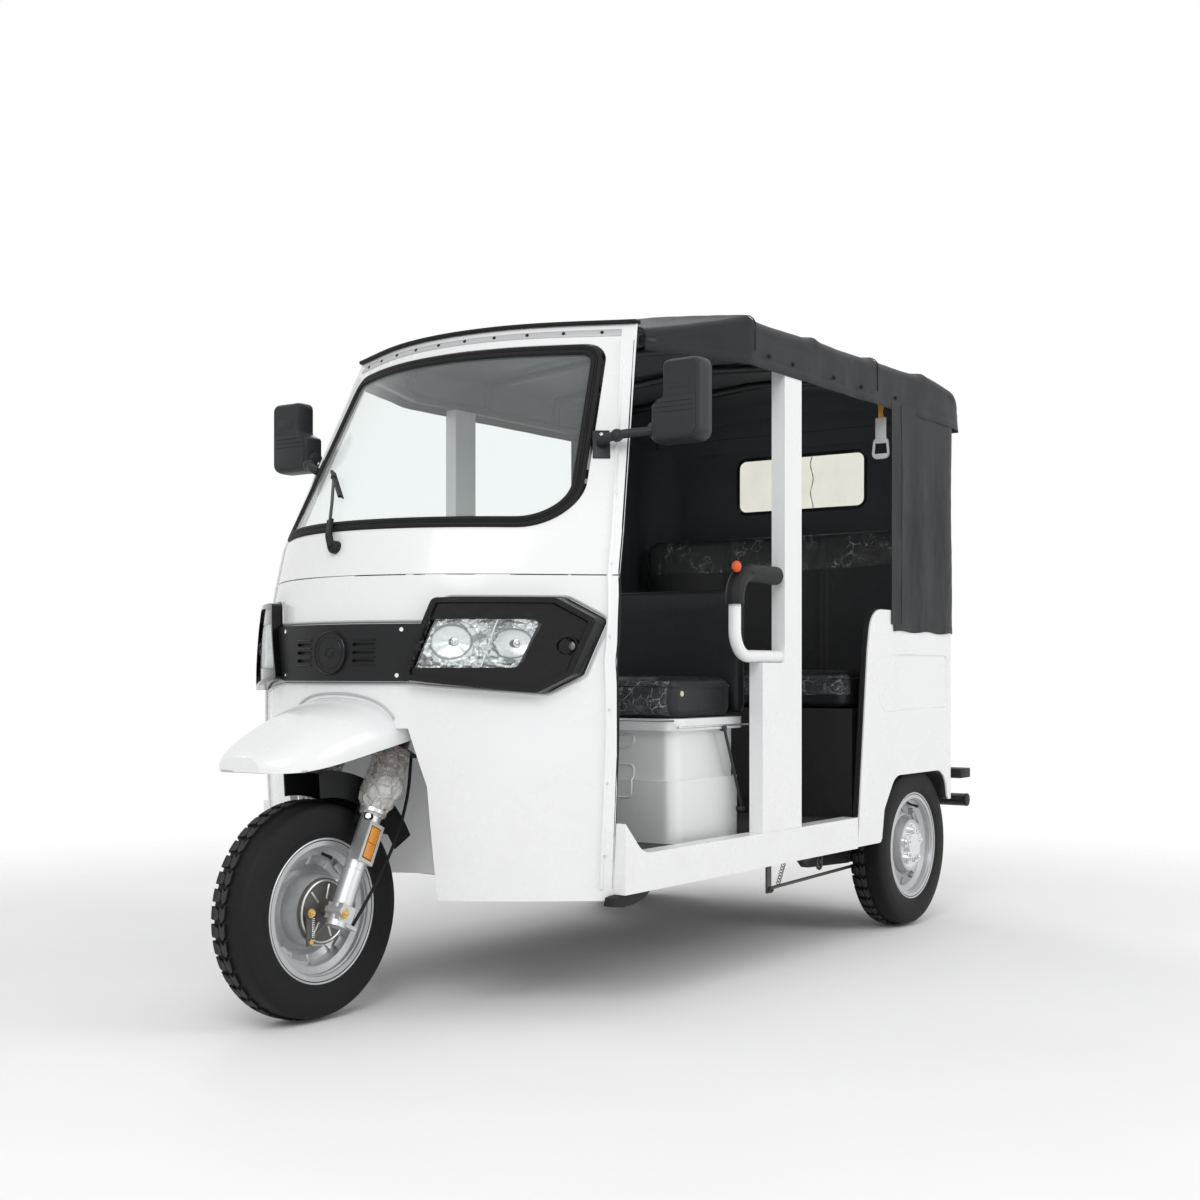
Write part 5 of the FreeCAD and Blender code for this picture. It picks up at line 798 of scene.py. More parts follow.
def tyre_look(name, centre):
    """Black side walls with a dull bloom; the tread's faces are worn grey, and the grooves are painted darker
    as painted shade.
    """
    look = Look(name, Specular_IOR_Level=0.2)
    radius = look.from_axle(centre)
    worn = radius.between(0.2612, 0.2640) * (look.noise(55.0, 5.0, 0.7).between(0.2, 0.75) * 0.5 + 0.5)
    # Painted shade: the rubber between the tread blocks is made darker than the side walls.
    groove = radius.between(0.2535, 0.2575) * (1.0 - radius.between(0.2585, 0.2600))
    bloom = look.noise(16.0, 6.0, 0.7).between(0.48, 0.8)
    side = look.blend(bloom * 0.5, rgb(0.010, 0.010, 0.011), rgb(0.020, 0.0195, 0.019))
    topped = look.blend(worn, side, rgb(0.055, 0.056, 0.058))
    look.put("Base Color", look.blend(groove * 0.8, topped, rgb(0.006, 0.006, 0.006)))
    look.put("Roughness", 0.62 + worn * 0.18 + bloom * 0.12)
    rings = (radius * 2200.0).sine()
    face = 1.0 - radius.between(0.236, 0.240)
    look.relief(look.noise(650.0, 2.0) + rings * face * 0.5 + bloom * 2.0, 0.25, 0.0005)
    return look.material


TYRE_LOOKS = {body: tyre_look(body + "_tyre_rubber", centre) for body, centre in WHEEL_PLACES.items()}


def wheel_nuts(body, side):
    """Nuts on the five lobes of the hub, on washers, with stud ends."""
    x, y, z = WHEEL_PLACES[body]
    out = x + side * 0.0502
    spots, studs = [], []
    for i in range(5):
        turn = math.radians(90.0 + 72.0 * i)
        at = Vector((out, y + 0.0495 * math.cos(turn), z + 0.0495 * math.sin(turn)))
        spots.append((at, (side, 0.0, 0.0)))
        studs.append(rod("stud", at, at + Vector((side * 0.013, 0.0, 0.0)), 0.0038, 10, 0.0008))
    nuts = screw_heads(body + "_nuts", spots, 0.0088, 0.0075, 6, False)
    washers = screw_heads(body + "_washers", spots, 0.0118, 0.0018, 20, False)
    done(one(body + "_wheel_nuts", [nuts, washers] + studs), "chrome", "brake_steel", body)


def valve(body, side):
    """Rubber valve stem with a cap, through the wheel's disc."""
    x, y, z = WHEEL_PLACES[body]
    foot = Vector((x + side * 0.012, y + 0.02, z + 0.141))
    tip = foot + Vector((side * 0.034, 0.0, -0.012))
    stem = tube(body + "_stem", [foot, foot.lerp(tip, 0.5) + Vector((0, 0, -0.002)), tip], 0.0038, 3, 4)
    cap = rod(body + "_cap", tip, tip + (tip - foot).normalized() * 0.012, 0.0046, 14)
    done(one(body + "_valve", [stem, cap]), "seal_rubber", body=body)


def rim_edge(body, side):
    """Rolled edge on the rim's flange, catching the light all round."""
    section = [(side * 0.0478 + a, 0.1722 + b) for a, b in circle(10, 0.0028)]
    name = body + ("_rim_edge_left" if side > 0 else "_rim_edge_right")
    ring = turned(name, section + section[:1], WHEEL_PLACES[body], 96)
    done(ring, "silver_rim", body=body)


for wheel in WHEEL_PLACES:
    tyre(wheel)
    rim_edge(wheel, 1.0)
    rim_edge(wheel, -1.0)
wheel_nuts("rear_wheel_left", 1.0)
wheel_nuts("rear_wheel_right", -1.0)
wheel_nuts("front_wheel", -1.0)
valve("rear_wheel_left", 1.0)
valve("rear_wheel_right", -1.0)
valve("front_wheel", 1.0)


# Canopy, curtains and rear window

HOOPS = (-0.152, 0.232, 0.616, 1.0)
HOOP_LIFTS = (0.0, 0.0064, 0.008, 0.016)
CLOTH_FRONT, CLOTH_TAIL = -0.492, 1.286
CLOTH_LENGTH = CLOTH_TAIL - CLOTH_FRONT
CLOTH_HALF, CLOTH_LOW, SHOULDER_BEND = 0.630, 1.694, 0.034
CLOTH_DEPTH = 0.0022
CABIN_MIDDLE = Vector((0.0, 0.3, 1.2))


def marked_for_painted_light(cloth):
    """Marks the side of a sheet that looks into the cabin, whose colour is lifted there as painted light
    standing in for the light inside the cabin.
    """
    marks = cloth.data.attributes.new("inside", "FLOAT", "POINT")
    for vertex, mark in zip(cloth.data.vertices, marks.data):
        mark.value = 1.0 if vertex.normal.dot(vertex.co - CABIN_MIDDLE) < 0.0 else 0.0


def roof_line(y):
    """Half width, shoulder height and crown height of the stretched cloth at a place along the vehicle."""
    if y <= HOOPS[0]:
        share = (y - CLOTH_FRONT) / (HOOPS[0] - CLOTH_FRONT)
        bow = 4.0 * share * (1.0 - share)
        half, shoulder, crown = Vector((0.506, 1.730, 1.7515)).lerp((CLOTH_HALF, 1.806, 1.852), share)
        return half, shoulder - 0.004 * bow, crown - 0.005 * bow
    for (a, b), (lift, next_lift) in zip(zip(HOOPS, HOOPS[1:]), zip(HOOP_LIFTS, HOOP_LIFTS[1:])):
        if y <= b:
            share = (y - a) / (b - a)
            sag = 0.008 * (4.0 * share * (1.0 - share)) ** 0.8
            high = 1.806 + lift + (next_lift - lift) * share - sag
            return CLOTH_HALF - sag / 3.0, high, high + 0.046 - sag * 0.55
    share = (y - HOOPS[-1]) / (CLOTH_TAIL - HOOPS[-1])
    high = 1.822 - 0.028 * share ** 1.4
    drop = 0.046 * max(0.0, (share - 0.78) / 0.22) ** 2
    return CLOTH_HALF - drop / 4.0, high - drop, high + 0.041 - drop * 1.12


def cloth_runs(half, shoulder):
    """Lengths of the cross section's three stretches: over the top, round the shoulder and down the side."""
    drop = max(0.002, shoulder - SHOULDER_BEND - CLOTH_LOW)
    return half - SHOULDER_BEND, SHOULDER_BEND * math.pi / 2.0, drop


def cloth_section(share, half, shoulder, crown):
    """A point on the cross section, from one hem (0) to the other (1), and whether it hangs down the side."""
    side = -1.0 if share < 0.5 else 1.0
    top, arc, climb = cloth_runs(half, shoulder)
    run = abs(share - 0.5) * 2.0 * (climb + arc + top)
    if run < top:
        return side * run, crown - (crown - shoulder) * (run / half) ** 1.9, False
    edge = crown - (crown - shoulder) * (top / half) ** 1.9 - SHOULDER_BEND
    if run < top + arc:
        turn = (run - top) / SHOULDER_BEND
        return side * (top + SHOULDER_BEND * math.sin(turn)), edge + SHOULDER_BEND * math.cos(turn), False
    return side * half, edge + (CLOTH_LOW - edge) * (run - top - arc) / climb, True


def canopy_point(u, v):
    """A point on the stretched cloth: ridges over the hoops, ripples between them and a scalloped drop."""
    y = CLOTH_FRONT + CLOTH_LENGTH * v
    half, shoulder, crown = roof_line(y)
    x, z, hanging = cloth_section(u, half, shoulder, crown)
    near = min(abs(y - hoop) for hoop in HOOPS)
    ridge = 0.0026 * math.exp(-(near / 0.016) ** 2)
    ripple = wave(x * 0.7, y, z, 7.0) * 0.0022 + wave(x, y * 0.6, z, 21.0) * 0.0009
    slack = math.exp(-((near - 0.05) / 0.035) ** 2) * 0.0020 * math.sin(x * 46.0 + y * 9.0)
    if hanging:
        fall = (z - CLOTH_LOW) / 0.1
        pull = 0.0035 * math.sin((y - HOOPS[0]) * math.tau / 0.192) * (1.0 - min(1.0, fall))
        return Vector((x - math.copysign(0.0015 + pull * 0.6 - ripple, x), y, z + ridge * 0.2))
    return Vector((x, y, z - 0.0026 + ridge + ripple - abs(slack)))


def tail_share(x, half, shoulder):
    """How far along the cross section a side place lies, from 0 at the crown to 1 at the hem."""
    top, arc, climb = cloth_runs(half, shoulder)
    run = x if x <= top else top + SHOULDER_BEND * math.asin(min(1.0, (x - top) / SHOULDER_BEND))
    return run / (climb + arc + top)


def looking(sheet, way, face=0):
    """Turns an open sheet over, unless one of its faces looks the given way."""
    if sheet.data.polygons[face].normal.dot(Vector(way)) < 0.0:
        sheet.data.flip_normals()
    return sheet


def canopy():
    """One stretched sheet over the hoops, with rolled hems, snap studs and a sewn front binding."""
    cloth = outward(net("canopy_cloth", 112, 132, canopy_point))
    looking(cloth, UP, len(cloth.data.polygons) // 2)

    def tail_point(u, v):
        half, shoulder, _ = roof_line(CLOTH_TAIL)
        x = -half + 0.0015 + (2.0 * half - 0.003) * u
        high = canopy_point(0.5 + 0.5 * math.copysign(tail_share(abs(x), half, shoulder), x), 1.0).z
        return Vector((x, 1.2856 + 0.0125 * v ** 1.5, high + (1.664 - high) * v))

    tail = looking(net("canopy_tail", 112, 8, tail_point), BACK, 400)
    cloth = one("canopy_cloth", [cloth, tail])
    thick(cloth, CLOTH_DEPTH)
    marked_for_painted_light(cloth)
    done(cloth, CANOPY_CLOTH, "canopy_fabric", smooth=50.0)
    band = [(-0.001, -0.0022), (0.024, -0.0022), (0.0245, 0.0008), (0.0235, 0.0016), (0.001, 0.0016),
            (-0.0016, 0.0006)]
    hems = []
    for side, way, section in ((0.0, RIGHT, flipped(band)), (1.0, LEFT, band)):
        points = [canopy_point(side, v) for v in spread(0.0, 1.0, 61)]
        hems.append(beading("valance_hem", points, [Vector(way)] * len(points), section, False))
    binding = [canopy_point(u, 0.0) + Vector((0.0, 0.004, 0.0008)) for u in spread(0.0, 1.0, 81)]
    hems.append(tube("front_binding", binding, 0.0042, 2, 1))
    for hoop in (HOOPS[0], HOOPS[2]):
        v = (hoop - CLOTH_FRONT) / CLOTH_LENGTH
        line = [canopy_point(u, v) + Vector((0.0, 0.014, 0.0002)) for u in spread(0.01, 0.99, 99)]
        hems.append(tube("roof_seam", line, 0.0017, 1, 1))
    trim = one("canopy_hems", hems)
    done(trim, CANOPY_CLOTH, "canopy_fabric", smooth=50.0)
    spots = []
    for y in (-0.06, 0.08, 0.33, 0.52, 0.76):
        for side, way in ((0.0, -1.0), (1.0, 1.0)):
            edge = canopy_point(side, (y - CLOTH_FRONT) / CLOTH_LENGTH)
            spots.append((edge + Vector((way * 0.0012, 0.0, 0.014)), (way, 0.0, 0.12)))
    studs = screw_heads("canopy_studs", spots, 0.0062, 0.0028, 14)
    done(studs, "seal_rubber")
    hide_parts("canopy_roof")


CURTAIN_TOP, CURTAIN_LOW = 1.6937, 0.985
CURTAIN_STRAIGHT, CURTAIN_BEND = 0.446, 0.114
CORNER_RUN = CURTAIN_STRAIGHT + CURTAIN_BEND * math.pi / 2.0
CORNER_X, CORNER_Y, CORNER_RADIUS = 0.5153, 1.1903, 0.112


def curtain_plan(run):
    """Plan of the hanging cloth from the left curtain's front edge round the rear to the middle."""
    if run < CURTAIN_STRAIGHT:
        return Vector((CORNER_X + CORNER_RADIUS, 0.748 + run, 0.0)), Vector(LEFT)
    turn = (run - CURTAIN_STRAIGHT) / CURTAIN_BEND
    if turn < math.pi / 2.0:
        way = Vector((math.cos(turn), math.sin(turn), 0.0))
        return Vector((CORNER_X, CORNER_Y, 0.0)) + way * CORNER_RADIUS, way
    return Vector((CORNER_X - (run - CORNER_RUN), CORNER_Y + CORNER_RADIUS, 0.0)), Vector(BACK)


def hung(run, z, mirror):
    """A point on the hanging cloth with its soft folds, held flat at the top and at the front edge."""
    at, way = curtain_plan(run)
    loose = min(1.0, (CURTAIN_TOP - z) / 0.25) * min(1.0, run / 0.06 + 0.15)
    fold = math.sin(run * 31.0 + 0.6) * 0.0022 + wave(run, z * 0.4, mirror * 3.0, 9.0) * 0.0042
    droop = wave(run * 2.0, z, mirror * 5.0, 18.0) * 0.0012
    point = at + way * ((fold + droop) * loose + 0.0006)
    point.z = z
    if mirror < 0:
        point.x = -point.x
        way = Vector((-way.x, way.y, way.z))
    return point, way


def side_curtain(side):
    """Hanging sheet from the roof to the tub, with a folded front edge, a sewn line and a lower hem."""
    name = "left" if side > 0 else "right"

    def place(u, v):
        z = CURTAIN_LOW + (CURTAIN_TOP - CURTAIN_LOW) * v
        low = 0.003 * math.sin(u * 19.0) * (1.0 - v)
        return hung(CORNER_RUN * u, z + low, side)[0]

    cloth = looking(net("side_curtain_cloth_" + name, 72, 72, place), (side, 0.0, 0.0), 36)
    thick(cloth, CLOTH_DEPTH)
    marked_for_painted_light(cloth)
    done(cloth, CURTAIN_CLOTH, "canopy_fabric", smooth=50.0)
    parts = []
    strip = [(-0.0006, -0.001), (0.020, -0.001), (0.0205, 0.0012), (-0.0006, 0.0012)]
    sewn = [(a * 0.25, b * 0.8) for a, b in strip]
    for run, section in ((0.004, strip), (0.060, sewn)):
        line = [hung(run, z, side) for z in spread(CURTAIN_LOW + 0.002, CURTAIN_TOP - 0.002, 41)]
        section = [(-a, b) for a, b in section] if side > 0 else section[::-1]
        parts.append(beading("curtain_edge", *zip(*line), section, False))
    hem = [hung(CORNER_RUN * u, CURTAIN_LOW + 0.003 * math.sin(u * 19.0) + 0.0008, side)
           for u in spread(0.0, 1.0, 61)]
    parts.append(beading("curtain_hem", *zip(*hem), strip if side > 0 else flipped(strip), False))
    trim = one("side_curtain_hems_" + name, parts)
    done(trim, CURTAIN_CLOTH, "canopy_fabric", smooth=50.0)
    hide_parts("side_curtain_" + name)


FOLD_X = 0.048
WINDOW = [(-0.270, 1.424), (0.270, 1.424), (0.270, 1.640), (-0.270, 1.640)]


def frame_ring(share, ring):
    """A point between the window's rounded edge (0) and the back curtain's edge (1)."""
    edge = 0.5150
    outer = [(-edge, CURTAIN_LOW), (edge, CURTAIN_LOW), (edge, CURTAIN_TOP), (-edge, CURTAIN_TOP)]
    side = int(ring * 4.0) % 4
    s = ring * 4.0 - int(ring * 4.0)
    far = Vector(outer[side]).lerp(Vector(outer[(side + 1) % 4]), s)
    a, b = Vector(WINDOW[side]), Vector(WINDOW[(side + 1) % 4])
    run = (b - a).normalized()
    inward = Vector((-run.y, run.x))
    radius = 0.040
    arc = radius * math.pi / 4.0
    straight = (b - a).length - 2.0 * radius
    walked = s * (straight + 2.0 * arc)
    if walked < arc:
        turn = math.pi / 4.0 * (1.0 - walked / arc)
        near = a + (run + inward) * radius - (run * math.sin(turn) + inward * math.cos(turn)) * radius
    elif walked < arc + straight:
        near = a + run * (radius + walked - arc)
    else:
        turn = math.pi / 4.0 * (walked - arc - straight) / arc
        near = b + (inward - run) * radius + (run * math.sin(turn) - inward * math.cos(turn)) * radius
    return near.lerp(far, share)


def back_point(x, z):
    """A point on the rear sheet, loose in its middle and held at its edges."""
    loose = min(1.0, (CURTAIN_TOP - z) / 0.2) * min(1.0, max(0.0, (CORNER_X - abs(x)) / 0.12) + 0.1)
    fold = wave(x * 1.2, z * 0.5, 2.0, 8.0) * 0.0045 + math.sin(x * 37.0) * 0.0012
    return Vector((x, 1.3029 + fold * loose, z))


def back_curtain():
    """The rear sheet with its sewn-in window and lower hem."""
    steps = 160
    cloth = closed_up(net("back_curtain_cloth", 26, steps, lambda u, v: back_point(*frame_ring(u, v % 1.0))))
    looking(cloth, BACK)
    thick(cloth, CLOTH_DEPTH)
    marked_for_painted_light(cloth)
    done(cloth, CURTAIN_CLOTH, "canopy_fabric", smooth=50.0)
    edge = [back_point(*frame_ring(0.0, k / steps)) for k in range(steps)]
    band = [(-0.002, -0.0012), (0.013, -0.0012), (0.013, 0.0014), (-0.002, 0.0014)]
    border = beading("window_border", edge, [Vector(BACK)] * steps, band)
    hem = [back_point(x, CURTAIN_LOW + 0.001) for x in spread(-0.512, 0.512, 51)]
    strip = [(0.0, -0.001), (0.0, 0.0012), (-0.022, 0.0012), (-0.022, -0.001)]
    lower = beading("back_hem", hem, [Vector(BACK)] * len(hem), strip, False)
    trim = one("back_curtain_hems", [border, lower])
    done(trim, CURTAIN_CLOTH, "canopy_fabric", smooth=50.0)
    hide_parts("back_curtain")

    def film(u, v):
        x, z = -0.262 + 0.524 * u, 1.432 + 0.200 * v
        crease = -0.0035 * math.exp(-((x - FOLD_X + 0.005 * math.sin(z * 60.0)) / 0.006) ** 2)
        return Vector((x, 1.3019 + crease + wave(x, z, 4.0, 12.0) * 0.0018, z))

    window = net("window_film_sheet", 72, 30, film)
    thick(window, 0.0007)
    done(window, WINDOW_FILM, "window_film", smooth=60.0)
    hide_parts("rear_window")


def sewn_cloth(name, colour, seams):
    """Coated cloth with rows of stitches beside its hems; seams hold (axis letter, place, along letter)."""
    look = Look(name, Sheen_Weight=0.04, Specular_IOR_Level=0.18)
    weave = look.bands(460.0, "X", 0.5) + look.bands(460.0, "Z", 0.5) + look.bands(460.0, "Y", 0.5)
    skin = look.cells(300.0)
    crease = look.noise(6.0, 6.0, 0.62)
    chalk = look.noise(2.6, 5.0, 0.6).between(0.45, 0.85)
    rub = look.noise(38.0, 6.0, 0.75).between(0.6, 0.85)
    stitched = 0.0
    for letter, at, along_letter in seams:
        off = abs(look.axis(letter) - at)
        stitch = (1.0 - off.between(0.0006, 0.0013)) * (look.axis(along_letter) * 1250.0).sine().over(-0.2)
        stitched = stitched + stitch
    pale = toned(colour, 1.4, 0.004)
    inside = look.add("Attribute", {"attribute_name": "inside"}, {}, "Fac")
    base = look.blend(chalk * 0.5 + rub * 0.25, colour, pale)
    # Painted light: the side that looks into the cabin is made much paler, standing in for the light inside
    # the cabin.
    base = look.blend(inside, base, rgb(0.085, 0.092, 0.104))
    look.put("Base Color", look.blend(stitched * 0.7, base, rgb(0.008, 0.008, 0.009)))
    look.put("Roughness", 0.5 + chalk * 0.15 - skin * 0.08)
    look.relief(weave * 0.3 + skin * 0.5 + crease * 9.0 - stitched * 1.5, 0.35, 0.0007)
    return look.material


CANOPY_CLOTH = sewn_cloth("canopy_cloth_sewn", rgb(0.013, 0.0145, 0.0165),
                          (("z", 1.7165, "y"), ("y", -0.481, "x")))
CURTAIN_CLOTH = sewn_cloth("curtain_cloth_sewn", rgb(0.012, 0.0135, 0.015),
                           (("z", 1.004, "y"), ("y", 0.7655, "z")))


def window_film_look():
    """Clear sheet gone cream, let through by daylight, with painted shade along one fold right of its middle:
    a dark line, less see-through than the rest.
    """
    look = Look("window_film_creased", Roughness=0.25, Base_Color=(0.86, 0.85, 0.78, 1.0))
    # Painted shade: a dark line along the fold, also made less see-through.
    off = abs(look.axis("x") - FOLD_X + (look.axis("z") * 60.0).sine() * 0.005)
    fold = (1.0 - off.between(0.0008, 0.0026)) * look.noise(90.0, 3.0).between(0.32, 0.5)
    haze = look.noise(7.0, 5.0, 0.6)
    look.put("Base Color", look.blend(fold, rgb(0.86, 0.85, 0.78), rgb(0.10, 0.10, 0.09)))
    look.relief(haze * 6.0 + look.noise(60.0, 3.0), 0.2, 0.001)
    tint = look.blend(haze.between(0.3, 0.7), rgb(0.985, 0.98, 0.93), rgb(0.96, 0.955, 0.90))
    look.see_through(0.10 + fold * 0.8 + haze * 0.06, tint)
    return look.material


WINDOW_FILM = window_film_look()

canopy()
side_curtain(1.0)
side_curtain(-1.0)
back_curtain()


# Cab front: seal, header, joints, lamps, grille, fender and wiper

def shell_path(outline, off, nodes=FRONT_SHELL):
    """Outline points in X and Z laid on the cab's face, with the face's ways there."""
    points, ways = [], []
    for x, z in outline:
        found = front(nodes, x, z)
        if found:
            points.append(found[0] + found[1] * off)
            ways.append(found[1])
    return points, ways


def laid(nodes, places, off=0.0):
    """The same, but only the points."""
    return shell_path(places, off, nodes)[0]


def softened(ways, times=3):
    """Neighbouring ways averaged, so that a strip doesn't twist over facets."""
    for _ in range(times):
        ways = [(ways[i - 1] + ways[i] * 2.0 + ways[(i + 1) % len(ways)]).normalized()
                for i in range(len(ways))]
    return ways


def screen_seal():
    """Rubber seal with a rounded face and a locking strip in its groove."""
    low, high, half_low, half_high = 1.2025, 1.6685, 0.4905, 0.4165
    corners = [(-half_low, low), (half_low, low), (half_high, high), (-half_high, high)]
    outline = evenly(rounded(corners, [0.088, 0.088, 0.045, 0.045], 12), 240)
    points, ways = shell_path(outline, 0.0, ("windscreen_seal",))
    ways = softened(ways, 8)
    half = 0.0152
    face = [(-half, -0.012), (-half, -0.003), (-half * 0.92, 0.0008), (-half * 0.6, 0.0030),
            (-half * 0.28, 0.0034),
            (-half * 0.2, 0.0012), (half * 0.2, 0.0012), (half * 0.28, 0.0034), (half * 0.6, 0.0030),
            (half * 0.92, 0.0008), (half, -0.003), (half, -0.012)]
    seal = beading("screen_seal", points, ways, face)
    strip = tube("locking_strip", [p + w * 0.0014 for p, w in zip(points, ways)], 0.0026, 2, 1, True)
    piece = one("windscreen_rubber", [seal, strip])
    done(piece, "seal_rubber", smooth=50.0)
    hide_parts("windscreen_seal")


def header_strip():
    """Pale strip over the windscreen with its screws, and the rubber along the roof's front edge."""
    points, ways = shell_path([(x, 1.7135) for x in spread(-0.455, 0.455, 61)], 0.0, ("cab_frame",))
    ways = softened(ways)
    ways[0], ways[-1] = ways[1], ways[-2]
    band = [(-0.0105, -0.002), (-0.0105, 0.0014), (-0.0085, 0.0026), (0.0085, 0.0026), (0.0105, 0.0014),
            (0.0105, -0.002)]
    piece = beading("header_strip", points, ways, band, False)
    done(piece, "pale_trim", "white_paint")
    spots = [(points[k] + ways[k] * 0.0022, ways[k]) for k in range(3, 60, 6)]
    done(screw_heads("header_screws", spots, 0.0046, 0.0024, 12), "seal_rubber")
    low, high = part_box("cab_roof")
    edge = laid(("cab_roof",), [(x, high.z - 0.004) for x in spread(low.x + 0.004, high.x - 0.004, 81)])
    edge = [at + Vector((0.0, -0.0015, 0.0005)) for at in edge]
    done(tube("roof_rubber", edge, 0.0058, 3, 1), "seal_rubber")


def door_edge_points(inset):
    """Points up the cab's rear edge on the left side, just ahead of the edge by the inset."""
    levels = [(0.300, -0.762), (0.56, -0.766), (0.86, -0.766), (1.07, -0.741), (1.18, -0.716), (1.70, -0.518)]
    found = []
    for z in spread(0.312, 1.690, 71):
        for (z0, y0), (z1, y1) in zip(levels, levels[1:]):
            if z0 <= z <= z1:
                y = y0 + (y1 - y0) * (z - z0) / (z1 - z0)
        hit = touch(("front_panel", "cab_frame"), (1.0, y - inset, z), RIGHT)
        if hit and hit[0].x > 0.4:
            found.append(hit)
    return found


def door_edges():
    """White rolled flange with rivets up each side of the cab, and the black rubber behind it."""
    points = [at for at, _ in door_edge_points(0.016)]
    way = Vector((1.0, -0.12, 0.05)).normalized()
    other_way = Vector((-way.x, way.y, way.z))
    band = [(-0.0085, -0.003), (-0.0085, 0.0012), (-0.0065, 0.0026), (0.0060, 0.0030), (0.0085, 0.0016),
            (0.0085, -0.003)]
    left = beading("door_flange_left", points, [way] * len(points), band, False)
    done(both("door_flanges", left), "white_paint")
    back = door_edge_points(0.0035)
    line = [p + Vector((-0.001, 0.0055, 0.0)) for p, _ in back]
    rubber_left = tube("door_rubber_left", line, 0.0052, 3, 1)
    done(both("door_rubbers", rubber_left), "seal_rubber")
    spots = []
    for k in range(4, len(points) - 2, 9):
        at = points[k] + way * 0.0026
        spots += [(at, way), (Vector((-at.x, at.y, at.z)), other_way)]
    done(screw_heads("door_rivets", spots, 0.0042, 0.0018, 12, False), "fork_alloy")


BADGE_Z = 0.883
MASK = [(0.212, 0.818), (0.480, 0.786), (0.543, 0.829), (0.581, 0.962), (0.505, 1.014), (0.272, 1.014)]
BOWLS = ((0.302, 0.908), (0.420, 0.904))
LENS = [(0.226, 0.846), (0.438, 0.846), (0.476, 0.962), (0.264, 0.962)]


def mask_line():
    """Pale edge line round the whole lamp mask and the grille between the lamps."""
    right = MASK[1:] + [(0.253, 0.954)]
    left = [(-x, z) for x, z in reversed(right)]
    corners = right + left + [(-0.211, 0.812), (0.211, 0.812)]
    radii = [0.024, 0.024, 0.022, 0.022, 0.024, 0.012, 0.012, 0.024, 0.022, 0.022, 0.024, 0.024, 0.008, 0.008]
    outline = inset_ring(evenly(rounded(corners, radii, 6), 420), -0.0045)
    done(tube("mask_edge_line", laid(("front_panel",), outline, 0.0016), 0.0034, 2, 1, True), "pale_trim",
         "silver_box")


def lens_place(u, v):
    """A place in X and Z between the left lens's slanted ends."""
    return Vector(LENS[0]).lerp(LENS[1], u).lerp(Vector(LENS[3]).lerp(LENS[2], u), v)


def lens_point(u, v, off, side):
    """The same place on either side, standing off the cab's face."""
    at = lens_place(u, v)
    found = front(("front_panel",), at.x * side, at.y)
    return found[0] + found[1] * off


def facets(x, z):
    """Height of the crumpled bright reflector: two fluted bowls in a field of facets."""
    for (cx, cz), radius, flutes in zip(BOWLS, (0.048, 0.040), (9, 0)):
        away = math.hypot(x - cx, z - cz)
        if away < radius:
            share = away / radius
            flute = 0.0010 * math.cos(math.atan2(z - cz, x - cx) * flutes) * share
            return 0.0030 + 0.0135 * share ** 2 + flute
    near = noise.voronoi(Vector((x * 62.0, z * 74.0, 0.4)))[0]
    return 0.0195 - min(0.012, near[0] * 0.015)


def head_lamps():
    """Bright reflector with bowls, bulbs and a slanted divider, under a clear cover."""
    reflectors, covers, bulbs, dividers = [], [], [], []
    for side in (1.0, -1.0):
        def bowl(u, v, side=side):
            return lens_point(u, v, 0.0012 + facets(*lens_place(u, v)), side)

        reflectors.append(looking(net("lamp_bowl", 118, 62, bowl), AHEAD, 50))

        def glass(u, v, side=side):
            edge = min(u, 1.0 - u, v * 0.6, (1.0 - v) * 0.6)
            dome = 0.0012 * min(1.0, edge / 0.06)
            return lens_point(u, v, 0.0248 + dome, side)

        covers.append(thick(looking(net("lamp_cover", 48, 24, glass), AHEAD, 50), 0.0022))
        for (x, z), radius in zip(BOWLS, (0.0085, 0.0095)):
            at, way = front(("front_panel",), x * side, z)
            bulbs.append(rod("bulb_socket", at + way * 0.003, at + way * 0.011, radius, 20, 0.001))
            bulbs.append(start("bulb", "uv_sphere", segments=20, ring_count=12, radius=radius * 0.72,
                               location=at + way * 0.014))
        places = [((0.356 + 0.026 * share) * side, 0.848 + 0.112 * share) for share in spread(0.0, 1.0, 13)]
        path, ways = shell_path(places, 0.0155, ("front_panel",))
        bar = [(-0.0035, -0.004), (-0.0035, 0.002), (-0.0015, 0.0048), (0.0015, 0.0048), (0.0035, 0.002),
               (0.0035, -0.004)]
        dividers.append(beading("lamp_divider", path, ways, bar, False))
    done(one("lamp_reflectors", reflectors), LAMP_CHROME, "lamp_glass", smooth=12.0)
    done(one("lamp_bulbs", bulbs), "chrome", "lamp_glass")
    done(one("lamp_dividers", dividers), "chrome", "lamp_glass")
    clear = one("lamp_covers", covers)
    done(clear, "lamp_glass", smooth=50.0)
    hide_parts("lamp_lenses")


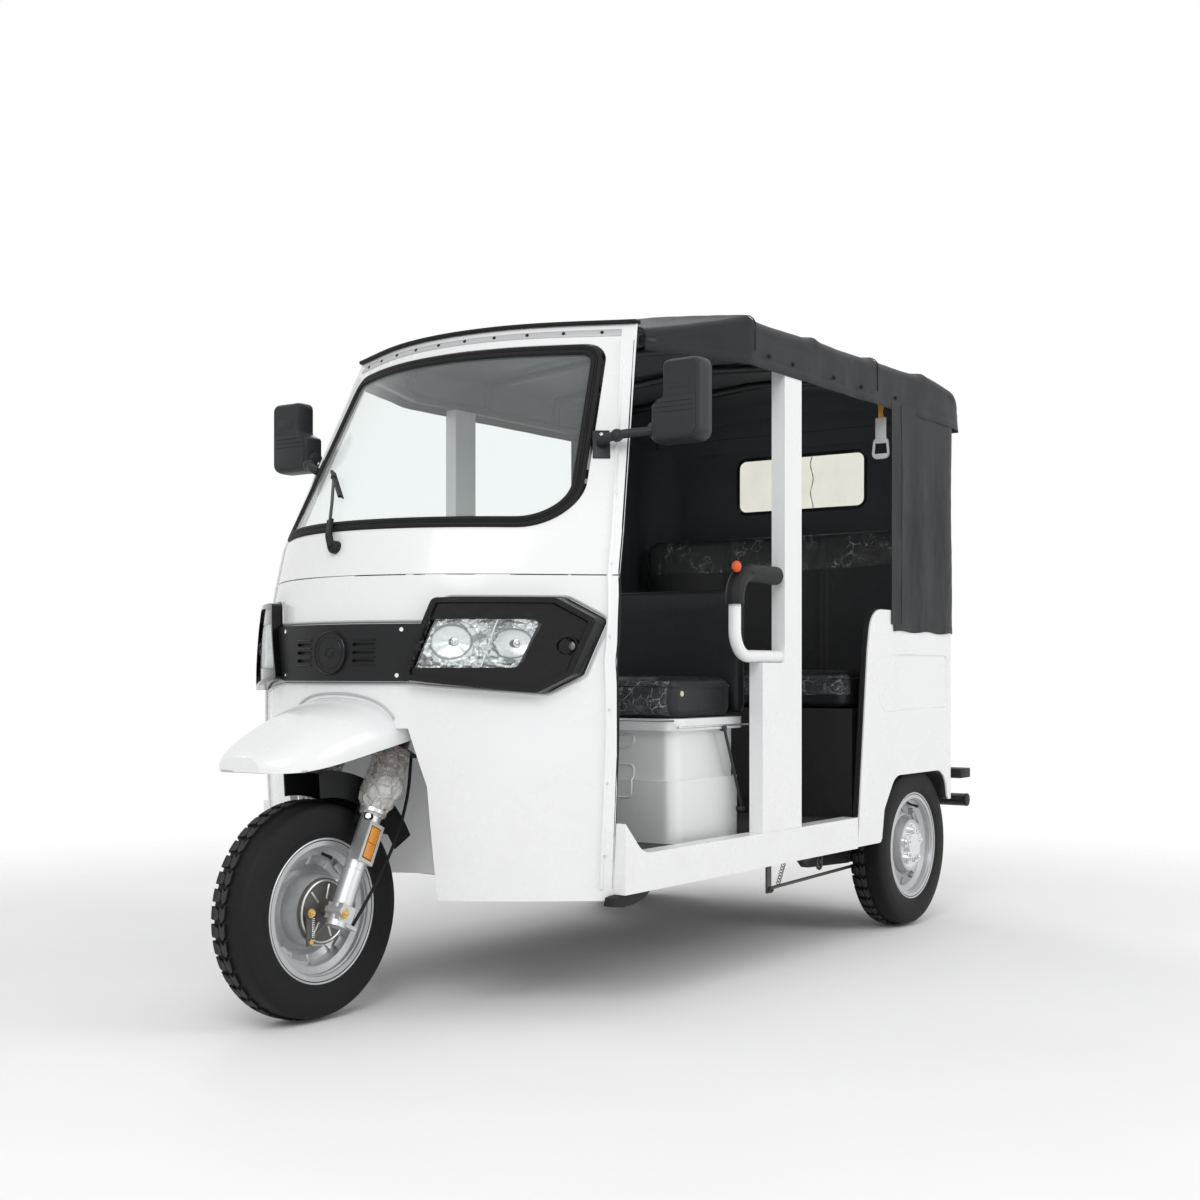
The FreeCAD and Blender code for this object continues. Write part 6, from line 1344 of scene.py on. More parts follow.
def lamp_chrome():
    """Vacuum-plated plastic: crumpled facets painted lighter and darker as painted reflections, with painted
    shade along their seams, and two smooth bowls, each with a dark bulb and a painted dark reflection round
    its rim.
    """
    look = Look("lamp_reflector_plating", Metallic=0.7)
    side = abs(look.axis("x"))
    high = look.axis("z")
    bowl, dark = 0.0, 0.0
    for (x, z), radius in zip(BOWLS, (0.044, 0.038)):
        away = ((side - x) ** 2.0 + (high - z) ** 2.0) ** 0.5
        inside = 1.0 - away.between(radius - 0.002, radius)
        # A dark spot round the bulb, and a painted dark reflection on the outer part of each bowl.
        rings = 1.0 - away.between(0.0085, 0.0115) + away.between(radius * 0.80, radius * 0.9) * inside * 0.75
        bowl = bowl + inside
        dark = dark + rings
    # Painted shade along the seams between the facets.
    seam = 1.0 - look.cells(34.0, "DISTANCE_TO_EDGE").between(0.0, 0.05)
    # Painted reflections: each facet gets its own tone, from grey to near white, as if it caught the light
    # differently.
    tone = look.add("TexVoronoi", {"feature": "F1"}, {"Vector": look.place, "Scale": 34.0}, "Color")
    shade = look.add("SeparateColor", {}, {0: tone}, "Red")
    crumpled = look.blend(shade.between(0.10, 0.45), rgb(0.42, 0.43, 0.45), rgb(0.94, 0.95, 0.96))
    field = look.blend(seam * 0.8, crumpled, rgb(0.22, 0.22, 0.24))
    smooth = look.blend(dark, rgb(0.86, 0.87, 0.88), rgb(0.10, 0.10, 0.11))
    look.put("Base Color", look.blend(bowl, field, smooth))
    look.put("Roughness", 0.18 + shade * 0.16)
    look.relief(look.cells(34.0) * 2.0 * (1.0 - bowl) + look.noise(160.0, 2.0) * 0.3, 0.5, 0.002)
    return look.material


LAMP_CHROME = lamp_chrome()


def fog_glass():
    """Smoky lens, painted by how squarely it faces the eye: dark towards its edge, with a small painted
    highlight in its middle.
    """
    look = Look("fog_lamp_glass", Coat_Weight=0.4, Coat_Roughness=0.03)
    rings = look.bands(210.0, "Z", 0.3)
    facing = look.add("LayerWeight", {}, {"Blend": 0.35}, "Facing")
    # Painted highlight: dark grey where the lens faces the eye, turning to near black towards its edge.
    look.put("Base Color",
             look.blend(facing.between(0.02, 0.10), rgb(0.16, 0.165, 0.17), rgb(0.012, 0.012, 0.013)))
    look.put("Roughness", 0.12 + rings * 0.08)
    look.relief(rings, 0.2, 0.0006)
    return look.material


def fog_lamps():
    """Round lamp sunk in each mask: socket ring and lens, whose bright centre is a painted highlight."""
    rings, lenses = [], []
    for side in (1.0, -1.0):
        at, _ = front(("lamp_bezels",), 0.528 * side, 0.898)
        way = Vector((0.18 * side, -1.0, 0.0)).normalized()
        ring = [(0.0, 0.0125), (0.0016, 0.0135), (0.0052, 0.0155), (0.0068, 0.0185), (0.0060, 0.0212),
                (0.0012, 0.0218), (0.0, 0.0218), (0.0, 0.0125)]
        rings.append(turned_at("fog_ring", ring, 40, aimed(at - way * 0.0008, way)))
        dome = [(0.0006 + 0.0048 * math.cos(a), 0.0126 * math.sin(a))
                for a in spread(0.0001, math.pi / 2.0 + 0.0001, 9)]
        lenses.append(turned_at("fog_dome", dome, 32, aimed(at, way)))
    done(one("fog_lamp_rings", rings), "gloss_black")
    done(one("fog_lamp_lenses", lenses), fog_glass(), "lamp_glass")


def grille_details():
    """Rings on the round cover, raised slats, and the four white screws."""
    parts = []
    for radius, wire in ((0.0505, 0.0022), (0.039, 0.0013), (0.012, 0.0016)):
        points = laid(("grille_panel",), [(a, BADGE_Z + b) for a, b in circle(72, radius)])
        parts.append(tube("cover_ring", points, wire, 2, 1, True))
    for side in (-1.0, 1.0):
        for level in (-0.0305, -0.0105, 0.0105, 0.0305):
            places = [(side * x, BADGE_Z + level) for x in spread(0.070, 0.132, 9)]
            line = laid(("grille_panel",), places, 0.0004)
            parts.append(tube("slat_edge", line, 0.0021, 2, 1))
    done(one("grille_trim", parts), "gloss_black", "black_plastic")
    corners = ((0.188, 0.828), (-0.188, 0.828), (0.196, 0.938), (-0.196, 0.938))
    spots = [front(("grille_panel",), x, z) for x, z in corners]
    done(screw_heads("grille_screws", spots, 0.0052, 0.0024, 14), "chrome", "white_paint")


# The fender's form as (share of its length, share of its half width, share of its rise at the lower edge)
FENDER_SPANS = ((0.0, 0.36, 0.0), (0.17, 0.78, 0.02), (0.45, 0.92, 0.30), (0.72, 0.98, 0.65), (1.0, 1.0, 1.0))


def fender_edge(share, side, drop=0.0, out=0.0):
    """A point on the fender's lower edge from its tip (0) to its root (1)."""
    for (a, half, low), (b, next_half, next_low) in zip(FENDER_SPANS, FENDER_SPANS[1:]):
        if share <= b:
            part = (share - a) / (b - a)
            half, low = half + (next_half - half) * part, low + (next_low - low) * part
            break
    return Vector((side * (0.172 * half + out), -1.416 + 0.402 * share, 0.606 + 0.066 * low - drop))


def fender_trim():
    """Rubber strip under the fender's edge, the pale lip at its nose and the bead at its root."""
    strips = []
    band = [(-0.0016, -0.002), (0.0105, -0.002), (0.0112, 0.0), (0.0105, 0.002), (-0.0016, 0.002)]
    for side in (1.0, -1.0):
        line = [fender_edge(share, side, -0.001, -0.0025) for share in spread(0.30, 0.995, 41)]
        ways = [Vector((side, -0.1, 0.0)).normalized()] * len(line)
        strips.append(beading("fender_strip", line, ways, band if side < 0 else flipped(band), False))
    done(one("fender_rubber", strips), "seal_rubber")
    root = []
    for k in range(33):
        turn = math.pi * k / 32.0
        x = 0.169 * math.cos(turn)
        z = 0.676 + 0.1055 * math.sin(turn) ** 0.8
        hit = touch(("front_fender",), (x * 0.985, -1.05, 1.2), DOWN) if 0 < k < 32 else None
        top = hit[0].z if hit else z
        wall = front(("front_panel",), x, top + 0.004)
        if wall:
            root.append(wall[0] + Vector((0.0, -0.0015, 0.0)))
    bead = tube("fender_root_bead", root, 0.0032, 2, 1)
    lip = []
    for share in spread(-1.0, 1.0, 25):
        side = 1.0 if share > 0 else -1.0
        lip.append(fender_edge(abs(share) * 0.26, side, -0.0010, -0.0006))
    nose_bead = tube("fender_lip_bead", lip, 0.0030, 2, 1)
    done(one("fender_beads", [bead, nose_bead]), "pale_trim", "white_paint")


def wiper_point(x, z, lift):
    """A point ahead of the cab's face."""
    return front(FRONT_SHELL, x, z)[0] + Vector(AHEAD) * lift


def wiper_set():
    """Pivot cap, sprung arm with a hinge, beam and rubber blade."""
    foot = wiper_point(-0.039, 1.146, 0.0)
    knob = [(-0.012, 0.0155), (0.010, 0.0165), (0.0165, 0.0150), (0.0205, 0.0095), (0.0215, 0.0002)]
    cap = turned_at("wiper_cap", knob, 28, aimed(foot, AHEAD))
    route = [(-0.039, 1.146), (-0.058, 1.178), (-0.084, 1.218), (-0.120, 1.268), (-0.158, 1.312),
             (-0.186, 1.342)]
    line = [wiper_point(x, z, 0.0215) for x, z in route]
    line[0] = foot + Vector((0.0, -0.0205, 0.0))
    tip = wiper_point(-0.190, 1.345, 0.0205)
    end = wiper_point(-0.100, 1.283, 0.0205)
    blade = evenly([tip + (tip - end) * 0.34, tip, end], 24, False)

    def bar(name, path, section):
        return beading(name, path, [Vector((0.0, -1.0, 0.35)).normalized()] * len(path), section, False)

    shoe = bar("arm_shoe", evenly(line[:3], 12, False),
               [(-0.0095, -0.004), (-0.0095, 0.002), (-0.006, 0.0055), (0.006, 0.0055), (0.0095, 0.002),
                (0.0095, -0.004)])
    arm = bar("arm_bar", evenly(line[2:], 20, False),
              [(-0.0042, -0.0018), (-0.0042, 0.0018), (0.0042, 0.0018), (0.0042, -0.0018)])
    beam = bar("blade_beam", blade,
               [(-0.0038, -0.003), (-0.0038, 0.0036), (0.0, 0.0056), (0.0038, 0.0036), (0.0038, -0.003)])
    wing = bar("blade_rubber", [at + Vector((0.0, 0.0085, -0.002)) for at in blade],
               [(-0.0011, -0.0065), (-0.0016, 0.006), (0.0016, 0.006), (0.0011, -0.0065)])
    hinge = rod("wiper_hinge", tip + Vector((0.0, 0.004, 0.0)), tip + Vector((0.0, -0.0065, 0.0)), 0.0062, 18)
    black = one("wiper_black", [cap, shoe, beam, wing, hinge])
    done(black, "black_plastic")
    done(arm, "gloss_black", "black_plastic")
    arm.name = arm.data.name = "wiper_arm"
    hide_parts("wiper")


def headliner():
    """Dark lining board under the cab's roof."""
    low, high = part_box("cab_roof")
    starts = {}

    def place(u, v):
        x = (low.x + 0.060) + (high.x - low.x - 0.120) * u
        if x not in starts:
            starts[x] = front(("cab_frame",), x, 1.715)[0].y + 0.034
        y = starts[x] + (high.y - 0.010 - starts[x]) * v
        found = touch(("cab_roof",), (x, y, 1.45), UP)
        z = found[0].z if found else 1.70
        return Vector((x, y, z - 0.0035 - 0.0008 * wave(x, y, 0.0, 6.0)))

    board = net("roof_lining", 48, 22, place)
    thick(board, 0.002, 0.0)
    done(board, "canopy_fabric", smooth=50.0)


screen_seal()
headliner()
header_strip()
door_edges()
mask_line()
head_lamps()
fog_lamps()
grille_details()
fender_trim()
wiper_set()


# Cushions and backrests

PAD_PRESSURE, PAD_FRAMES = 4.0, 20


def swollen(piece, voxel, cap):
    """Rebuilds a pad as even cells and lets air pressure round it, each point moving at most the cap."""
    modify(piece, "REMESH", mode="VOXEL", voxel_size=voxel)
    before = [vertex.co.copy() for vertex in piece.data.vertices]
    alone(piece)
    bpy.ops.object.modifier_add(type="CLOTH")
    cloth = piece.modifiers[-1]
    cloth.settings.use_pressure = True
    cloth.settings.uniform_pressure_force = PAD_PRESSURE
    cloth.settings.effector_weights.gravity = 0.0
    cloth.settings.quality = 4
    cloth.point_cache.frame_start = 1
    cloth.point_cache.frame_end = PAD_FRAMES
    scene = bpy.context.scene
    for step in range(1, PAD_FRAMES + 1):
        scene.frame_set(step)
    solved = piece.evaluated_get(bpy.context.evaluated_depsgraph_get())
    after = [vertex.co.copy() for vertex in solved.data.vertices]
    piece.modifiers.remove(cloth)
    scene.frame_set(1)
    for vertex, old, new in zip(piece.data.vertices, before, after):
        move = new - old
        if move.length > cap:
            move = move * (cap / move.length)
        vertex.co = old + move
    return piece


def pad(name, low, high, corner, ease, voxel, cap, shape):
    """A block a little smaller than its space, shaped as given, then filled out."""
    corner_test, corner_width = corner
    piece = slab(name, low, high, 0.0)
    with editing(piece):
        pick(piece, "EDGE", corner_test)
        bpy.ops.mesh.bevel(offset=corner_width, segments=5, affect="EDGES")
    eased(piece, ease, 3)
    with editing(piece):
        bpy.ops.mesh.select_all(action="SELECT")
        bpy.ops.mesh.subdivide(number_cuts=1)
    swollen(piece, voxel, cap)
    for vertex in piece.data.vertices:
        vertex.co = shape(vertex.co)
    return piece


def kept_within(low, high, piece):
    """Keeps the pad in the space of its solid."""
    for vertex in piece.data.vertices:
        vertex.co = Vector(max(a, min(b, c)) for a, b, c in zip(low, high, vertex.co))
    return piece


def sewn_vinyl(name, channels, along_letter):
    """Seat vinyl with leather grain, and stitched channels at these side places, running along one axis."""
    look = Look(name, Coat_Weight=0.08, Coat_Roughness=0.25, Specular_IOR_Level=0.25)
    grain = look.cells(380.0, "SMOOTH_F1")
    wrinkle = look.noise(9.0, 6.0, 0.62)
    fine = look.noise(60.0, 5.0, 0.7)
    dash = (look.axis(along_letter) * 900.0).sine().over(-0.1)
    groove, thread = 0.0, 0.0
    for at in channels:
        off = abs(look.axis("x") - at)
        groove = groove + (1.0 - off.between(0.0, 0.011))
        thread = thread + (1.0 - off.between(0.0008, 0.0016)) * dash
    colour = rgb(0.014, 0.015, 0.017)
    rubbed = wrinkle.between(0.5, 0.8) * 0.45 + fine.between(0.6, 0.9) * 0.2
    base = look.blend(rubbed, colour, toned(colour, 1.9, 0.004))
    look.put("Base Color", look.blend(thread * 0.6, base, rgb(0.05, 0.05, 0.052)))
    look.relief(grain * 0.6 + wrinkle * 9.0 + fine - groove * 7.0 + thread, 0.4, 0.0008)
    look.put("Roughness", 0.32 + wrinkle * 0.16 + grain * 0.1)
    return look.material


# Side places of the stitched channels: a place beyond the pad's side leaves the pad plain.
PLAIN, TWO_CHANNELS = (-0.9,), (-0.193, 0.193)


MOST_PAD_FACES = 90000


def seat_pads():
    """Driver's and passengers' cushions and backrests, by node."""
    made = {}
    for node, shrink, cap, voxel, channels in (
            ("driver_cushion", 0.007, 0.009, 0.009, PLAIN),
            ("driver_backrest", 0.008, 0.006, 0.009, PLAIN),
            ("passenger_cushion", 0.008, 0.010, 0.011, TWO_CHANNELS),
            ("passenger_backrest", 0.012, 0.010, 0.010, TWO_CHANNELS)):
        cushion = "cushion" in node
        low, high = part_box(node)
        small_low, small_high = low + Vector((shrink,) * 3), high - Vector((shrink,) * 3)
        small_low.z = low.z + (0.003 if cushion else 0.004)
        if not cushion:
            small_high.y = high.y - 0.003

        def upright(at, way):
            return abs(way.z) > 0.01 and abs(way.x) + abs(way.y) < 1e-4

        def top_end(at, way, top=high.z):
            return abs(way.y) > 0.01 and abs(way.x) + abs(way.z) < 1e-4 and at.z > top - 0.05

        def shape(at, cushion=cushion, low=low, high=high, channels=channels):
            near = min(abs(at.x - c) for c in channels)
            dip = 0.0055 * math.exp(-(near / 0.010) ** 2)
            if cushion:
                up = max(0.0, (at.z - low.z) / (high.z - low.z) - 0.72) / 0.28
                sag = 0.006 * (1.0 - ((at.x / high.x) ** 2)) * wave(at.x, at.y, 0.3, 5.0)
                return at + Vector((0.0, 0.0, -(dip + abs(sag)) * up))
            ahead = max(0.0, 1.0 - (at.y - low.y) / (high.y - low.y) - 0.6) / 0.4
            return at + Vector((0.0, dip * ahead, 0.0))

        corner = (upright, 0.045) if cushion else (top_end, 0.05)
        piece = pad(node + "_pad", small_low, small_high, corner, 0.020 if cushion else 0.016, voxel, cap,
                    shape)
        kept_within(low, high, piece)
        modify(piece, "SUBSURF", levels=1, render_levels=1)
        if len(piece.data.polygons) > MOST_PAD_FACES:
            modify(piece, "DECIMATE", ratio=0.55)
        vinyl_look = sewn_vinyl(node + "_vinyl", channels, "y" if cushion else "z")
        done(piece, vinyl_look, "seat_vinyl", smooth=60.0)
        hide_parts(node)
        made[node] = piece
    return made


PADS = seat_pads()


def welt(node, level, inset, corner):
    """Piping round a cushion's upper edge."""
    low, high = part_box(node)
    outline = rounded([(low.x + inset, low.y + inset), (high.x - inset, low.y + inset),
                       (high.x - inset, high.y - inset), (low.x + inset, high.y - inset)], [corner] * 4, 8)
    outline = evenly(outline, 140)
    line = []
    middle = Vector(((low.x + high.x) / 2.0, (low.y + high.y) / 2.0, 0.0))
    for at in outline:
        origin = Vector((at.x, at.y, level))
        way = (Vector((at.x, at.y, 0.0)) - middle).normalized()
        side = Vector((way.x * 0.35 * abs(way.x), way.y, 0.0)).normalized()
        hit, place, normal, _ = PADS[node].ray_cast(origin + side * 0.3, -side)
        line.append(place + normal * 0.0006 if hit else origin)
    piece = tube(node + "_welt", line, 0.0042, 2, 2, True)
    return done(piece, "seat_vinyl")


welt("driver_cushion", 0.797, 0.010, 0.05)
welt("passenger_cushion", 0.814, 0.012, 0.05)


# Fork, springs, brake and rims

RAKE = math.radians(26.0)
FORK = Matrix((
    (1.0, 0.0, 0.0, 0.0),
    (0.0, math.cos(RAKE), math.sin(RAKE), FRONT_AXLE_Y),
    (0.0, -math.sin(RAKE), math.cos(RAKE), AXLE_HEIGHT),
    (0.0, 0.0, 0.0, 1.0)))
LEG_X = 0.104


def fork_at(x, back, up):
    """A place given square to the raked fork, from the front axle's middle."""
    return FORK @ Vector((x, back, up))


def fork_springs():
    """Coil springs round both inner tubes."""
    coils = []
    for side in (1.0, -1.0):
        line = [fork_at(side * LEG_X + a, b, 0.2662 + 0.159 * share) for a, b, share in coil(7.0, 98, 0.0295)]
        coils.append(tube("fork_coil", line, 0.0044, 3, 2))
    springs = one("fork_coils", coils)
    done(springs, "spring_steel", body="steering", smooth=60.0)
    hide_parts("fork_springs")
    return springs


WRAP_SHAPE = ((0.0, 0.0275), (0.12, 0.034), (0.30, 0.050), (0.44, 0.060), (0.52, 0.056), (0.62, 0.046),
              (1.0, 0.043))


def spring_wraps(springs):
    """Crinkled clear film left round the springs: a loose skirt drawn in on the slider."""
    for side, name in ((1.0, "left"), (-1.0, "right")):
        def place(u, v, side=side):
            turn = u * math.tau
            for (a, low), (b, high) in zip(WRAP_SHAPE, WRAP_SHAPE[1:]):
                if v <= b:
                    swell = low + (high - low) * (v - a) / (b - a)
                    break
            outer = math.cos(turn) * side
            if swell > 0.0395:
                swell = 0.0395 + (swell - 0.0395) * (0.55 + 0.45 * outer)
            loose = min(1.0, v / 0.2)
            crumple = wave(math.cos(turn), math.sin(turn), v * 3.0 + side, 2.6) * 0.0055 * loose
            crease = (abs(math.sin(turn * 6.0 + v * 8.0 + side)) - 0.5) * 0.0040 * loose
            fine = wave(math.cos(turn) * 2.0, math.sin(turn) * 2.0, v * 7.0, 3.1) * 0.0024
            radius = max(0.0262, swell + crumple + crease + fine)
            return fork_at(side * LEG_X + radius * math.cos(turn), radius * math.sin(turn), 0.246 + 0.176 * v)

        wrap = closed_up(net("spring_wrap_" + name, 72, 40, place))
        thick(wrap, 0.0003)
        done(wrap, CRINKLED_FILM, "lamp_glass", "steering", 70.0)


def crinkled_film():
    """Thin film: milky where it is bunched low down, clearer above, with painted highlights along its
    creases.
    """
    look = Look("crinkled_film", Roughness=0.16, Base_Color=(0.80, 0.80, 0.77, 1.0), Specular_IOR_Level=0.8)
    crease = look.cells(38.0, "DISTANCE_TO_EDGE")
    fold = 1.0 - crease.between(0.0, 0.10)
    soft = look.noise(34.0, 6.0, 0.75)
    low = 1.0 - look.axis("z").between(0.545, 0.600)
    # The creases get a share of the pale opaque shader: painted highlights along them.
    share = fold * 0.25 + soft.between(0.5, 0.72) * 0.25 + 0.16 + low * 0.42
    look.see_through(share, rgb(0.95, 0.95, 0.94))
    look.relief(fold + soft * 2.0, 1.0, 0.004)
    return look.material


CRINKLED_FILM = crinkled_film()


def reflectors():
    """Amber reflector in two halves, in its cream frame on a dark gasket, on each leg's outer side."""
    frames, gaskets, ambers = [], [], []
    x = 0.1282
    for side in (1.0, -1.0):
        for group, thickness, half, low, high, ease in (
                (frames, 0.0044, 0.0208, 0.1332, 0.2228, 0.0012),
                (gaskets, 0.0050, 0.0172, 0.1368, 0.2192, 0.0004),
                (ambers, 0.0062, 0.0150, 0.1392, 0.1774, 0.0012),
                (ambers, 0.0062, 0.0150, 0.1782, 0.2168, 0.0012)):
            piece = slab("reflector", *sided((x, -half, low), (x + thickness, half, high), side), ease)
            piece.data.transform(FORK)
            group.append(piece)
    done(one("reflector_frames", frames), "cream_plastic", "amber_lens", "steering")
    done(one("reflector_gaskets", gaskets), "black_plastic", body="steering")
    lens = one("reflector_lenses", ambers)
    done(lens, "amber_lens", body="steering")
    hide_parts("fork_reflectors")


def fork_hardware():
    """Brass pinch nuts at the feet, stay bolts at the guard, rings round the sliders and dust lips."""
    brass, bright, dark = [], [], []
    for side in (1.0, -1.0):
        foot = touch(("fork_legs",), (0.4 * side, FRONT_AXLE_Y, AXLE_HEIGHT), (-side, 0.0, 0.0))[0]
        spin = Vector((side, 0.0, 0.0))
        low = fork_at(foot.x, -0.012, -0.003)
        brass.append(screw_heads("pinch_nut", [(low, spin)], 0.0105, 0.0078, 6, False))
        brass.append(screw_heads("pinch_washer", [(low, spin)], 0.0138, 0.0020, 22, False))
        brass.append(rod("pinch_stud", low, low + spin * 0.0125, 0.0046, 14, 0.0008))
        stay = fork_at(side * 0.1165, -0.0215, 0.238)
        out = (FORK.to_3x3() @ Vector((side * 0.55, -0.85, 0.0))).normalized()
        bright.append(screw_heads("stay_bolt", [(stay, out)], 0.0070, 0.0058, 6, False))
        dark.append(screw_heads("stay_washer", [(stay - out * 0.0012, out)], 0.0115, 0.0024, 20, False))
        lip = [(0.0, 0.0275), (0.0022, 0.0285), (0.0062, 0.0270), (0.0075, 0.0215), (0.0075, 0.0165),
               (0.0, 0.0165), (0.0, 0.0275)]
        dark.append(turned_at("dust_lip", lip, 32, FORK @ Matrix.Translation((side * LEG_X, 0.0, 0.2612))))
        for up in (0.02, 0.108):
            line = [fork_at(side * LEG_X + a, b, up) for a, b in circle(32, 0.0252)]
            bright.append(tube("slider_ring", line, 0.0011, 2, 1, True))
    done(one("fork_pinch_nuts", brass), "brass", "brake_steel", "steering")
    done(one("fork_bolts", bright), "fork_alloy", body="steering")
    done(one("fork_dust_lips", dark), "seal_rubber", body="steering")


def front_brake():
    """Nuts on the cam and the lever's foot, the rod's return spring, and the plate's stamped ribs."""
    out = Vector(LEFT)
    cam = touch(("front_axle",), (0.098, -1.257, 0.268), RIGHT)[0]
    foot = touch(("front_axle",), (0.098, -1.257, 0.200), RIGHT)[0]
    brass = [screw_heads("cam_nut", [(cam, out)], 0.0085, 0.0065, 6, False),
             screw_heads("cam_washer", [(cam, out)], 0.0112, 0.0018, 20, False),
             screw_heads("foot_nut", [(foot, out)], 0.0068, 0.0055, 6, False),
             rod("cam_stud", cam, cam + out * 0.011, 0.0036, 12, 0.0006)]
    done(one("brake_nuts", brass), "brass", "brake_steel", "steering")
    line = [cam + Vector((a - 0.006, 0.0118 + b, -0.010 - 0.048 * share))
            for a, b, share in coil(11.0, 88, 0.0055)]
    done(tube("brake_return_spring", line, 0.0009, 1, 1), "chrome", "brake_steel", "steering", 60.0)
    ribs = []
    plate_x = 0.0521
    centre = Vector(WHEEL_PLACES["front_wheel"])
    for turn in (20.0, 75.0, 130.0, 235.0, 290.0):
        way = Vector((0.0, math.cos(math.radians(turn)), math.sin(math.radians(turn))))
        a, b = centre + way * 0.030, centre + way * 0.066
        found = touch(("front_axle",), (0.15, a.y, a.z), RIGHT)
        a.x = b.x = found[0].x if found and found[0].x < 0.062 else plate_x
        ribs.append(rod("plate_rib", a, b, 0.0030, 12, 0.001))
    ring = [centre + Vector((plate_x, a, b)) for a, b in circle(64, 0.0735)]
    ribs.append(tube("plate_rim", ring, 0.0028, 2, 1, True))
    done(one("brake_plate_ribs", ribs), "fork_alloy", body="steering")


def rim_tabs(body, side):
    """Pressed tabs spaced round the disc, as on the real wheel, and the flange's second step."""
    centre = Vector(WHEEL_PLACES[body])
    found = touch((body + "_rim",), centre + Vector((side * 0.3, 0.132, 0.0)), (-side, 0.0, 0.0))
    depth = found[0].x - centre.x if found else side * 0.01
    corners = [(-0.017, 0.118), (0.017, 0.118), (0.011, 0.142), (-0.011, 0.142)]
    outline = rounded(corners, [0.004, 0.004, 0.006, 0.006], 3)
    back = depth - side * 0.002
    tab = extruded("rim_tab", [(back, at.x, at.y) for at in outline], (side * 0.006, 0.0, 0.0))
    eased(tab, 0.0022, 3)
    pieces = []
    for angle in (45.0, 135.0, 225.0, 315.0):
        pieces.append(again(tab, Matrix.Translation(centre) @ Matrix.Rotation(math.radians(angle), 4, "X")))
    bpy.data.objects.remove(tab)
    bead = [(side * 0.0400 + a, 0.1535 + b) for a, b in circle(8, 0.0020, 0.0022)]
    pieces.append(turned("rim_step", bead + bead[:1], centre, 96))
    name = body + ("_rim_tabs_a" if side > 0 else "_rim_tabs_b")
    done(one(name, pieces), RIM_LOOKS[body], "silver_rim", body, 40.0)


def rim_look(name, centre):
    """Silver paint with brighter machined hub lobes and brake dust in the well."""
    look = Look(name, Coat_Weight=0.3, Coat_Roughness=0.1)
    radius = look.from_axle(centre)
    hub = 1.0 - radius.between(0.072, 0.076)
    dust = look.noise(14.0, 6.0, 0.7).between(0.45, 0.8) * (1.0 - radius.between(0.150, 0.170))
    paint = look.blend(dust * 0.45, rgb(0.50, 0.51, 0.52), rgb(0.27, 0.265, 0.26))
    look.put("Base Color",
             look.blend(hub, paint, look.blend(dust, rgb(0.74, 0.75, 0.76), rgb(0.42, 0.42, 0.42))))
    look.put("Metallic", 0.45 + hub * 0.5)
    look.put("Roughness", 0.32 + dust * 0.2 - hub * 0.12)
    look.relief(look.noise(260.0, 3.0) + look.noise(22.0, 4.0) * 4.0, 0.12, 0.0005)
    return look.material


RIM_LOOKS = {body: rim_look(body + "_rim_paint", centre) for body, centre in WHEEL_PLACES.items()}

for wheel in WHEEL_PLACES:
    dressed(frame["nodes"][wheel + "_rim"], RIM_LOOKS[wheel])

spring_wraps(fork_springs())
reflectors()
fork_hardware()
front_brake()
rim_tabs("front_wheel", 1.0)
rim_tabs("rear_wheel_left", 1.0)
rim_tabs("rear_wheel_right", -1.0)


# Mirrors, straps, body trims, lamps at the rear, seat box and films

MIRROR_EDGE = [(0.6155, 1.400), (0.7615, 1.400), (0.7615, 1.606), (0.6495, 1.606), (0.6495, 1.515),
               (0.6155, 1.498)]
MIRROR_SHELL = [(0.0095, -0.5905), (0.0085, -0.5855), (0.0060, -0.5840), (0.0015, -0.5855), (0.0, -0.5890),
                (0.0, -0.6120), (0.0012, -0.6300), (0.0045, -0.6400), (0.0095, -0.6448)]


def plate(name, outline, low, high, ease=0.0):
    """A flat plate in X and Z with this outline, from low to high in Y."""
    piece = extruded(name, [(x, low, z) for x, z in outline], (0.0, high - low, 0.0))
    return eased(piece, ease, 2) if ease else piece


def side_on(x):
    """The matrix that stands a plate from X and Z up in Y and Z, from a side place on."""
    return Matrix(((0.0, 1.0, 0.0, x), (1.0, 0.0, 0.0, 0.0), (0.0, 0.0, 1.0, 0.0), (0.0, 0.0, 0.0, 1.0)))


def mirror_head():
    """Housing of the left mirror: swept shell, raised lower panel with three ribs, and its glass."""
    around = 120
    outline = evenly(rounded(MIRROR_EDGE, [0.018, 0.028, 0.024, 0.020, 0.005, 0.010], 8), around)
    rings = [inset_ring(outline, off) for off, _ in MIRROR_SHELL]
    count = len(MIRROR_SHELL) - 1

    def place(u, v):
        k = round(v * count)
        at = rings[k][round(u * around) % around]
        return Vector((at.x, MIRROR_SHELL[k][1], at.y))

    shell = capped(closed_up(net("mirror_shell", around, count, place)))
    panel = [(0.627, 1.412), (0.750, 1.412), (0.750, 1.512), (0.642, 1.508), (0.627, 1.492)]
    field = [(0.672, 1.530), (0.730, 1.530), (0.730, 1.556), (0.672, 1.556)]
    parts = [shell,
             plate("mirror_panel", rounded(panel, [0.012, 0.020, 0.006, 0.006, 0.008], 5), -0.6468, -0.6430,
                   0.0014),
             plate("mirror_field", rounded(field, [0.003] * 4, 3), -0.6455, -0.6430, 0.0005)]
    for z in (1.498, 1.486, 1.474):
        parts.append(slab("mirror_rib", (0.632, -0.6482, z), (0.744, -0.6455, z + 0.0024), 0.0008))
    return parts, plate("mirror_glass_plate", rings[0], -0.5915, -0.5895)


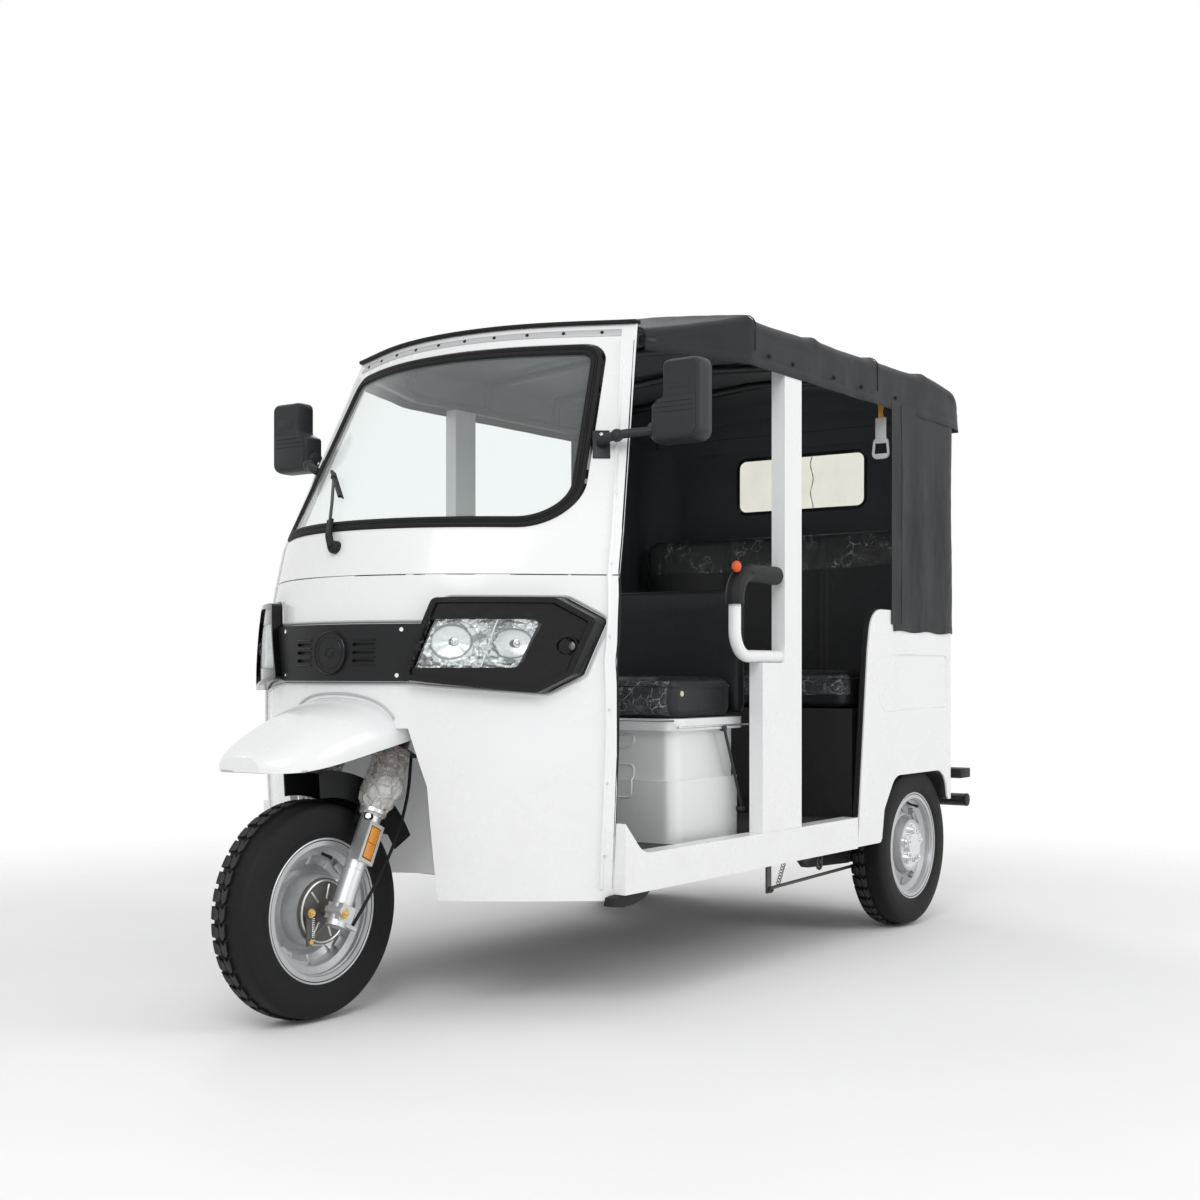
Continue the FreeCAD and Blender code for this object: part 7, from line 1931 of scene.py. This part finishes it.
def mirrors():
    """Both mirrors on their jointed arms; the right one is turned further in, as in the photograph."""
    parts, glass = mirror_head()
    housings, glasses, brights, arms = [], [], [], []
    wall, way = touch(("cab_frame",), (1.2, -0.672, 1.404), RIGHT)
    for side, inward, lift in ((1.0, 0.0, 0.0), (-1.0, 0.045, 0.018)):
        shift = Matrix.Translation((-inward, 0.0, lift))
        swap_sides = Matrix.Identity(4) if side > 0 else MIRRORED
        housings += [again(part, swap_sides @ shift) for part in parts]
        glasses.append(again(glass, swap_sides @ shift))
        foot = wall + way * 0.0052
        base = slab("mirror_foot", (-0.040, -0.022, -0.003), (0.040, 0.022, 0.0052), 0.0022)
        base.data.transform(aimed(wall, way) @ Matrix.Rotation(math.pi / 2.0, 4, "Z"))
        if min(vertex.co.z for vertex in base.data.vertices) > 1.370:
            base.data.transform(Matrix.Translation(-wall))
            base.data.transform(Matrix.Rotation(math.pi / 2.0, 4, way))
            base.data.transform(Matrix.Translation(wall))
        elbow = foot + way * 0.030
        head = Vector((0.6375 - inward, -0.615, 1.437 + lift))
        arm = [foot, foot + way * 0.012, elbow.lerp(head, 0.25), elbow.lerp(head, 0.75), head]
        rods = [base, tube("mirror_arm", arm, 0.0115, 4, 6),
                start("arm_ball", "uv_sphere", segments=24, ring_count=14, radius=0.0165, location=arm[2])]
        for name, near, far, radius, ease in (
                ("head_socket", -0.036, 0.004, 0.0200, 0.003),
                ("socket_collar", -0.040, -0.034, 0.0150, 0.0015)):
            rods.append(rod(name, head + Vector((near, 0.0, 0.0)), head + Vector((far, 0.0, 0.0)), radius,
                            28, ease))
        screws = [(wall + way * 0.0050 + Vector((0.0, 0.0, rise)), way) for rise in (0.023, -0.023)]
        fixings = [screw_heads("mirror_screws", screws, 0.0044, 0.0026, 14)]
        for at in (arm[1], elbow.lerp(head, 0.42)):
            fixings.append(rod("arm_pin", at + way * 0.0095, at + way * 0.0125, 0.0026, 12, 0.0005))
        for group, pieces in ((arms, rods), (brights, fixings)):
            for piece in pieces:
                group.append(again(piece, swap_sides))
                bpy.data.objects.remove(piece)
    for piece in parts + [glass]:
        bpy.data.objects.remove(piece)
    black = one("mirror_housings", housings + arms)
    done(black, MIRROR_PLASTIC, "black_plastic")
    done(one("mirror_glasses", glasses), "mirror_glass", "lamp_glass")
    done(one("mirror_screws", brights), "chrome", "fork_alloy")
    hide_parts("mirrors")


MIRROR_PLASTIC = moulded_plastic("mirror_plastic", rgb(0.026, 0.028, 0.030), 0.48, 700.0, 0.15)


def hand_straps():
    """Orange webbing from the roof rail, a grey sleeve facing forwards, and the moulded loop to hold."""
    sleeves, loops, webs = [], [], []
    y = 0.757
    for side, name in ((1.0, "left"), (-1.0, "right")):
        x = side * 0.579

        def webbing(u, v, x=x, side=side):
            turn = 0.7 * math.sin(v * math.pi) * side
            off = (u - 0.5) * (0.024 - 0.009 * math.sin(v * math.pi))
            back = off * math.sin(turn) + 0.0015 * math.sin(v * 9.0)
            return Vector((x + off * math.cos(turn), y + back, 1.640 + 0.054 * v))

        strap = net("strap_webbing_" + name, 10, 22, webbing)
        thick(strap, 0.0018, 0.0)
        done(strap, "strap", smooth=50.0)
        for group, name, half, depth, low, high, ease in (
                (sleeves, "strap_sleeve", 0.0190, 0.0022, 1.572, 1.650, 0.0018),
                (sleeves, "strap_fold", 0.0175, 0.0034, 1.640, 1.6475, 0.0012),
                (webs, "loop_web", 0.0210, 0.0026, 1.5245, 1.5345, 0.001)):
            group.append(slab(name, (x - half, y - depth, low), (x + half, y + depth, high), ease))
        outer = rounded([(x - 0.0280, 1.5215), (x + 0.0280, 1.5215), (x + 0.0220, 1.5800),
                         (x - 0.0220, 1.5800)],
                        [0.014, 0.014, 0.009, 0.009], 6)
        loops.append(tube("strap_loop", [Vector((at.x, y, at.y)) for at in evenly(outer, 56)], 0.0046, 3, 1,
                          True))
        loops.append(rod("loop_bar", (x - 0.020, y, 1.5715), (x + 0.020, y, 1.5715), 0.0046, 16, 0.001))
    done(one("strap_sleeves", sleeves), "grip_plastic", "strap")
    held = one("strap_loops", loops + webs)
    done(held, "grip_plastic", "strap")
    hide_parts("hand_straps")


def lined_paint():
    """White outside, dark lining inside: the tub's inner faces lie nearer the middle than its wall."""
    look = Look("tub_paint", Coat_Weight=0.25, Coat_Roughness=0.06, Specular_IOR_Level=0.35)
    side = abs(look.axis("x")) - 0.515
    back = look.axis("y") - 1.19
    reach = (side.at_least(0.0) ** 2.0 + back.at_least(0.0) ** 2.0) ** 0.5
    lining = 1.0 - reach.over(0.1045)
    haze = look.noise(3.2, 5.0, 0.6)
    grime = (1.0 - look.axis("z").between(0.30, 0.62)) * look.noise(9.0, 6.0, 0.7).between(0.42, 0.78)
    white = look.blend(haze.between(0.3, 0.75), rgb(0.87, 0.875, 0.88), rgb(0.845, 0.85, 0.855))
    white = look.blend(grime * 0.3, white, rgb(0.74, 0.72, 0.69))
    grain = look.cells(500.0)
    dark = look.blend(grain.between(0.2, 0.6), rgb(0.018, 0.018, 0.02), rgb(0.030, 0.031, 0.033))
    look.put("Base Color", look.blend(lining, white, dark))
    look.put("Roughness", 0.22 + haze * 0.1 + lining * 0.3 + grime * 0.3)
    look.relief(look.noise(420.0, 2.0) + haze * 6.0 + grain * lining * 4.0, 0.08, 0.0006)
    return look.material


def tub_trim():
    """Dark lining inside the tub, rubber along its front edge, pressed lines on its sides."""
    paint = lined_paint()
    for node in ("rear_quarter_left", "rear_quarter_right", "rear_panel"):
        dressed(frame["nodes"][node], paint)
    wall = 0.612
    found = [touch(("rear_quarter_left",), (wall, -0.2, z), BACK) for z in spread(0.398, 0.985, 61)]
    last = [hit for hit in found if hit][-1][0].y
    found += [touch(("rear_quarter_left",), (wall, y, 1.3), DOWN) for y in spread(last, 0.742, 22)[1:]]
    line = [hit[0] for hit in found if hit]
    line = evenly(line, 110, False)
    ways = []
    for i in range(len(line)):
        run = line[min(i + 1, len(line) - 1)] - line[max(i - 1, 0)]
        ways.append(Vector((0.0, -run.z, run.y)).normalized())
    section = [(-0.0092, -0.004), (-0.0092, 0.0018), (-0.0060, 0.0042), (0.0060, 0.0042), (0.0085, 0.0018),
               (0.0085, -0.004)]
    edge = beading("tub_edge", line, ways, section, False)
    done(both("tub_edge_rubbers", edge), "seal_rubber")
    routes = (
        [(0.741, 0.893), (0.933, 0.895)],
        [(0.640, 0.780), (0.652, 0.742), (0.668, 0.722), (0.697, 0.7120), (0.80, 0.7135), (1.00, 0.7165),
         (1.182, 0.720)],
        [(1.095, 1.002), (1.130, 0.998), (1.160, 0.984), (1.180, 0.960)])
    beads = []
    for route in routes:
        found = [touch(("rear_quarter_left",), (1.0, y, z), RIGHT) for y, z in evenly(route, 24, False)]
        path = [hit[0] - Vector((0.0012, 0.0, 0.0)) for hit in found if hit and hit[0].x > 0.6]
        if len(path) > 3:
            beads.append(tube("pressed_line", path, 0.0026, 2, 1))
    left = one("pressed_lines_left", beads)
    done(both("pressed_lines", left), "white_paint", smooth=60.0)


def cab_foot():
    """Dark inside of the cab's turned-under foot, seen where it runs out below the sill."""
    leaf = [(-0.792, 0.2720), (-0.745, 0.2660), (-0.700, 0.2690), (-0.655, 0.2800), (-0.625, 0.2965),
            (-0.690, 0.2985), (-0.750, 0.2985), (-0.785, 0.2920)]
    inner = plate("foot_inside", leaf, 0.0, 0.030, 0.0015)
    inner.data.transform(side_on(0.580))
    outward(inner)
    done(both("foot_insides", inner), "black_plastic")


def tail_lights():
    """Housings with a red, an amber and a clear lens each, and black marker bars with small reflectors."""
    housings, red, amber, clear, screws = [], [], [], [], []
    for side in (1.0, -1.0):
        for group, name, low, high, ease in (
                (housings, "tail_base", (0.357, 1.3003, 0.560), (0.507, 1.3230, 0.652), 0.006),
                (red, "tail_red", (0.451, 1.3150, 0.5655), (0.5015, 1.3340, 0.6465), 0.005),
                (amber, "tail_amber", (0.4055, 1.3150, 0.5655), (0.4490, 1.3335, 0.6465), 0.005),
                (clear, "tail_clear", (0.3625, 1.3150, 0.5655), (0.4035, 1.3330, 0.6465), 0.005),
                (housings, "marker_bar", (0.445, 1.3003, 0.468), (0.625, 1.3860, 0.501), 0.0035),
                (red, "marker_red", (0.560, 1.3840, 0.4725), (0.618, 1.3903, 0.4965), 0.0022),
                (housings, "marker_step", (0.440, 1.3003, 0.462), (0.520, 1.3240, 0.507), 0.003)):
            group.append(slab(name, *sided(low, high, side), ease))
        screws += [((x * side, 1.3330, 0.573), BACK) for x in (0.4045, 0.4500)]
    done(one("tail_housings", housings), "black_plastic")
    lens = one("tail_red_lenses", red)
    done(lens, "red_lens")
    done(one("tail_amber_lenses", amber), "amber_lens")
    done(one("tail_clear_lenses", clear), TAIL_CLEAR, "lamp_glass")
    done(screw_heads("tail_screws", screws, 0.0036, 0.0018, 12), "chrome", "fork_alloy")
    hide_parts("tail_lamps")


TAIL_CLEAR = lamp_plastic("reversing_lens", rgb(0.62, 0.64, 0.65), 260.0)


def bumper_ends():
    """Black plugs in the ends of the bumper's tube."""
    plugs = []
    for side in (1.0, -1.0):
        plugs.append(rod("bumper_plug", (side * 0.586, 1.436, 0.384), (side * 0.594, 1.436, 0.384), 0.0228,
                         32, 0.002))
    done(one("bumper_plugs", plugs), "black_plastic")


def seat_box_details():
    """Bright edging under the cushion, pressed panels, a lid stay and the cushion's button."""
    pale = []
    high = [(-0.372, 0.632), (0.372, 0.632), (0.424, 0.668), (-0.424, 0.668)]
    for corners, radii, count, wire in (
            ([(-0.395, 0.500), (-0.020, 0.500), (-0.020, 0.588), (-0.395, 0.588)], [0.012] * 4, 90, 0.0030),
            ([(0.020, 0.500), (0.395, 0.500), (0.395, 0.588), (0.020, 0.588)], [0.012] * 4, 90, 0.0030),
            (high, [0.010, 0.010, 0.012, 0.012], 160, 0.0034)):
        path = []
        for x, z in evenly(rounded(corners, radii, 5), count):
            at, way = touch(("driver_seat_box",), (x, -1.0, z), BACK)
            path.append(at + way * 0.0006)
        pale.append(tube("box_line", path, wire, 2, 1, True))
    done(one("box_pressings", pale), "silver_box", smooth=60.0)
    dark = [rod("lid_stay", (0.546, -0.165, 0.682), (0.546, -0.067, 0.455), 0.0042, 14, 0.001),
            rod("stay_eye_top", (0.534, -0.165, 0.682), (0.550, -0.165, 0.682), 0.0085, 18, 0.001),
            rod("stay_eye_foot", (0.526, -0.067, 0.455), (0.550, -0.067, 0.455), 0.0075, 18, 0.001)]
    done(one("lid_stays", dark), "dark_frame")
    edge = tube("rim_edge", [(0.5435, y, 0.690) for y in spread(-0.398, -0.032, 21)], 0.0030, 2, 1)
    lip = tube("rim_front_lip", [(x, -0.4085, 0.7075) for x in spread(-0.5400, 0.5400, 40)], 0.0030, 2, 1)
    done(one("rim_lips", [edge, across(edge), lip]), "chrome", "silver_box", smooth=60.0)
    _, at, way, _ = PADS["driver_cushion"].ray_cast((1.0, -0.335, 0.778), RIGHT)
    done(screw_heads("cushion_button", [(at - way * 0.001, way)], 0.0075, 0.0034, 18), "cream_plastic",
         "white_paint")


def wrapped(name, node, low, high, seed):
    """Clear film lying on a pad's front face between two (x, z) corners, with tight creases."""
    width, rise = high[0] - low[0], high[1] - low[1]
    front_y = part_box(node)[0].y

    def place(u, v):
        x, z = low[0] + width * u, low[1] + rise * v
        z += 0.010 * wave(u * 3.0, seed, 0.0, 1.6) * (1.0 - v)
        hit, at, _, _ = PADS[node].ray_cast((x, -1.0, z), BACK)
        y = at.y if hit else front_y
        fold = abs(wave(x * 2.0 + z, z * 1.5, seed, 11.0)) * 0.0065
        crease = abs(math.sin(x * 23.0 + z * 60.0 + seed)) * 0.0016
        return Vector((x, y - 0.002 - fold - crease, z))

    film = net(name, max(24, int(width / 0.007)), max(10, int(rise / 0.006)), place)
    looking(film, AHEAD)
    thick(film, 0.0002)
    done(film, SEAT_FILM, "lamp_glass", smooth=70.0)


def seat_film_look():
    """Packing film over black vinyl: all but unseen, with painted highlights along a net of crumples."""
    look = Look("seat_film", Roughness=0.14, Base_Color=(0.62, 0.63, 0.64, 1.0), Specular_IOR_Level=0.9)
    bend = look.noise(22.0, 5.0, 0.7)
    bent = look.blend(bend, rgb(0.0, 0.0, 0.0), rgb(0.05, 0.05, 0.05))
    spot = look.add("VectorMath", {"operation": "ADD"}, {0: look.place, 1: bent})
    crease = look.cells(30.0, "DISTANCE_TO_EDGE", spot)
    # Painted highlights: patches of the crumples' lines get a share of the pale opaque shader, with faint
    # milky patches besides.
    line = (1.0 - crease.between(0.0, 0.030)) * look.noise(9.0, 3.0).between(0.45, 0.62)
    share = line * 0.55 + look.noise(17.0, 5.0, 0.7).between(0.56, 0.72) * 0.14 + 0.035
    look.see_through(share, rgb(0.97, 0.97, 0.97))
    look.relief(bend * 2.0 + crease, 1.0, 0.006)
    return look.material


SEAT_FILM = seat_film_look()


def armrest_details():
    """Rivets along the sleeves, and the orange-red markers on their bends."""
    spots = []
    for y in (-0.200, -0.150):
        for side in (1.0, -1.0):
            found = touch(("armrests",), (side, y, 1.106), (-side, 0.0, 0.0))
            if found:
                spots.append((found[0], (side, 0.0, 0.0)))
    done(screw_heads("armrest_rivets", spots, 0.0040, 0.0016, 12, False), "black_plastic")
    knobs = []
    for side in (1.0, -1.0):
        knobs.append(start("rail_marker", "uv_sphere", segments=28, ring_count=16, radius=0.020,
                           location=(side * 0.612, -0.212, 1.120), scale=(0.55, 0.9, 0.8)))
    done(one("rail_markers", knobs), "bright_orange", "amber_lens")


mirrors()
hand_straps()
tub_trim()
cab_foot()
tail_lights()
bumper_ends()
seat_box_details()
wrapped("driver_cushion_film", "driver_cushion", (0.08, 0.722), (0.500, 0.812), 1.0)
wrapped("passenger_backrest_film", "passenger_backrest", (-0.55, 1.200), (0.55, 1.322), 3.0)
wrapped("passenger_cushion_film", "passenger_cushion", (-0.40, 0.762), (0.565, 0.826), 5.0)
armrest_details()


# Controls, dashboard and underside

def handlebar_details():
    """Ribbed grips, brake and clutch levers, and switch boxes."""
    grips, levers, boxes = [], [], []
    end, inner = Vector((0.338, -0.6110, 1.0832)), Vector((0.232, -0.6480, 1.0815))
    way = (inner - end).normalized()
    grips.append(rod("grip_sleeve", end, end + way * 0.100, 0.0166, 28, 0.003))
    rib = [(-0.0016, 0.0164), (-0.0008, 0.0178), (0.0008, 0.0178), (0.0016, 0.0164)]
    for k in range(13):
        grips.append(turned_at("grip_rib", rib, 28, aimed(end + way * (0.012 + 0.0065 * k), way)))
    grips.append(rod("grip_flange", end + way * 0.100, end + way * 0.105, 0.0215, 28, 0.0015))
    middle = end + way * 0.122
    boxes.append(rod("lever_clamp", middle - way * 0.015, middle + way * 0.015, 0.0185, 24, 0.003))
    boxes.append(block("switch_box", middle, (-0.026, -0.020, 0.006), (0.016, 0.020, 0.034), 0.006, 3))
    pivot = middle + Vector((-0.004, -0.030, -0.002))
    boxes.append(block("lever_perch", pivot, (-0.016, -0.010, -0.009), (0.016, 0.028, 0.009), 0.004))
    route = (ORIGIN, (0.030, -0.016, 0.0), (0.075, -0.004, -0.002), (0.118, 0.020, -0.004))
    blade = [pivot + Vector(step) for step in route]
    levers.append(tube("lever_blade", blade, 0.0052, 3, 8))
    levers.append(start("lever_ball", "uv_sphere", segments=20, ring_count=12, radius=0.0085,
                        location=blade[-1]))
    levers.append(rod("lever_pivot", pivot - Vector((0.0, 0.0, 0.011)), pivot + Vector((0.0, 0.0, 0.012)),
                      0.0055, 16, 0.001))
    for pieces, name, finish in ((grips, "bar_grips", "seal_rubber"),
                                 (boxes, "bar_switches", "black_plastic"),
                                 (levers, "bar_levers", "fork_alloy")):
        left = one(name + "_left", pieces)
        piece = one(name, [left, across(left)])
        done(piece, finish, finish, "steering")


def dashboard_details():
    """Round gauge in its ring, rocker switches and key barrel."""
    low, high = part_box("dashboard")
    back = (low.y + high.y) / 2.0 + 0.02

    def on_top(x):
        return touch(("dashboard",), (x, back, 1.3), DOWN)[0]

    dial = aimed(on_top(0.0), Vector((0.0, 0.35, 0.94)).normalized())
    shell = [(-0.012, 0.048), (0.012, 0.050), (0.019, 0.048), (0.020, 0.043), (0.013, 0.041),
             (0.0128, 0.0002)]
    black = [turned_at("gauge_shell", shell, 56, dial)]
    marks = []
    for k in range(21):
        turn = math.radians(-130.0 + 13.0 * k)
        long = 0.007 if k % 5 == 0 else 0.0035
        mark = slab("gauge_mark", (-0.0006, 0.0375 - long, 0.0130), (0.0006, 0.0375, 0.0136), 0.0)
        mark.data.transform(dial @ Matrix.Rotation(turn, 4, "Z"))
        marks.append(mark)
    needle = slab("gauge_needle", (-0.0009, -0.006, 0.0142), (0.0009, 0.031, 0.0150), 0.0)
    needle.data.transform(dial @ Matrix.Rotation(math.radians(118.0), 4, "Z"))
    glass = start("gauge_glass", "circle", vertices=48, radius=0.0425, fill_type="NGON")
    glass.data.transform(dial @ Matrix.Translation((0.0, 0.0, 0.0165)))
    thick(glass, 0.0008)
    rockers = []
    for k in range(4):
        top = on_top(-0.255 + 0.048 * k)
        black.append(block("switch_frame", top, (-0.017, -0.012, -0.002), (0.017, 0.012, 0.003), 0.0015))
        rockers.append(block("switch_rocker", top, (-0.013, -0.009, 0.0), (0.013, 0.009, 0.0075), 0.002))
    key = on_top(0.150)
    barrel = rod("key_barrel", key - Vector((0.0, 0.0, 0.002)), key + Vector((0.0, 0.0, 0.008)), 0.014, 28,
                 0.0015)
    slot = block("key_slot", key, (-0.0012, -0.006, 0.0075), (0.0012, 0.006, 0.0088))
    done(one("dash_fittings", black + [slot]), "black_plastic")
    done(one("dash_rockers", rockers), "seal_rubber", "black_plastic")
    done(one("gauge_marks", marks), "cream_plastic", "white_paint")
    done(needle, "bright_orange", "red_lens")
    done(glass, "lamp_glass")
    done(barrel, "chrome", "brake_steel")


def spring_hangers():
    """Front hangers with their eyes, clamp plates and bows over the axle, spring eyes and leaf clips."""
    dark, bright = [], []
    x = 0.405
    hanger = [(0.470, 0.262), (0.520, 0.224), (0.800, 0.212), (0.860, 0.216), (0.860, 0.254), (0.640, 0.262),
              (0.560, 0.300), (0.500, 0.306)]
    beam = plate("hanger", rounded(hanger, [0.010, 0.016, 0.02, 0.006, 0.006, 0.02, 0.012, 0.010], 4), 0.0,
                 0.026, 0.002)
    beam.data.transform(side_on(x + 0.012))
    dark.append(outward(beam))
    eye = [(x + 0.0395, 0.592 + a, 0.236 + b) for a, b in circle(28, 0.016, 0.0225)]
    bright.append(tube("hanger_eye", eye, 0.0045, 3, 1, True))
    bright.append(screw_heads("hanger_bolt", [((x + 0.038, 0.592, 0.236), LEFT)], 0.0100, 0.0060, 6, False))
    for y in (0.930, 1.000):
        sweep = ((-0.034, 0.236), (-0.034, 0.350), (0.0, 0.366), (0.034, 0.350), (0.034, 0.236))
        bow = [(x + off, y, z) for off, z in sweep]
        bright.append(tube("spring_bow", bow, 0.0052, 2, 6))
        for dx in (-0.034, 0.034):
            bright.append(screw_heads("bow_nut", [((x + dx, y, 0.222), DOWN)], 0.0098, 0.0080, 6, False))
    dark.append(slab("clamp_plate", (x - 0.046, 0.915, 0.222), (x + 0.046, 1.015, 0.232), 0.002))
    for y in (0.536, 1.262):
        dark.append(rod("spring_eye", (x - 0.030, y, 0.316), (x + 0.030, y, 0.316), 0.0205, 24, 0.002))
        bright.append(screw_heads("eye_nut", [((x + 0.030, y, 0.316), LEFT)], 0.0105, 0.0080, 6, False))
    for y in (0.640, 0.760, 1.100, 1.190):
        dark.append(slab("leaf_clip", (x - 0.031, y, 0.290), (x + 0.031, y + 0.014, 0.338), 0.0015))
    left = one("spring_hangers_left", dark)
    done(both("spring_hangers", left), "dark_frame", "spring_steel")
    left = one("spring_bolts_left", bright)
    done(both("spring_bolts", left), "brake_steel")


def brake_joints():
    """Nuts, studs and the return spring of the under-floor brake levers."""
    pieces = []
    for z in (0.186, 0.325):
        found = touch(("brake_linkage",), (0.6, 0.250, z), RIGHT)
        if found:
            at = found[0]
            pieces.append(screw_heads("lever_nut", [(at, LEFT)], 0.0095, 0.0075, 6, False))
            pieces.append(rod("lever_stud", at, at + Vector((0.013, 0.0, 0.0)), 0.0045, 14, 0.0008))
    line = [(0.4560 + a, 0.300 + 0.075 * share, 0.196 + 0.118 * share + b)
            for a, b, share in coil(14.0, 112, 0.0065)]
    pieces.append(tube("return_spring", line, 0.0012, 1, 1))
    left = one("brake_joints_left", pieces)
    done(both("brake_joints", left), "brake_steel", smooth=60.0)


def engine_fins():
    """Cooling fins round the engine block, its side cover and the cover's bolts."""
    low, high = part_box("engine")
    fins = []
    for k in range(9):
        z = low.z + 0.10 + 0.024 * k
        fins.append(slab("fin", (low.x - 0.010, low.y - 0.010, z),
                         (high.x + 0.010, high.y + 0.010, z + 0.004), 0.0015))
    y, z = (low.y + high.y) / 2.0, low.z + 0.064
    lid = [(0.0, 0.060), (0.010, 0.062), (0.016, 0.056), (0.018, 0.030), (0.0182, 0.0002)]
    cover = turned("side_cover", lid, (high.x - 0.001, y, z), 48)
    spots = [((high.x + 0.013, y + a, z + b), LEFT) for a, b in circle(6, 0.050)]
    done(one("engine_fins", fins + [cover]), "cast_metal")
    done(screw_heads("engine_bolts", spots, 0.0062, 0.0050, 6, False), "brake_steel")


handlebar_details()
dashboard_details()
spring_hangers()
brake_joints()
engine_fins()


# Stage, light and camera

# The camera looks level, turned from straight back; both come from the fit of the three wheels to the photo.
CAMERA_PLACE, CAMERA_TURN, CAMERA_LENS, CAMERA_SHIFT = (2.790, -3.945, 0.836), 35.14, 48.0, 0.06
AMBIENT_LIGHT = 0.62


def studio():
    """A plain pale floor and backdrop, soft lamps and the camera of the photograph."""
    pale = Look("studio_floor", Roughness=0.9)
    mottle = pale.noise(1.2, 4.0)
    pale.put("Base Color", pale.blend(mottle.between(0.3, 0.7), rgb(0.93, 0.93, 0.93), rgb(0.95, 0.95, 0.95)))
    away = pale.add("VectorMath", {"operation": "LENGTH"}, {0: pale.place}, "Value")
    pale.see_through(1.0 - away.between(1.9, 4.2), rgb(1.0, 1.0, 1.0))
    floor = start("studio_floor", "plane", size=60.0, location=(0.0, 0.0, -0.0005))
    floor.data.materials.append(pale.material)
    world = bpy.context.scene.world or bpy.data.worlds.new("studio")
    bpy.context.scene.world = world
    world.use_nodes = True
    tree = world.node_tree
    back = tree.nodes["Background"]
    back.inputs["Color"].default_value = (1.0, 1.0, 1.0, 1.0)
    path = tree.nodes.new("ShaderNodeLightPath")
    bright = path.outputs["Is Camera Ray"]
    for kind in ("Is Glossy Ray", "Is Transmission Ray"):
        either = tree.nodes.new("ShaderNodeMath")
        either.operation = "MAXIMUM"
        tree.links.new(bright, either.inputs[0])
        tree.links.new(path.outputs[kind], either.inputs[1])
        bright = either.outputs[0]
    level = tree.nodes.new("ShaderNodeMapRange")
    level.inputs["To Min"].default_value = AMBIENT_LIGHT
    level.inputs["To Max"].default_value = 1.0
    tree.links.new(bright, level.inputs["Value"])
    tree.links.new(level.outputs[0], back.inputs["Strength"])
    for name, at, to, size, power in (
            ("key_lamp", (2.6, -5.4, 4.6), (0.0, -0.3, 0.8), 3.6, 150.0),
            ("fill_lamp", (5.2, 1.0, 3.0), (0.2, 0.3, 0.9), 3.0, 70.0),
            ("back_lamp", (-4.5, 3.5, 4.4), (0.0, 0.2, 1.2), 3.0, 80.0)):
        lamp = bpy.data.lights.new(name, "AREA")
        lamp.energy = power
        lamp.shape = "DISK"
        lamp.size = size
        holder = bpy.data.objects.new(name, lamp)
        bpy.context.collection.objects.link(holder)
        holder.location = at
        holder.rotation_euler = (Vector(to) - Vector(at)).to_track_quat("-Z", "Y").to_euler()
    data = bpy.data.cameras.new("photo_camera")
    data.lens = CAMERA_LENS
    data.sensor_width = 36.0
    data.sensor_fit = "HORIZONTAL"
    data.shift_y = CAMERA_SHIFT
    camera = bpy.data.objects.new("photo_camera", data)
    bpy.context.collection.objects.link(camera)
    camera.location = CAMERA_PLACE
    camera.rotation_euler = (math.radians(90.0), 0.0, math.radians(CAMERA_TURN))
    bpy.context.scene.camera = camera
    bpy.context.scene.view_settings.view_transform = "Standard"


studio()
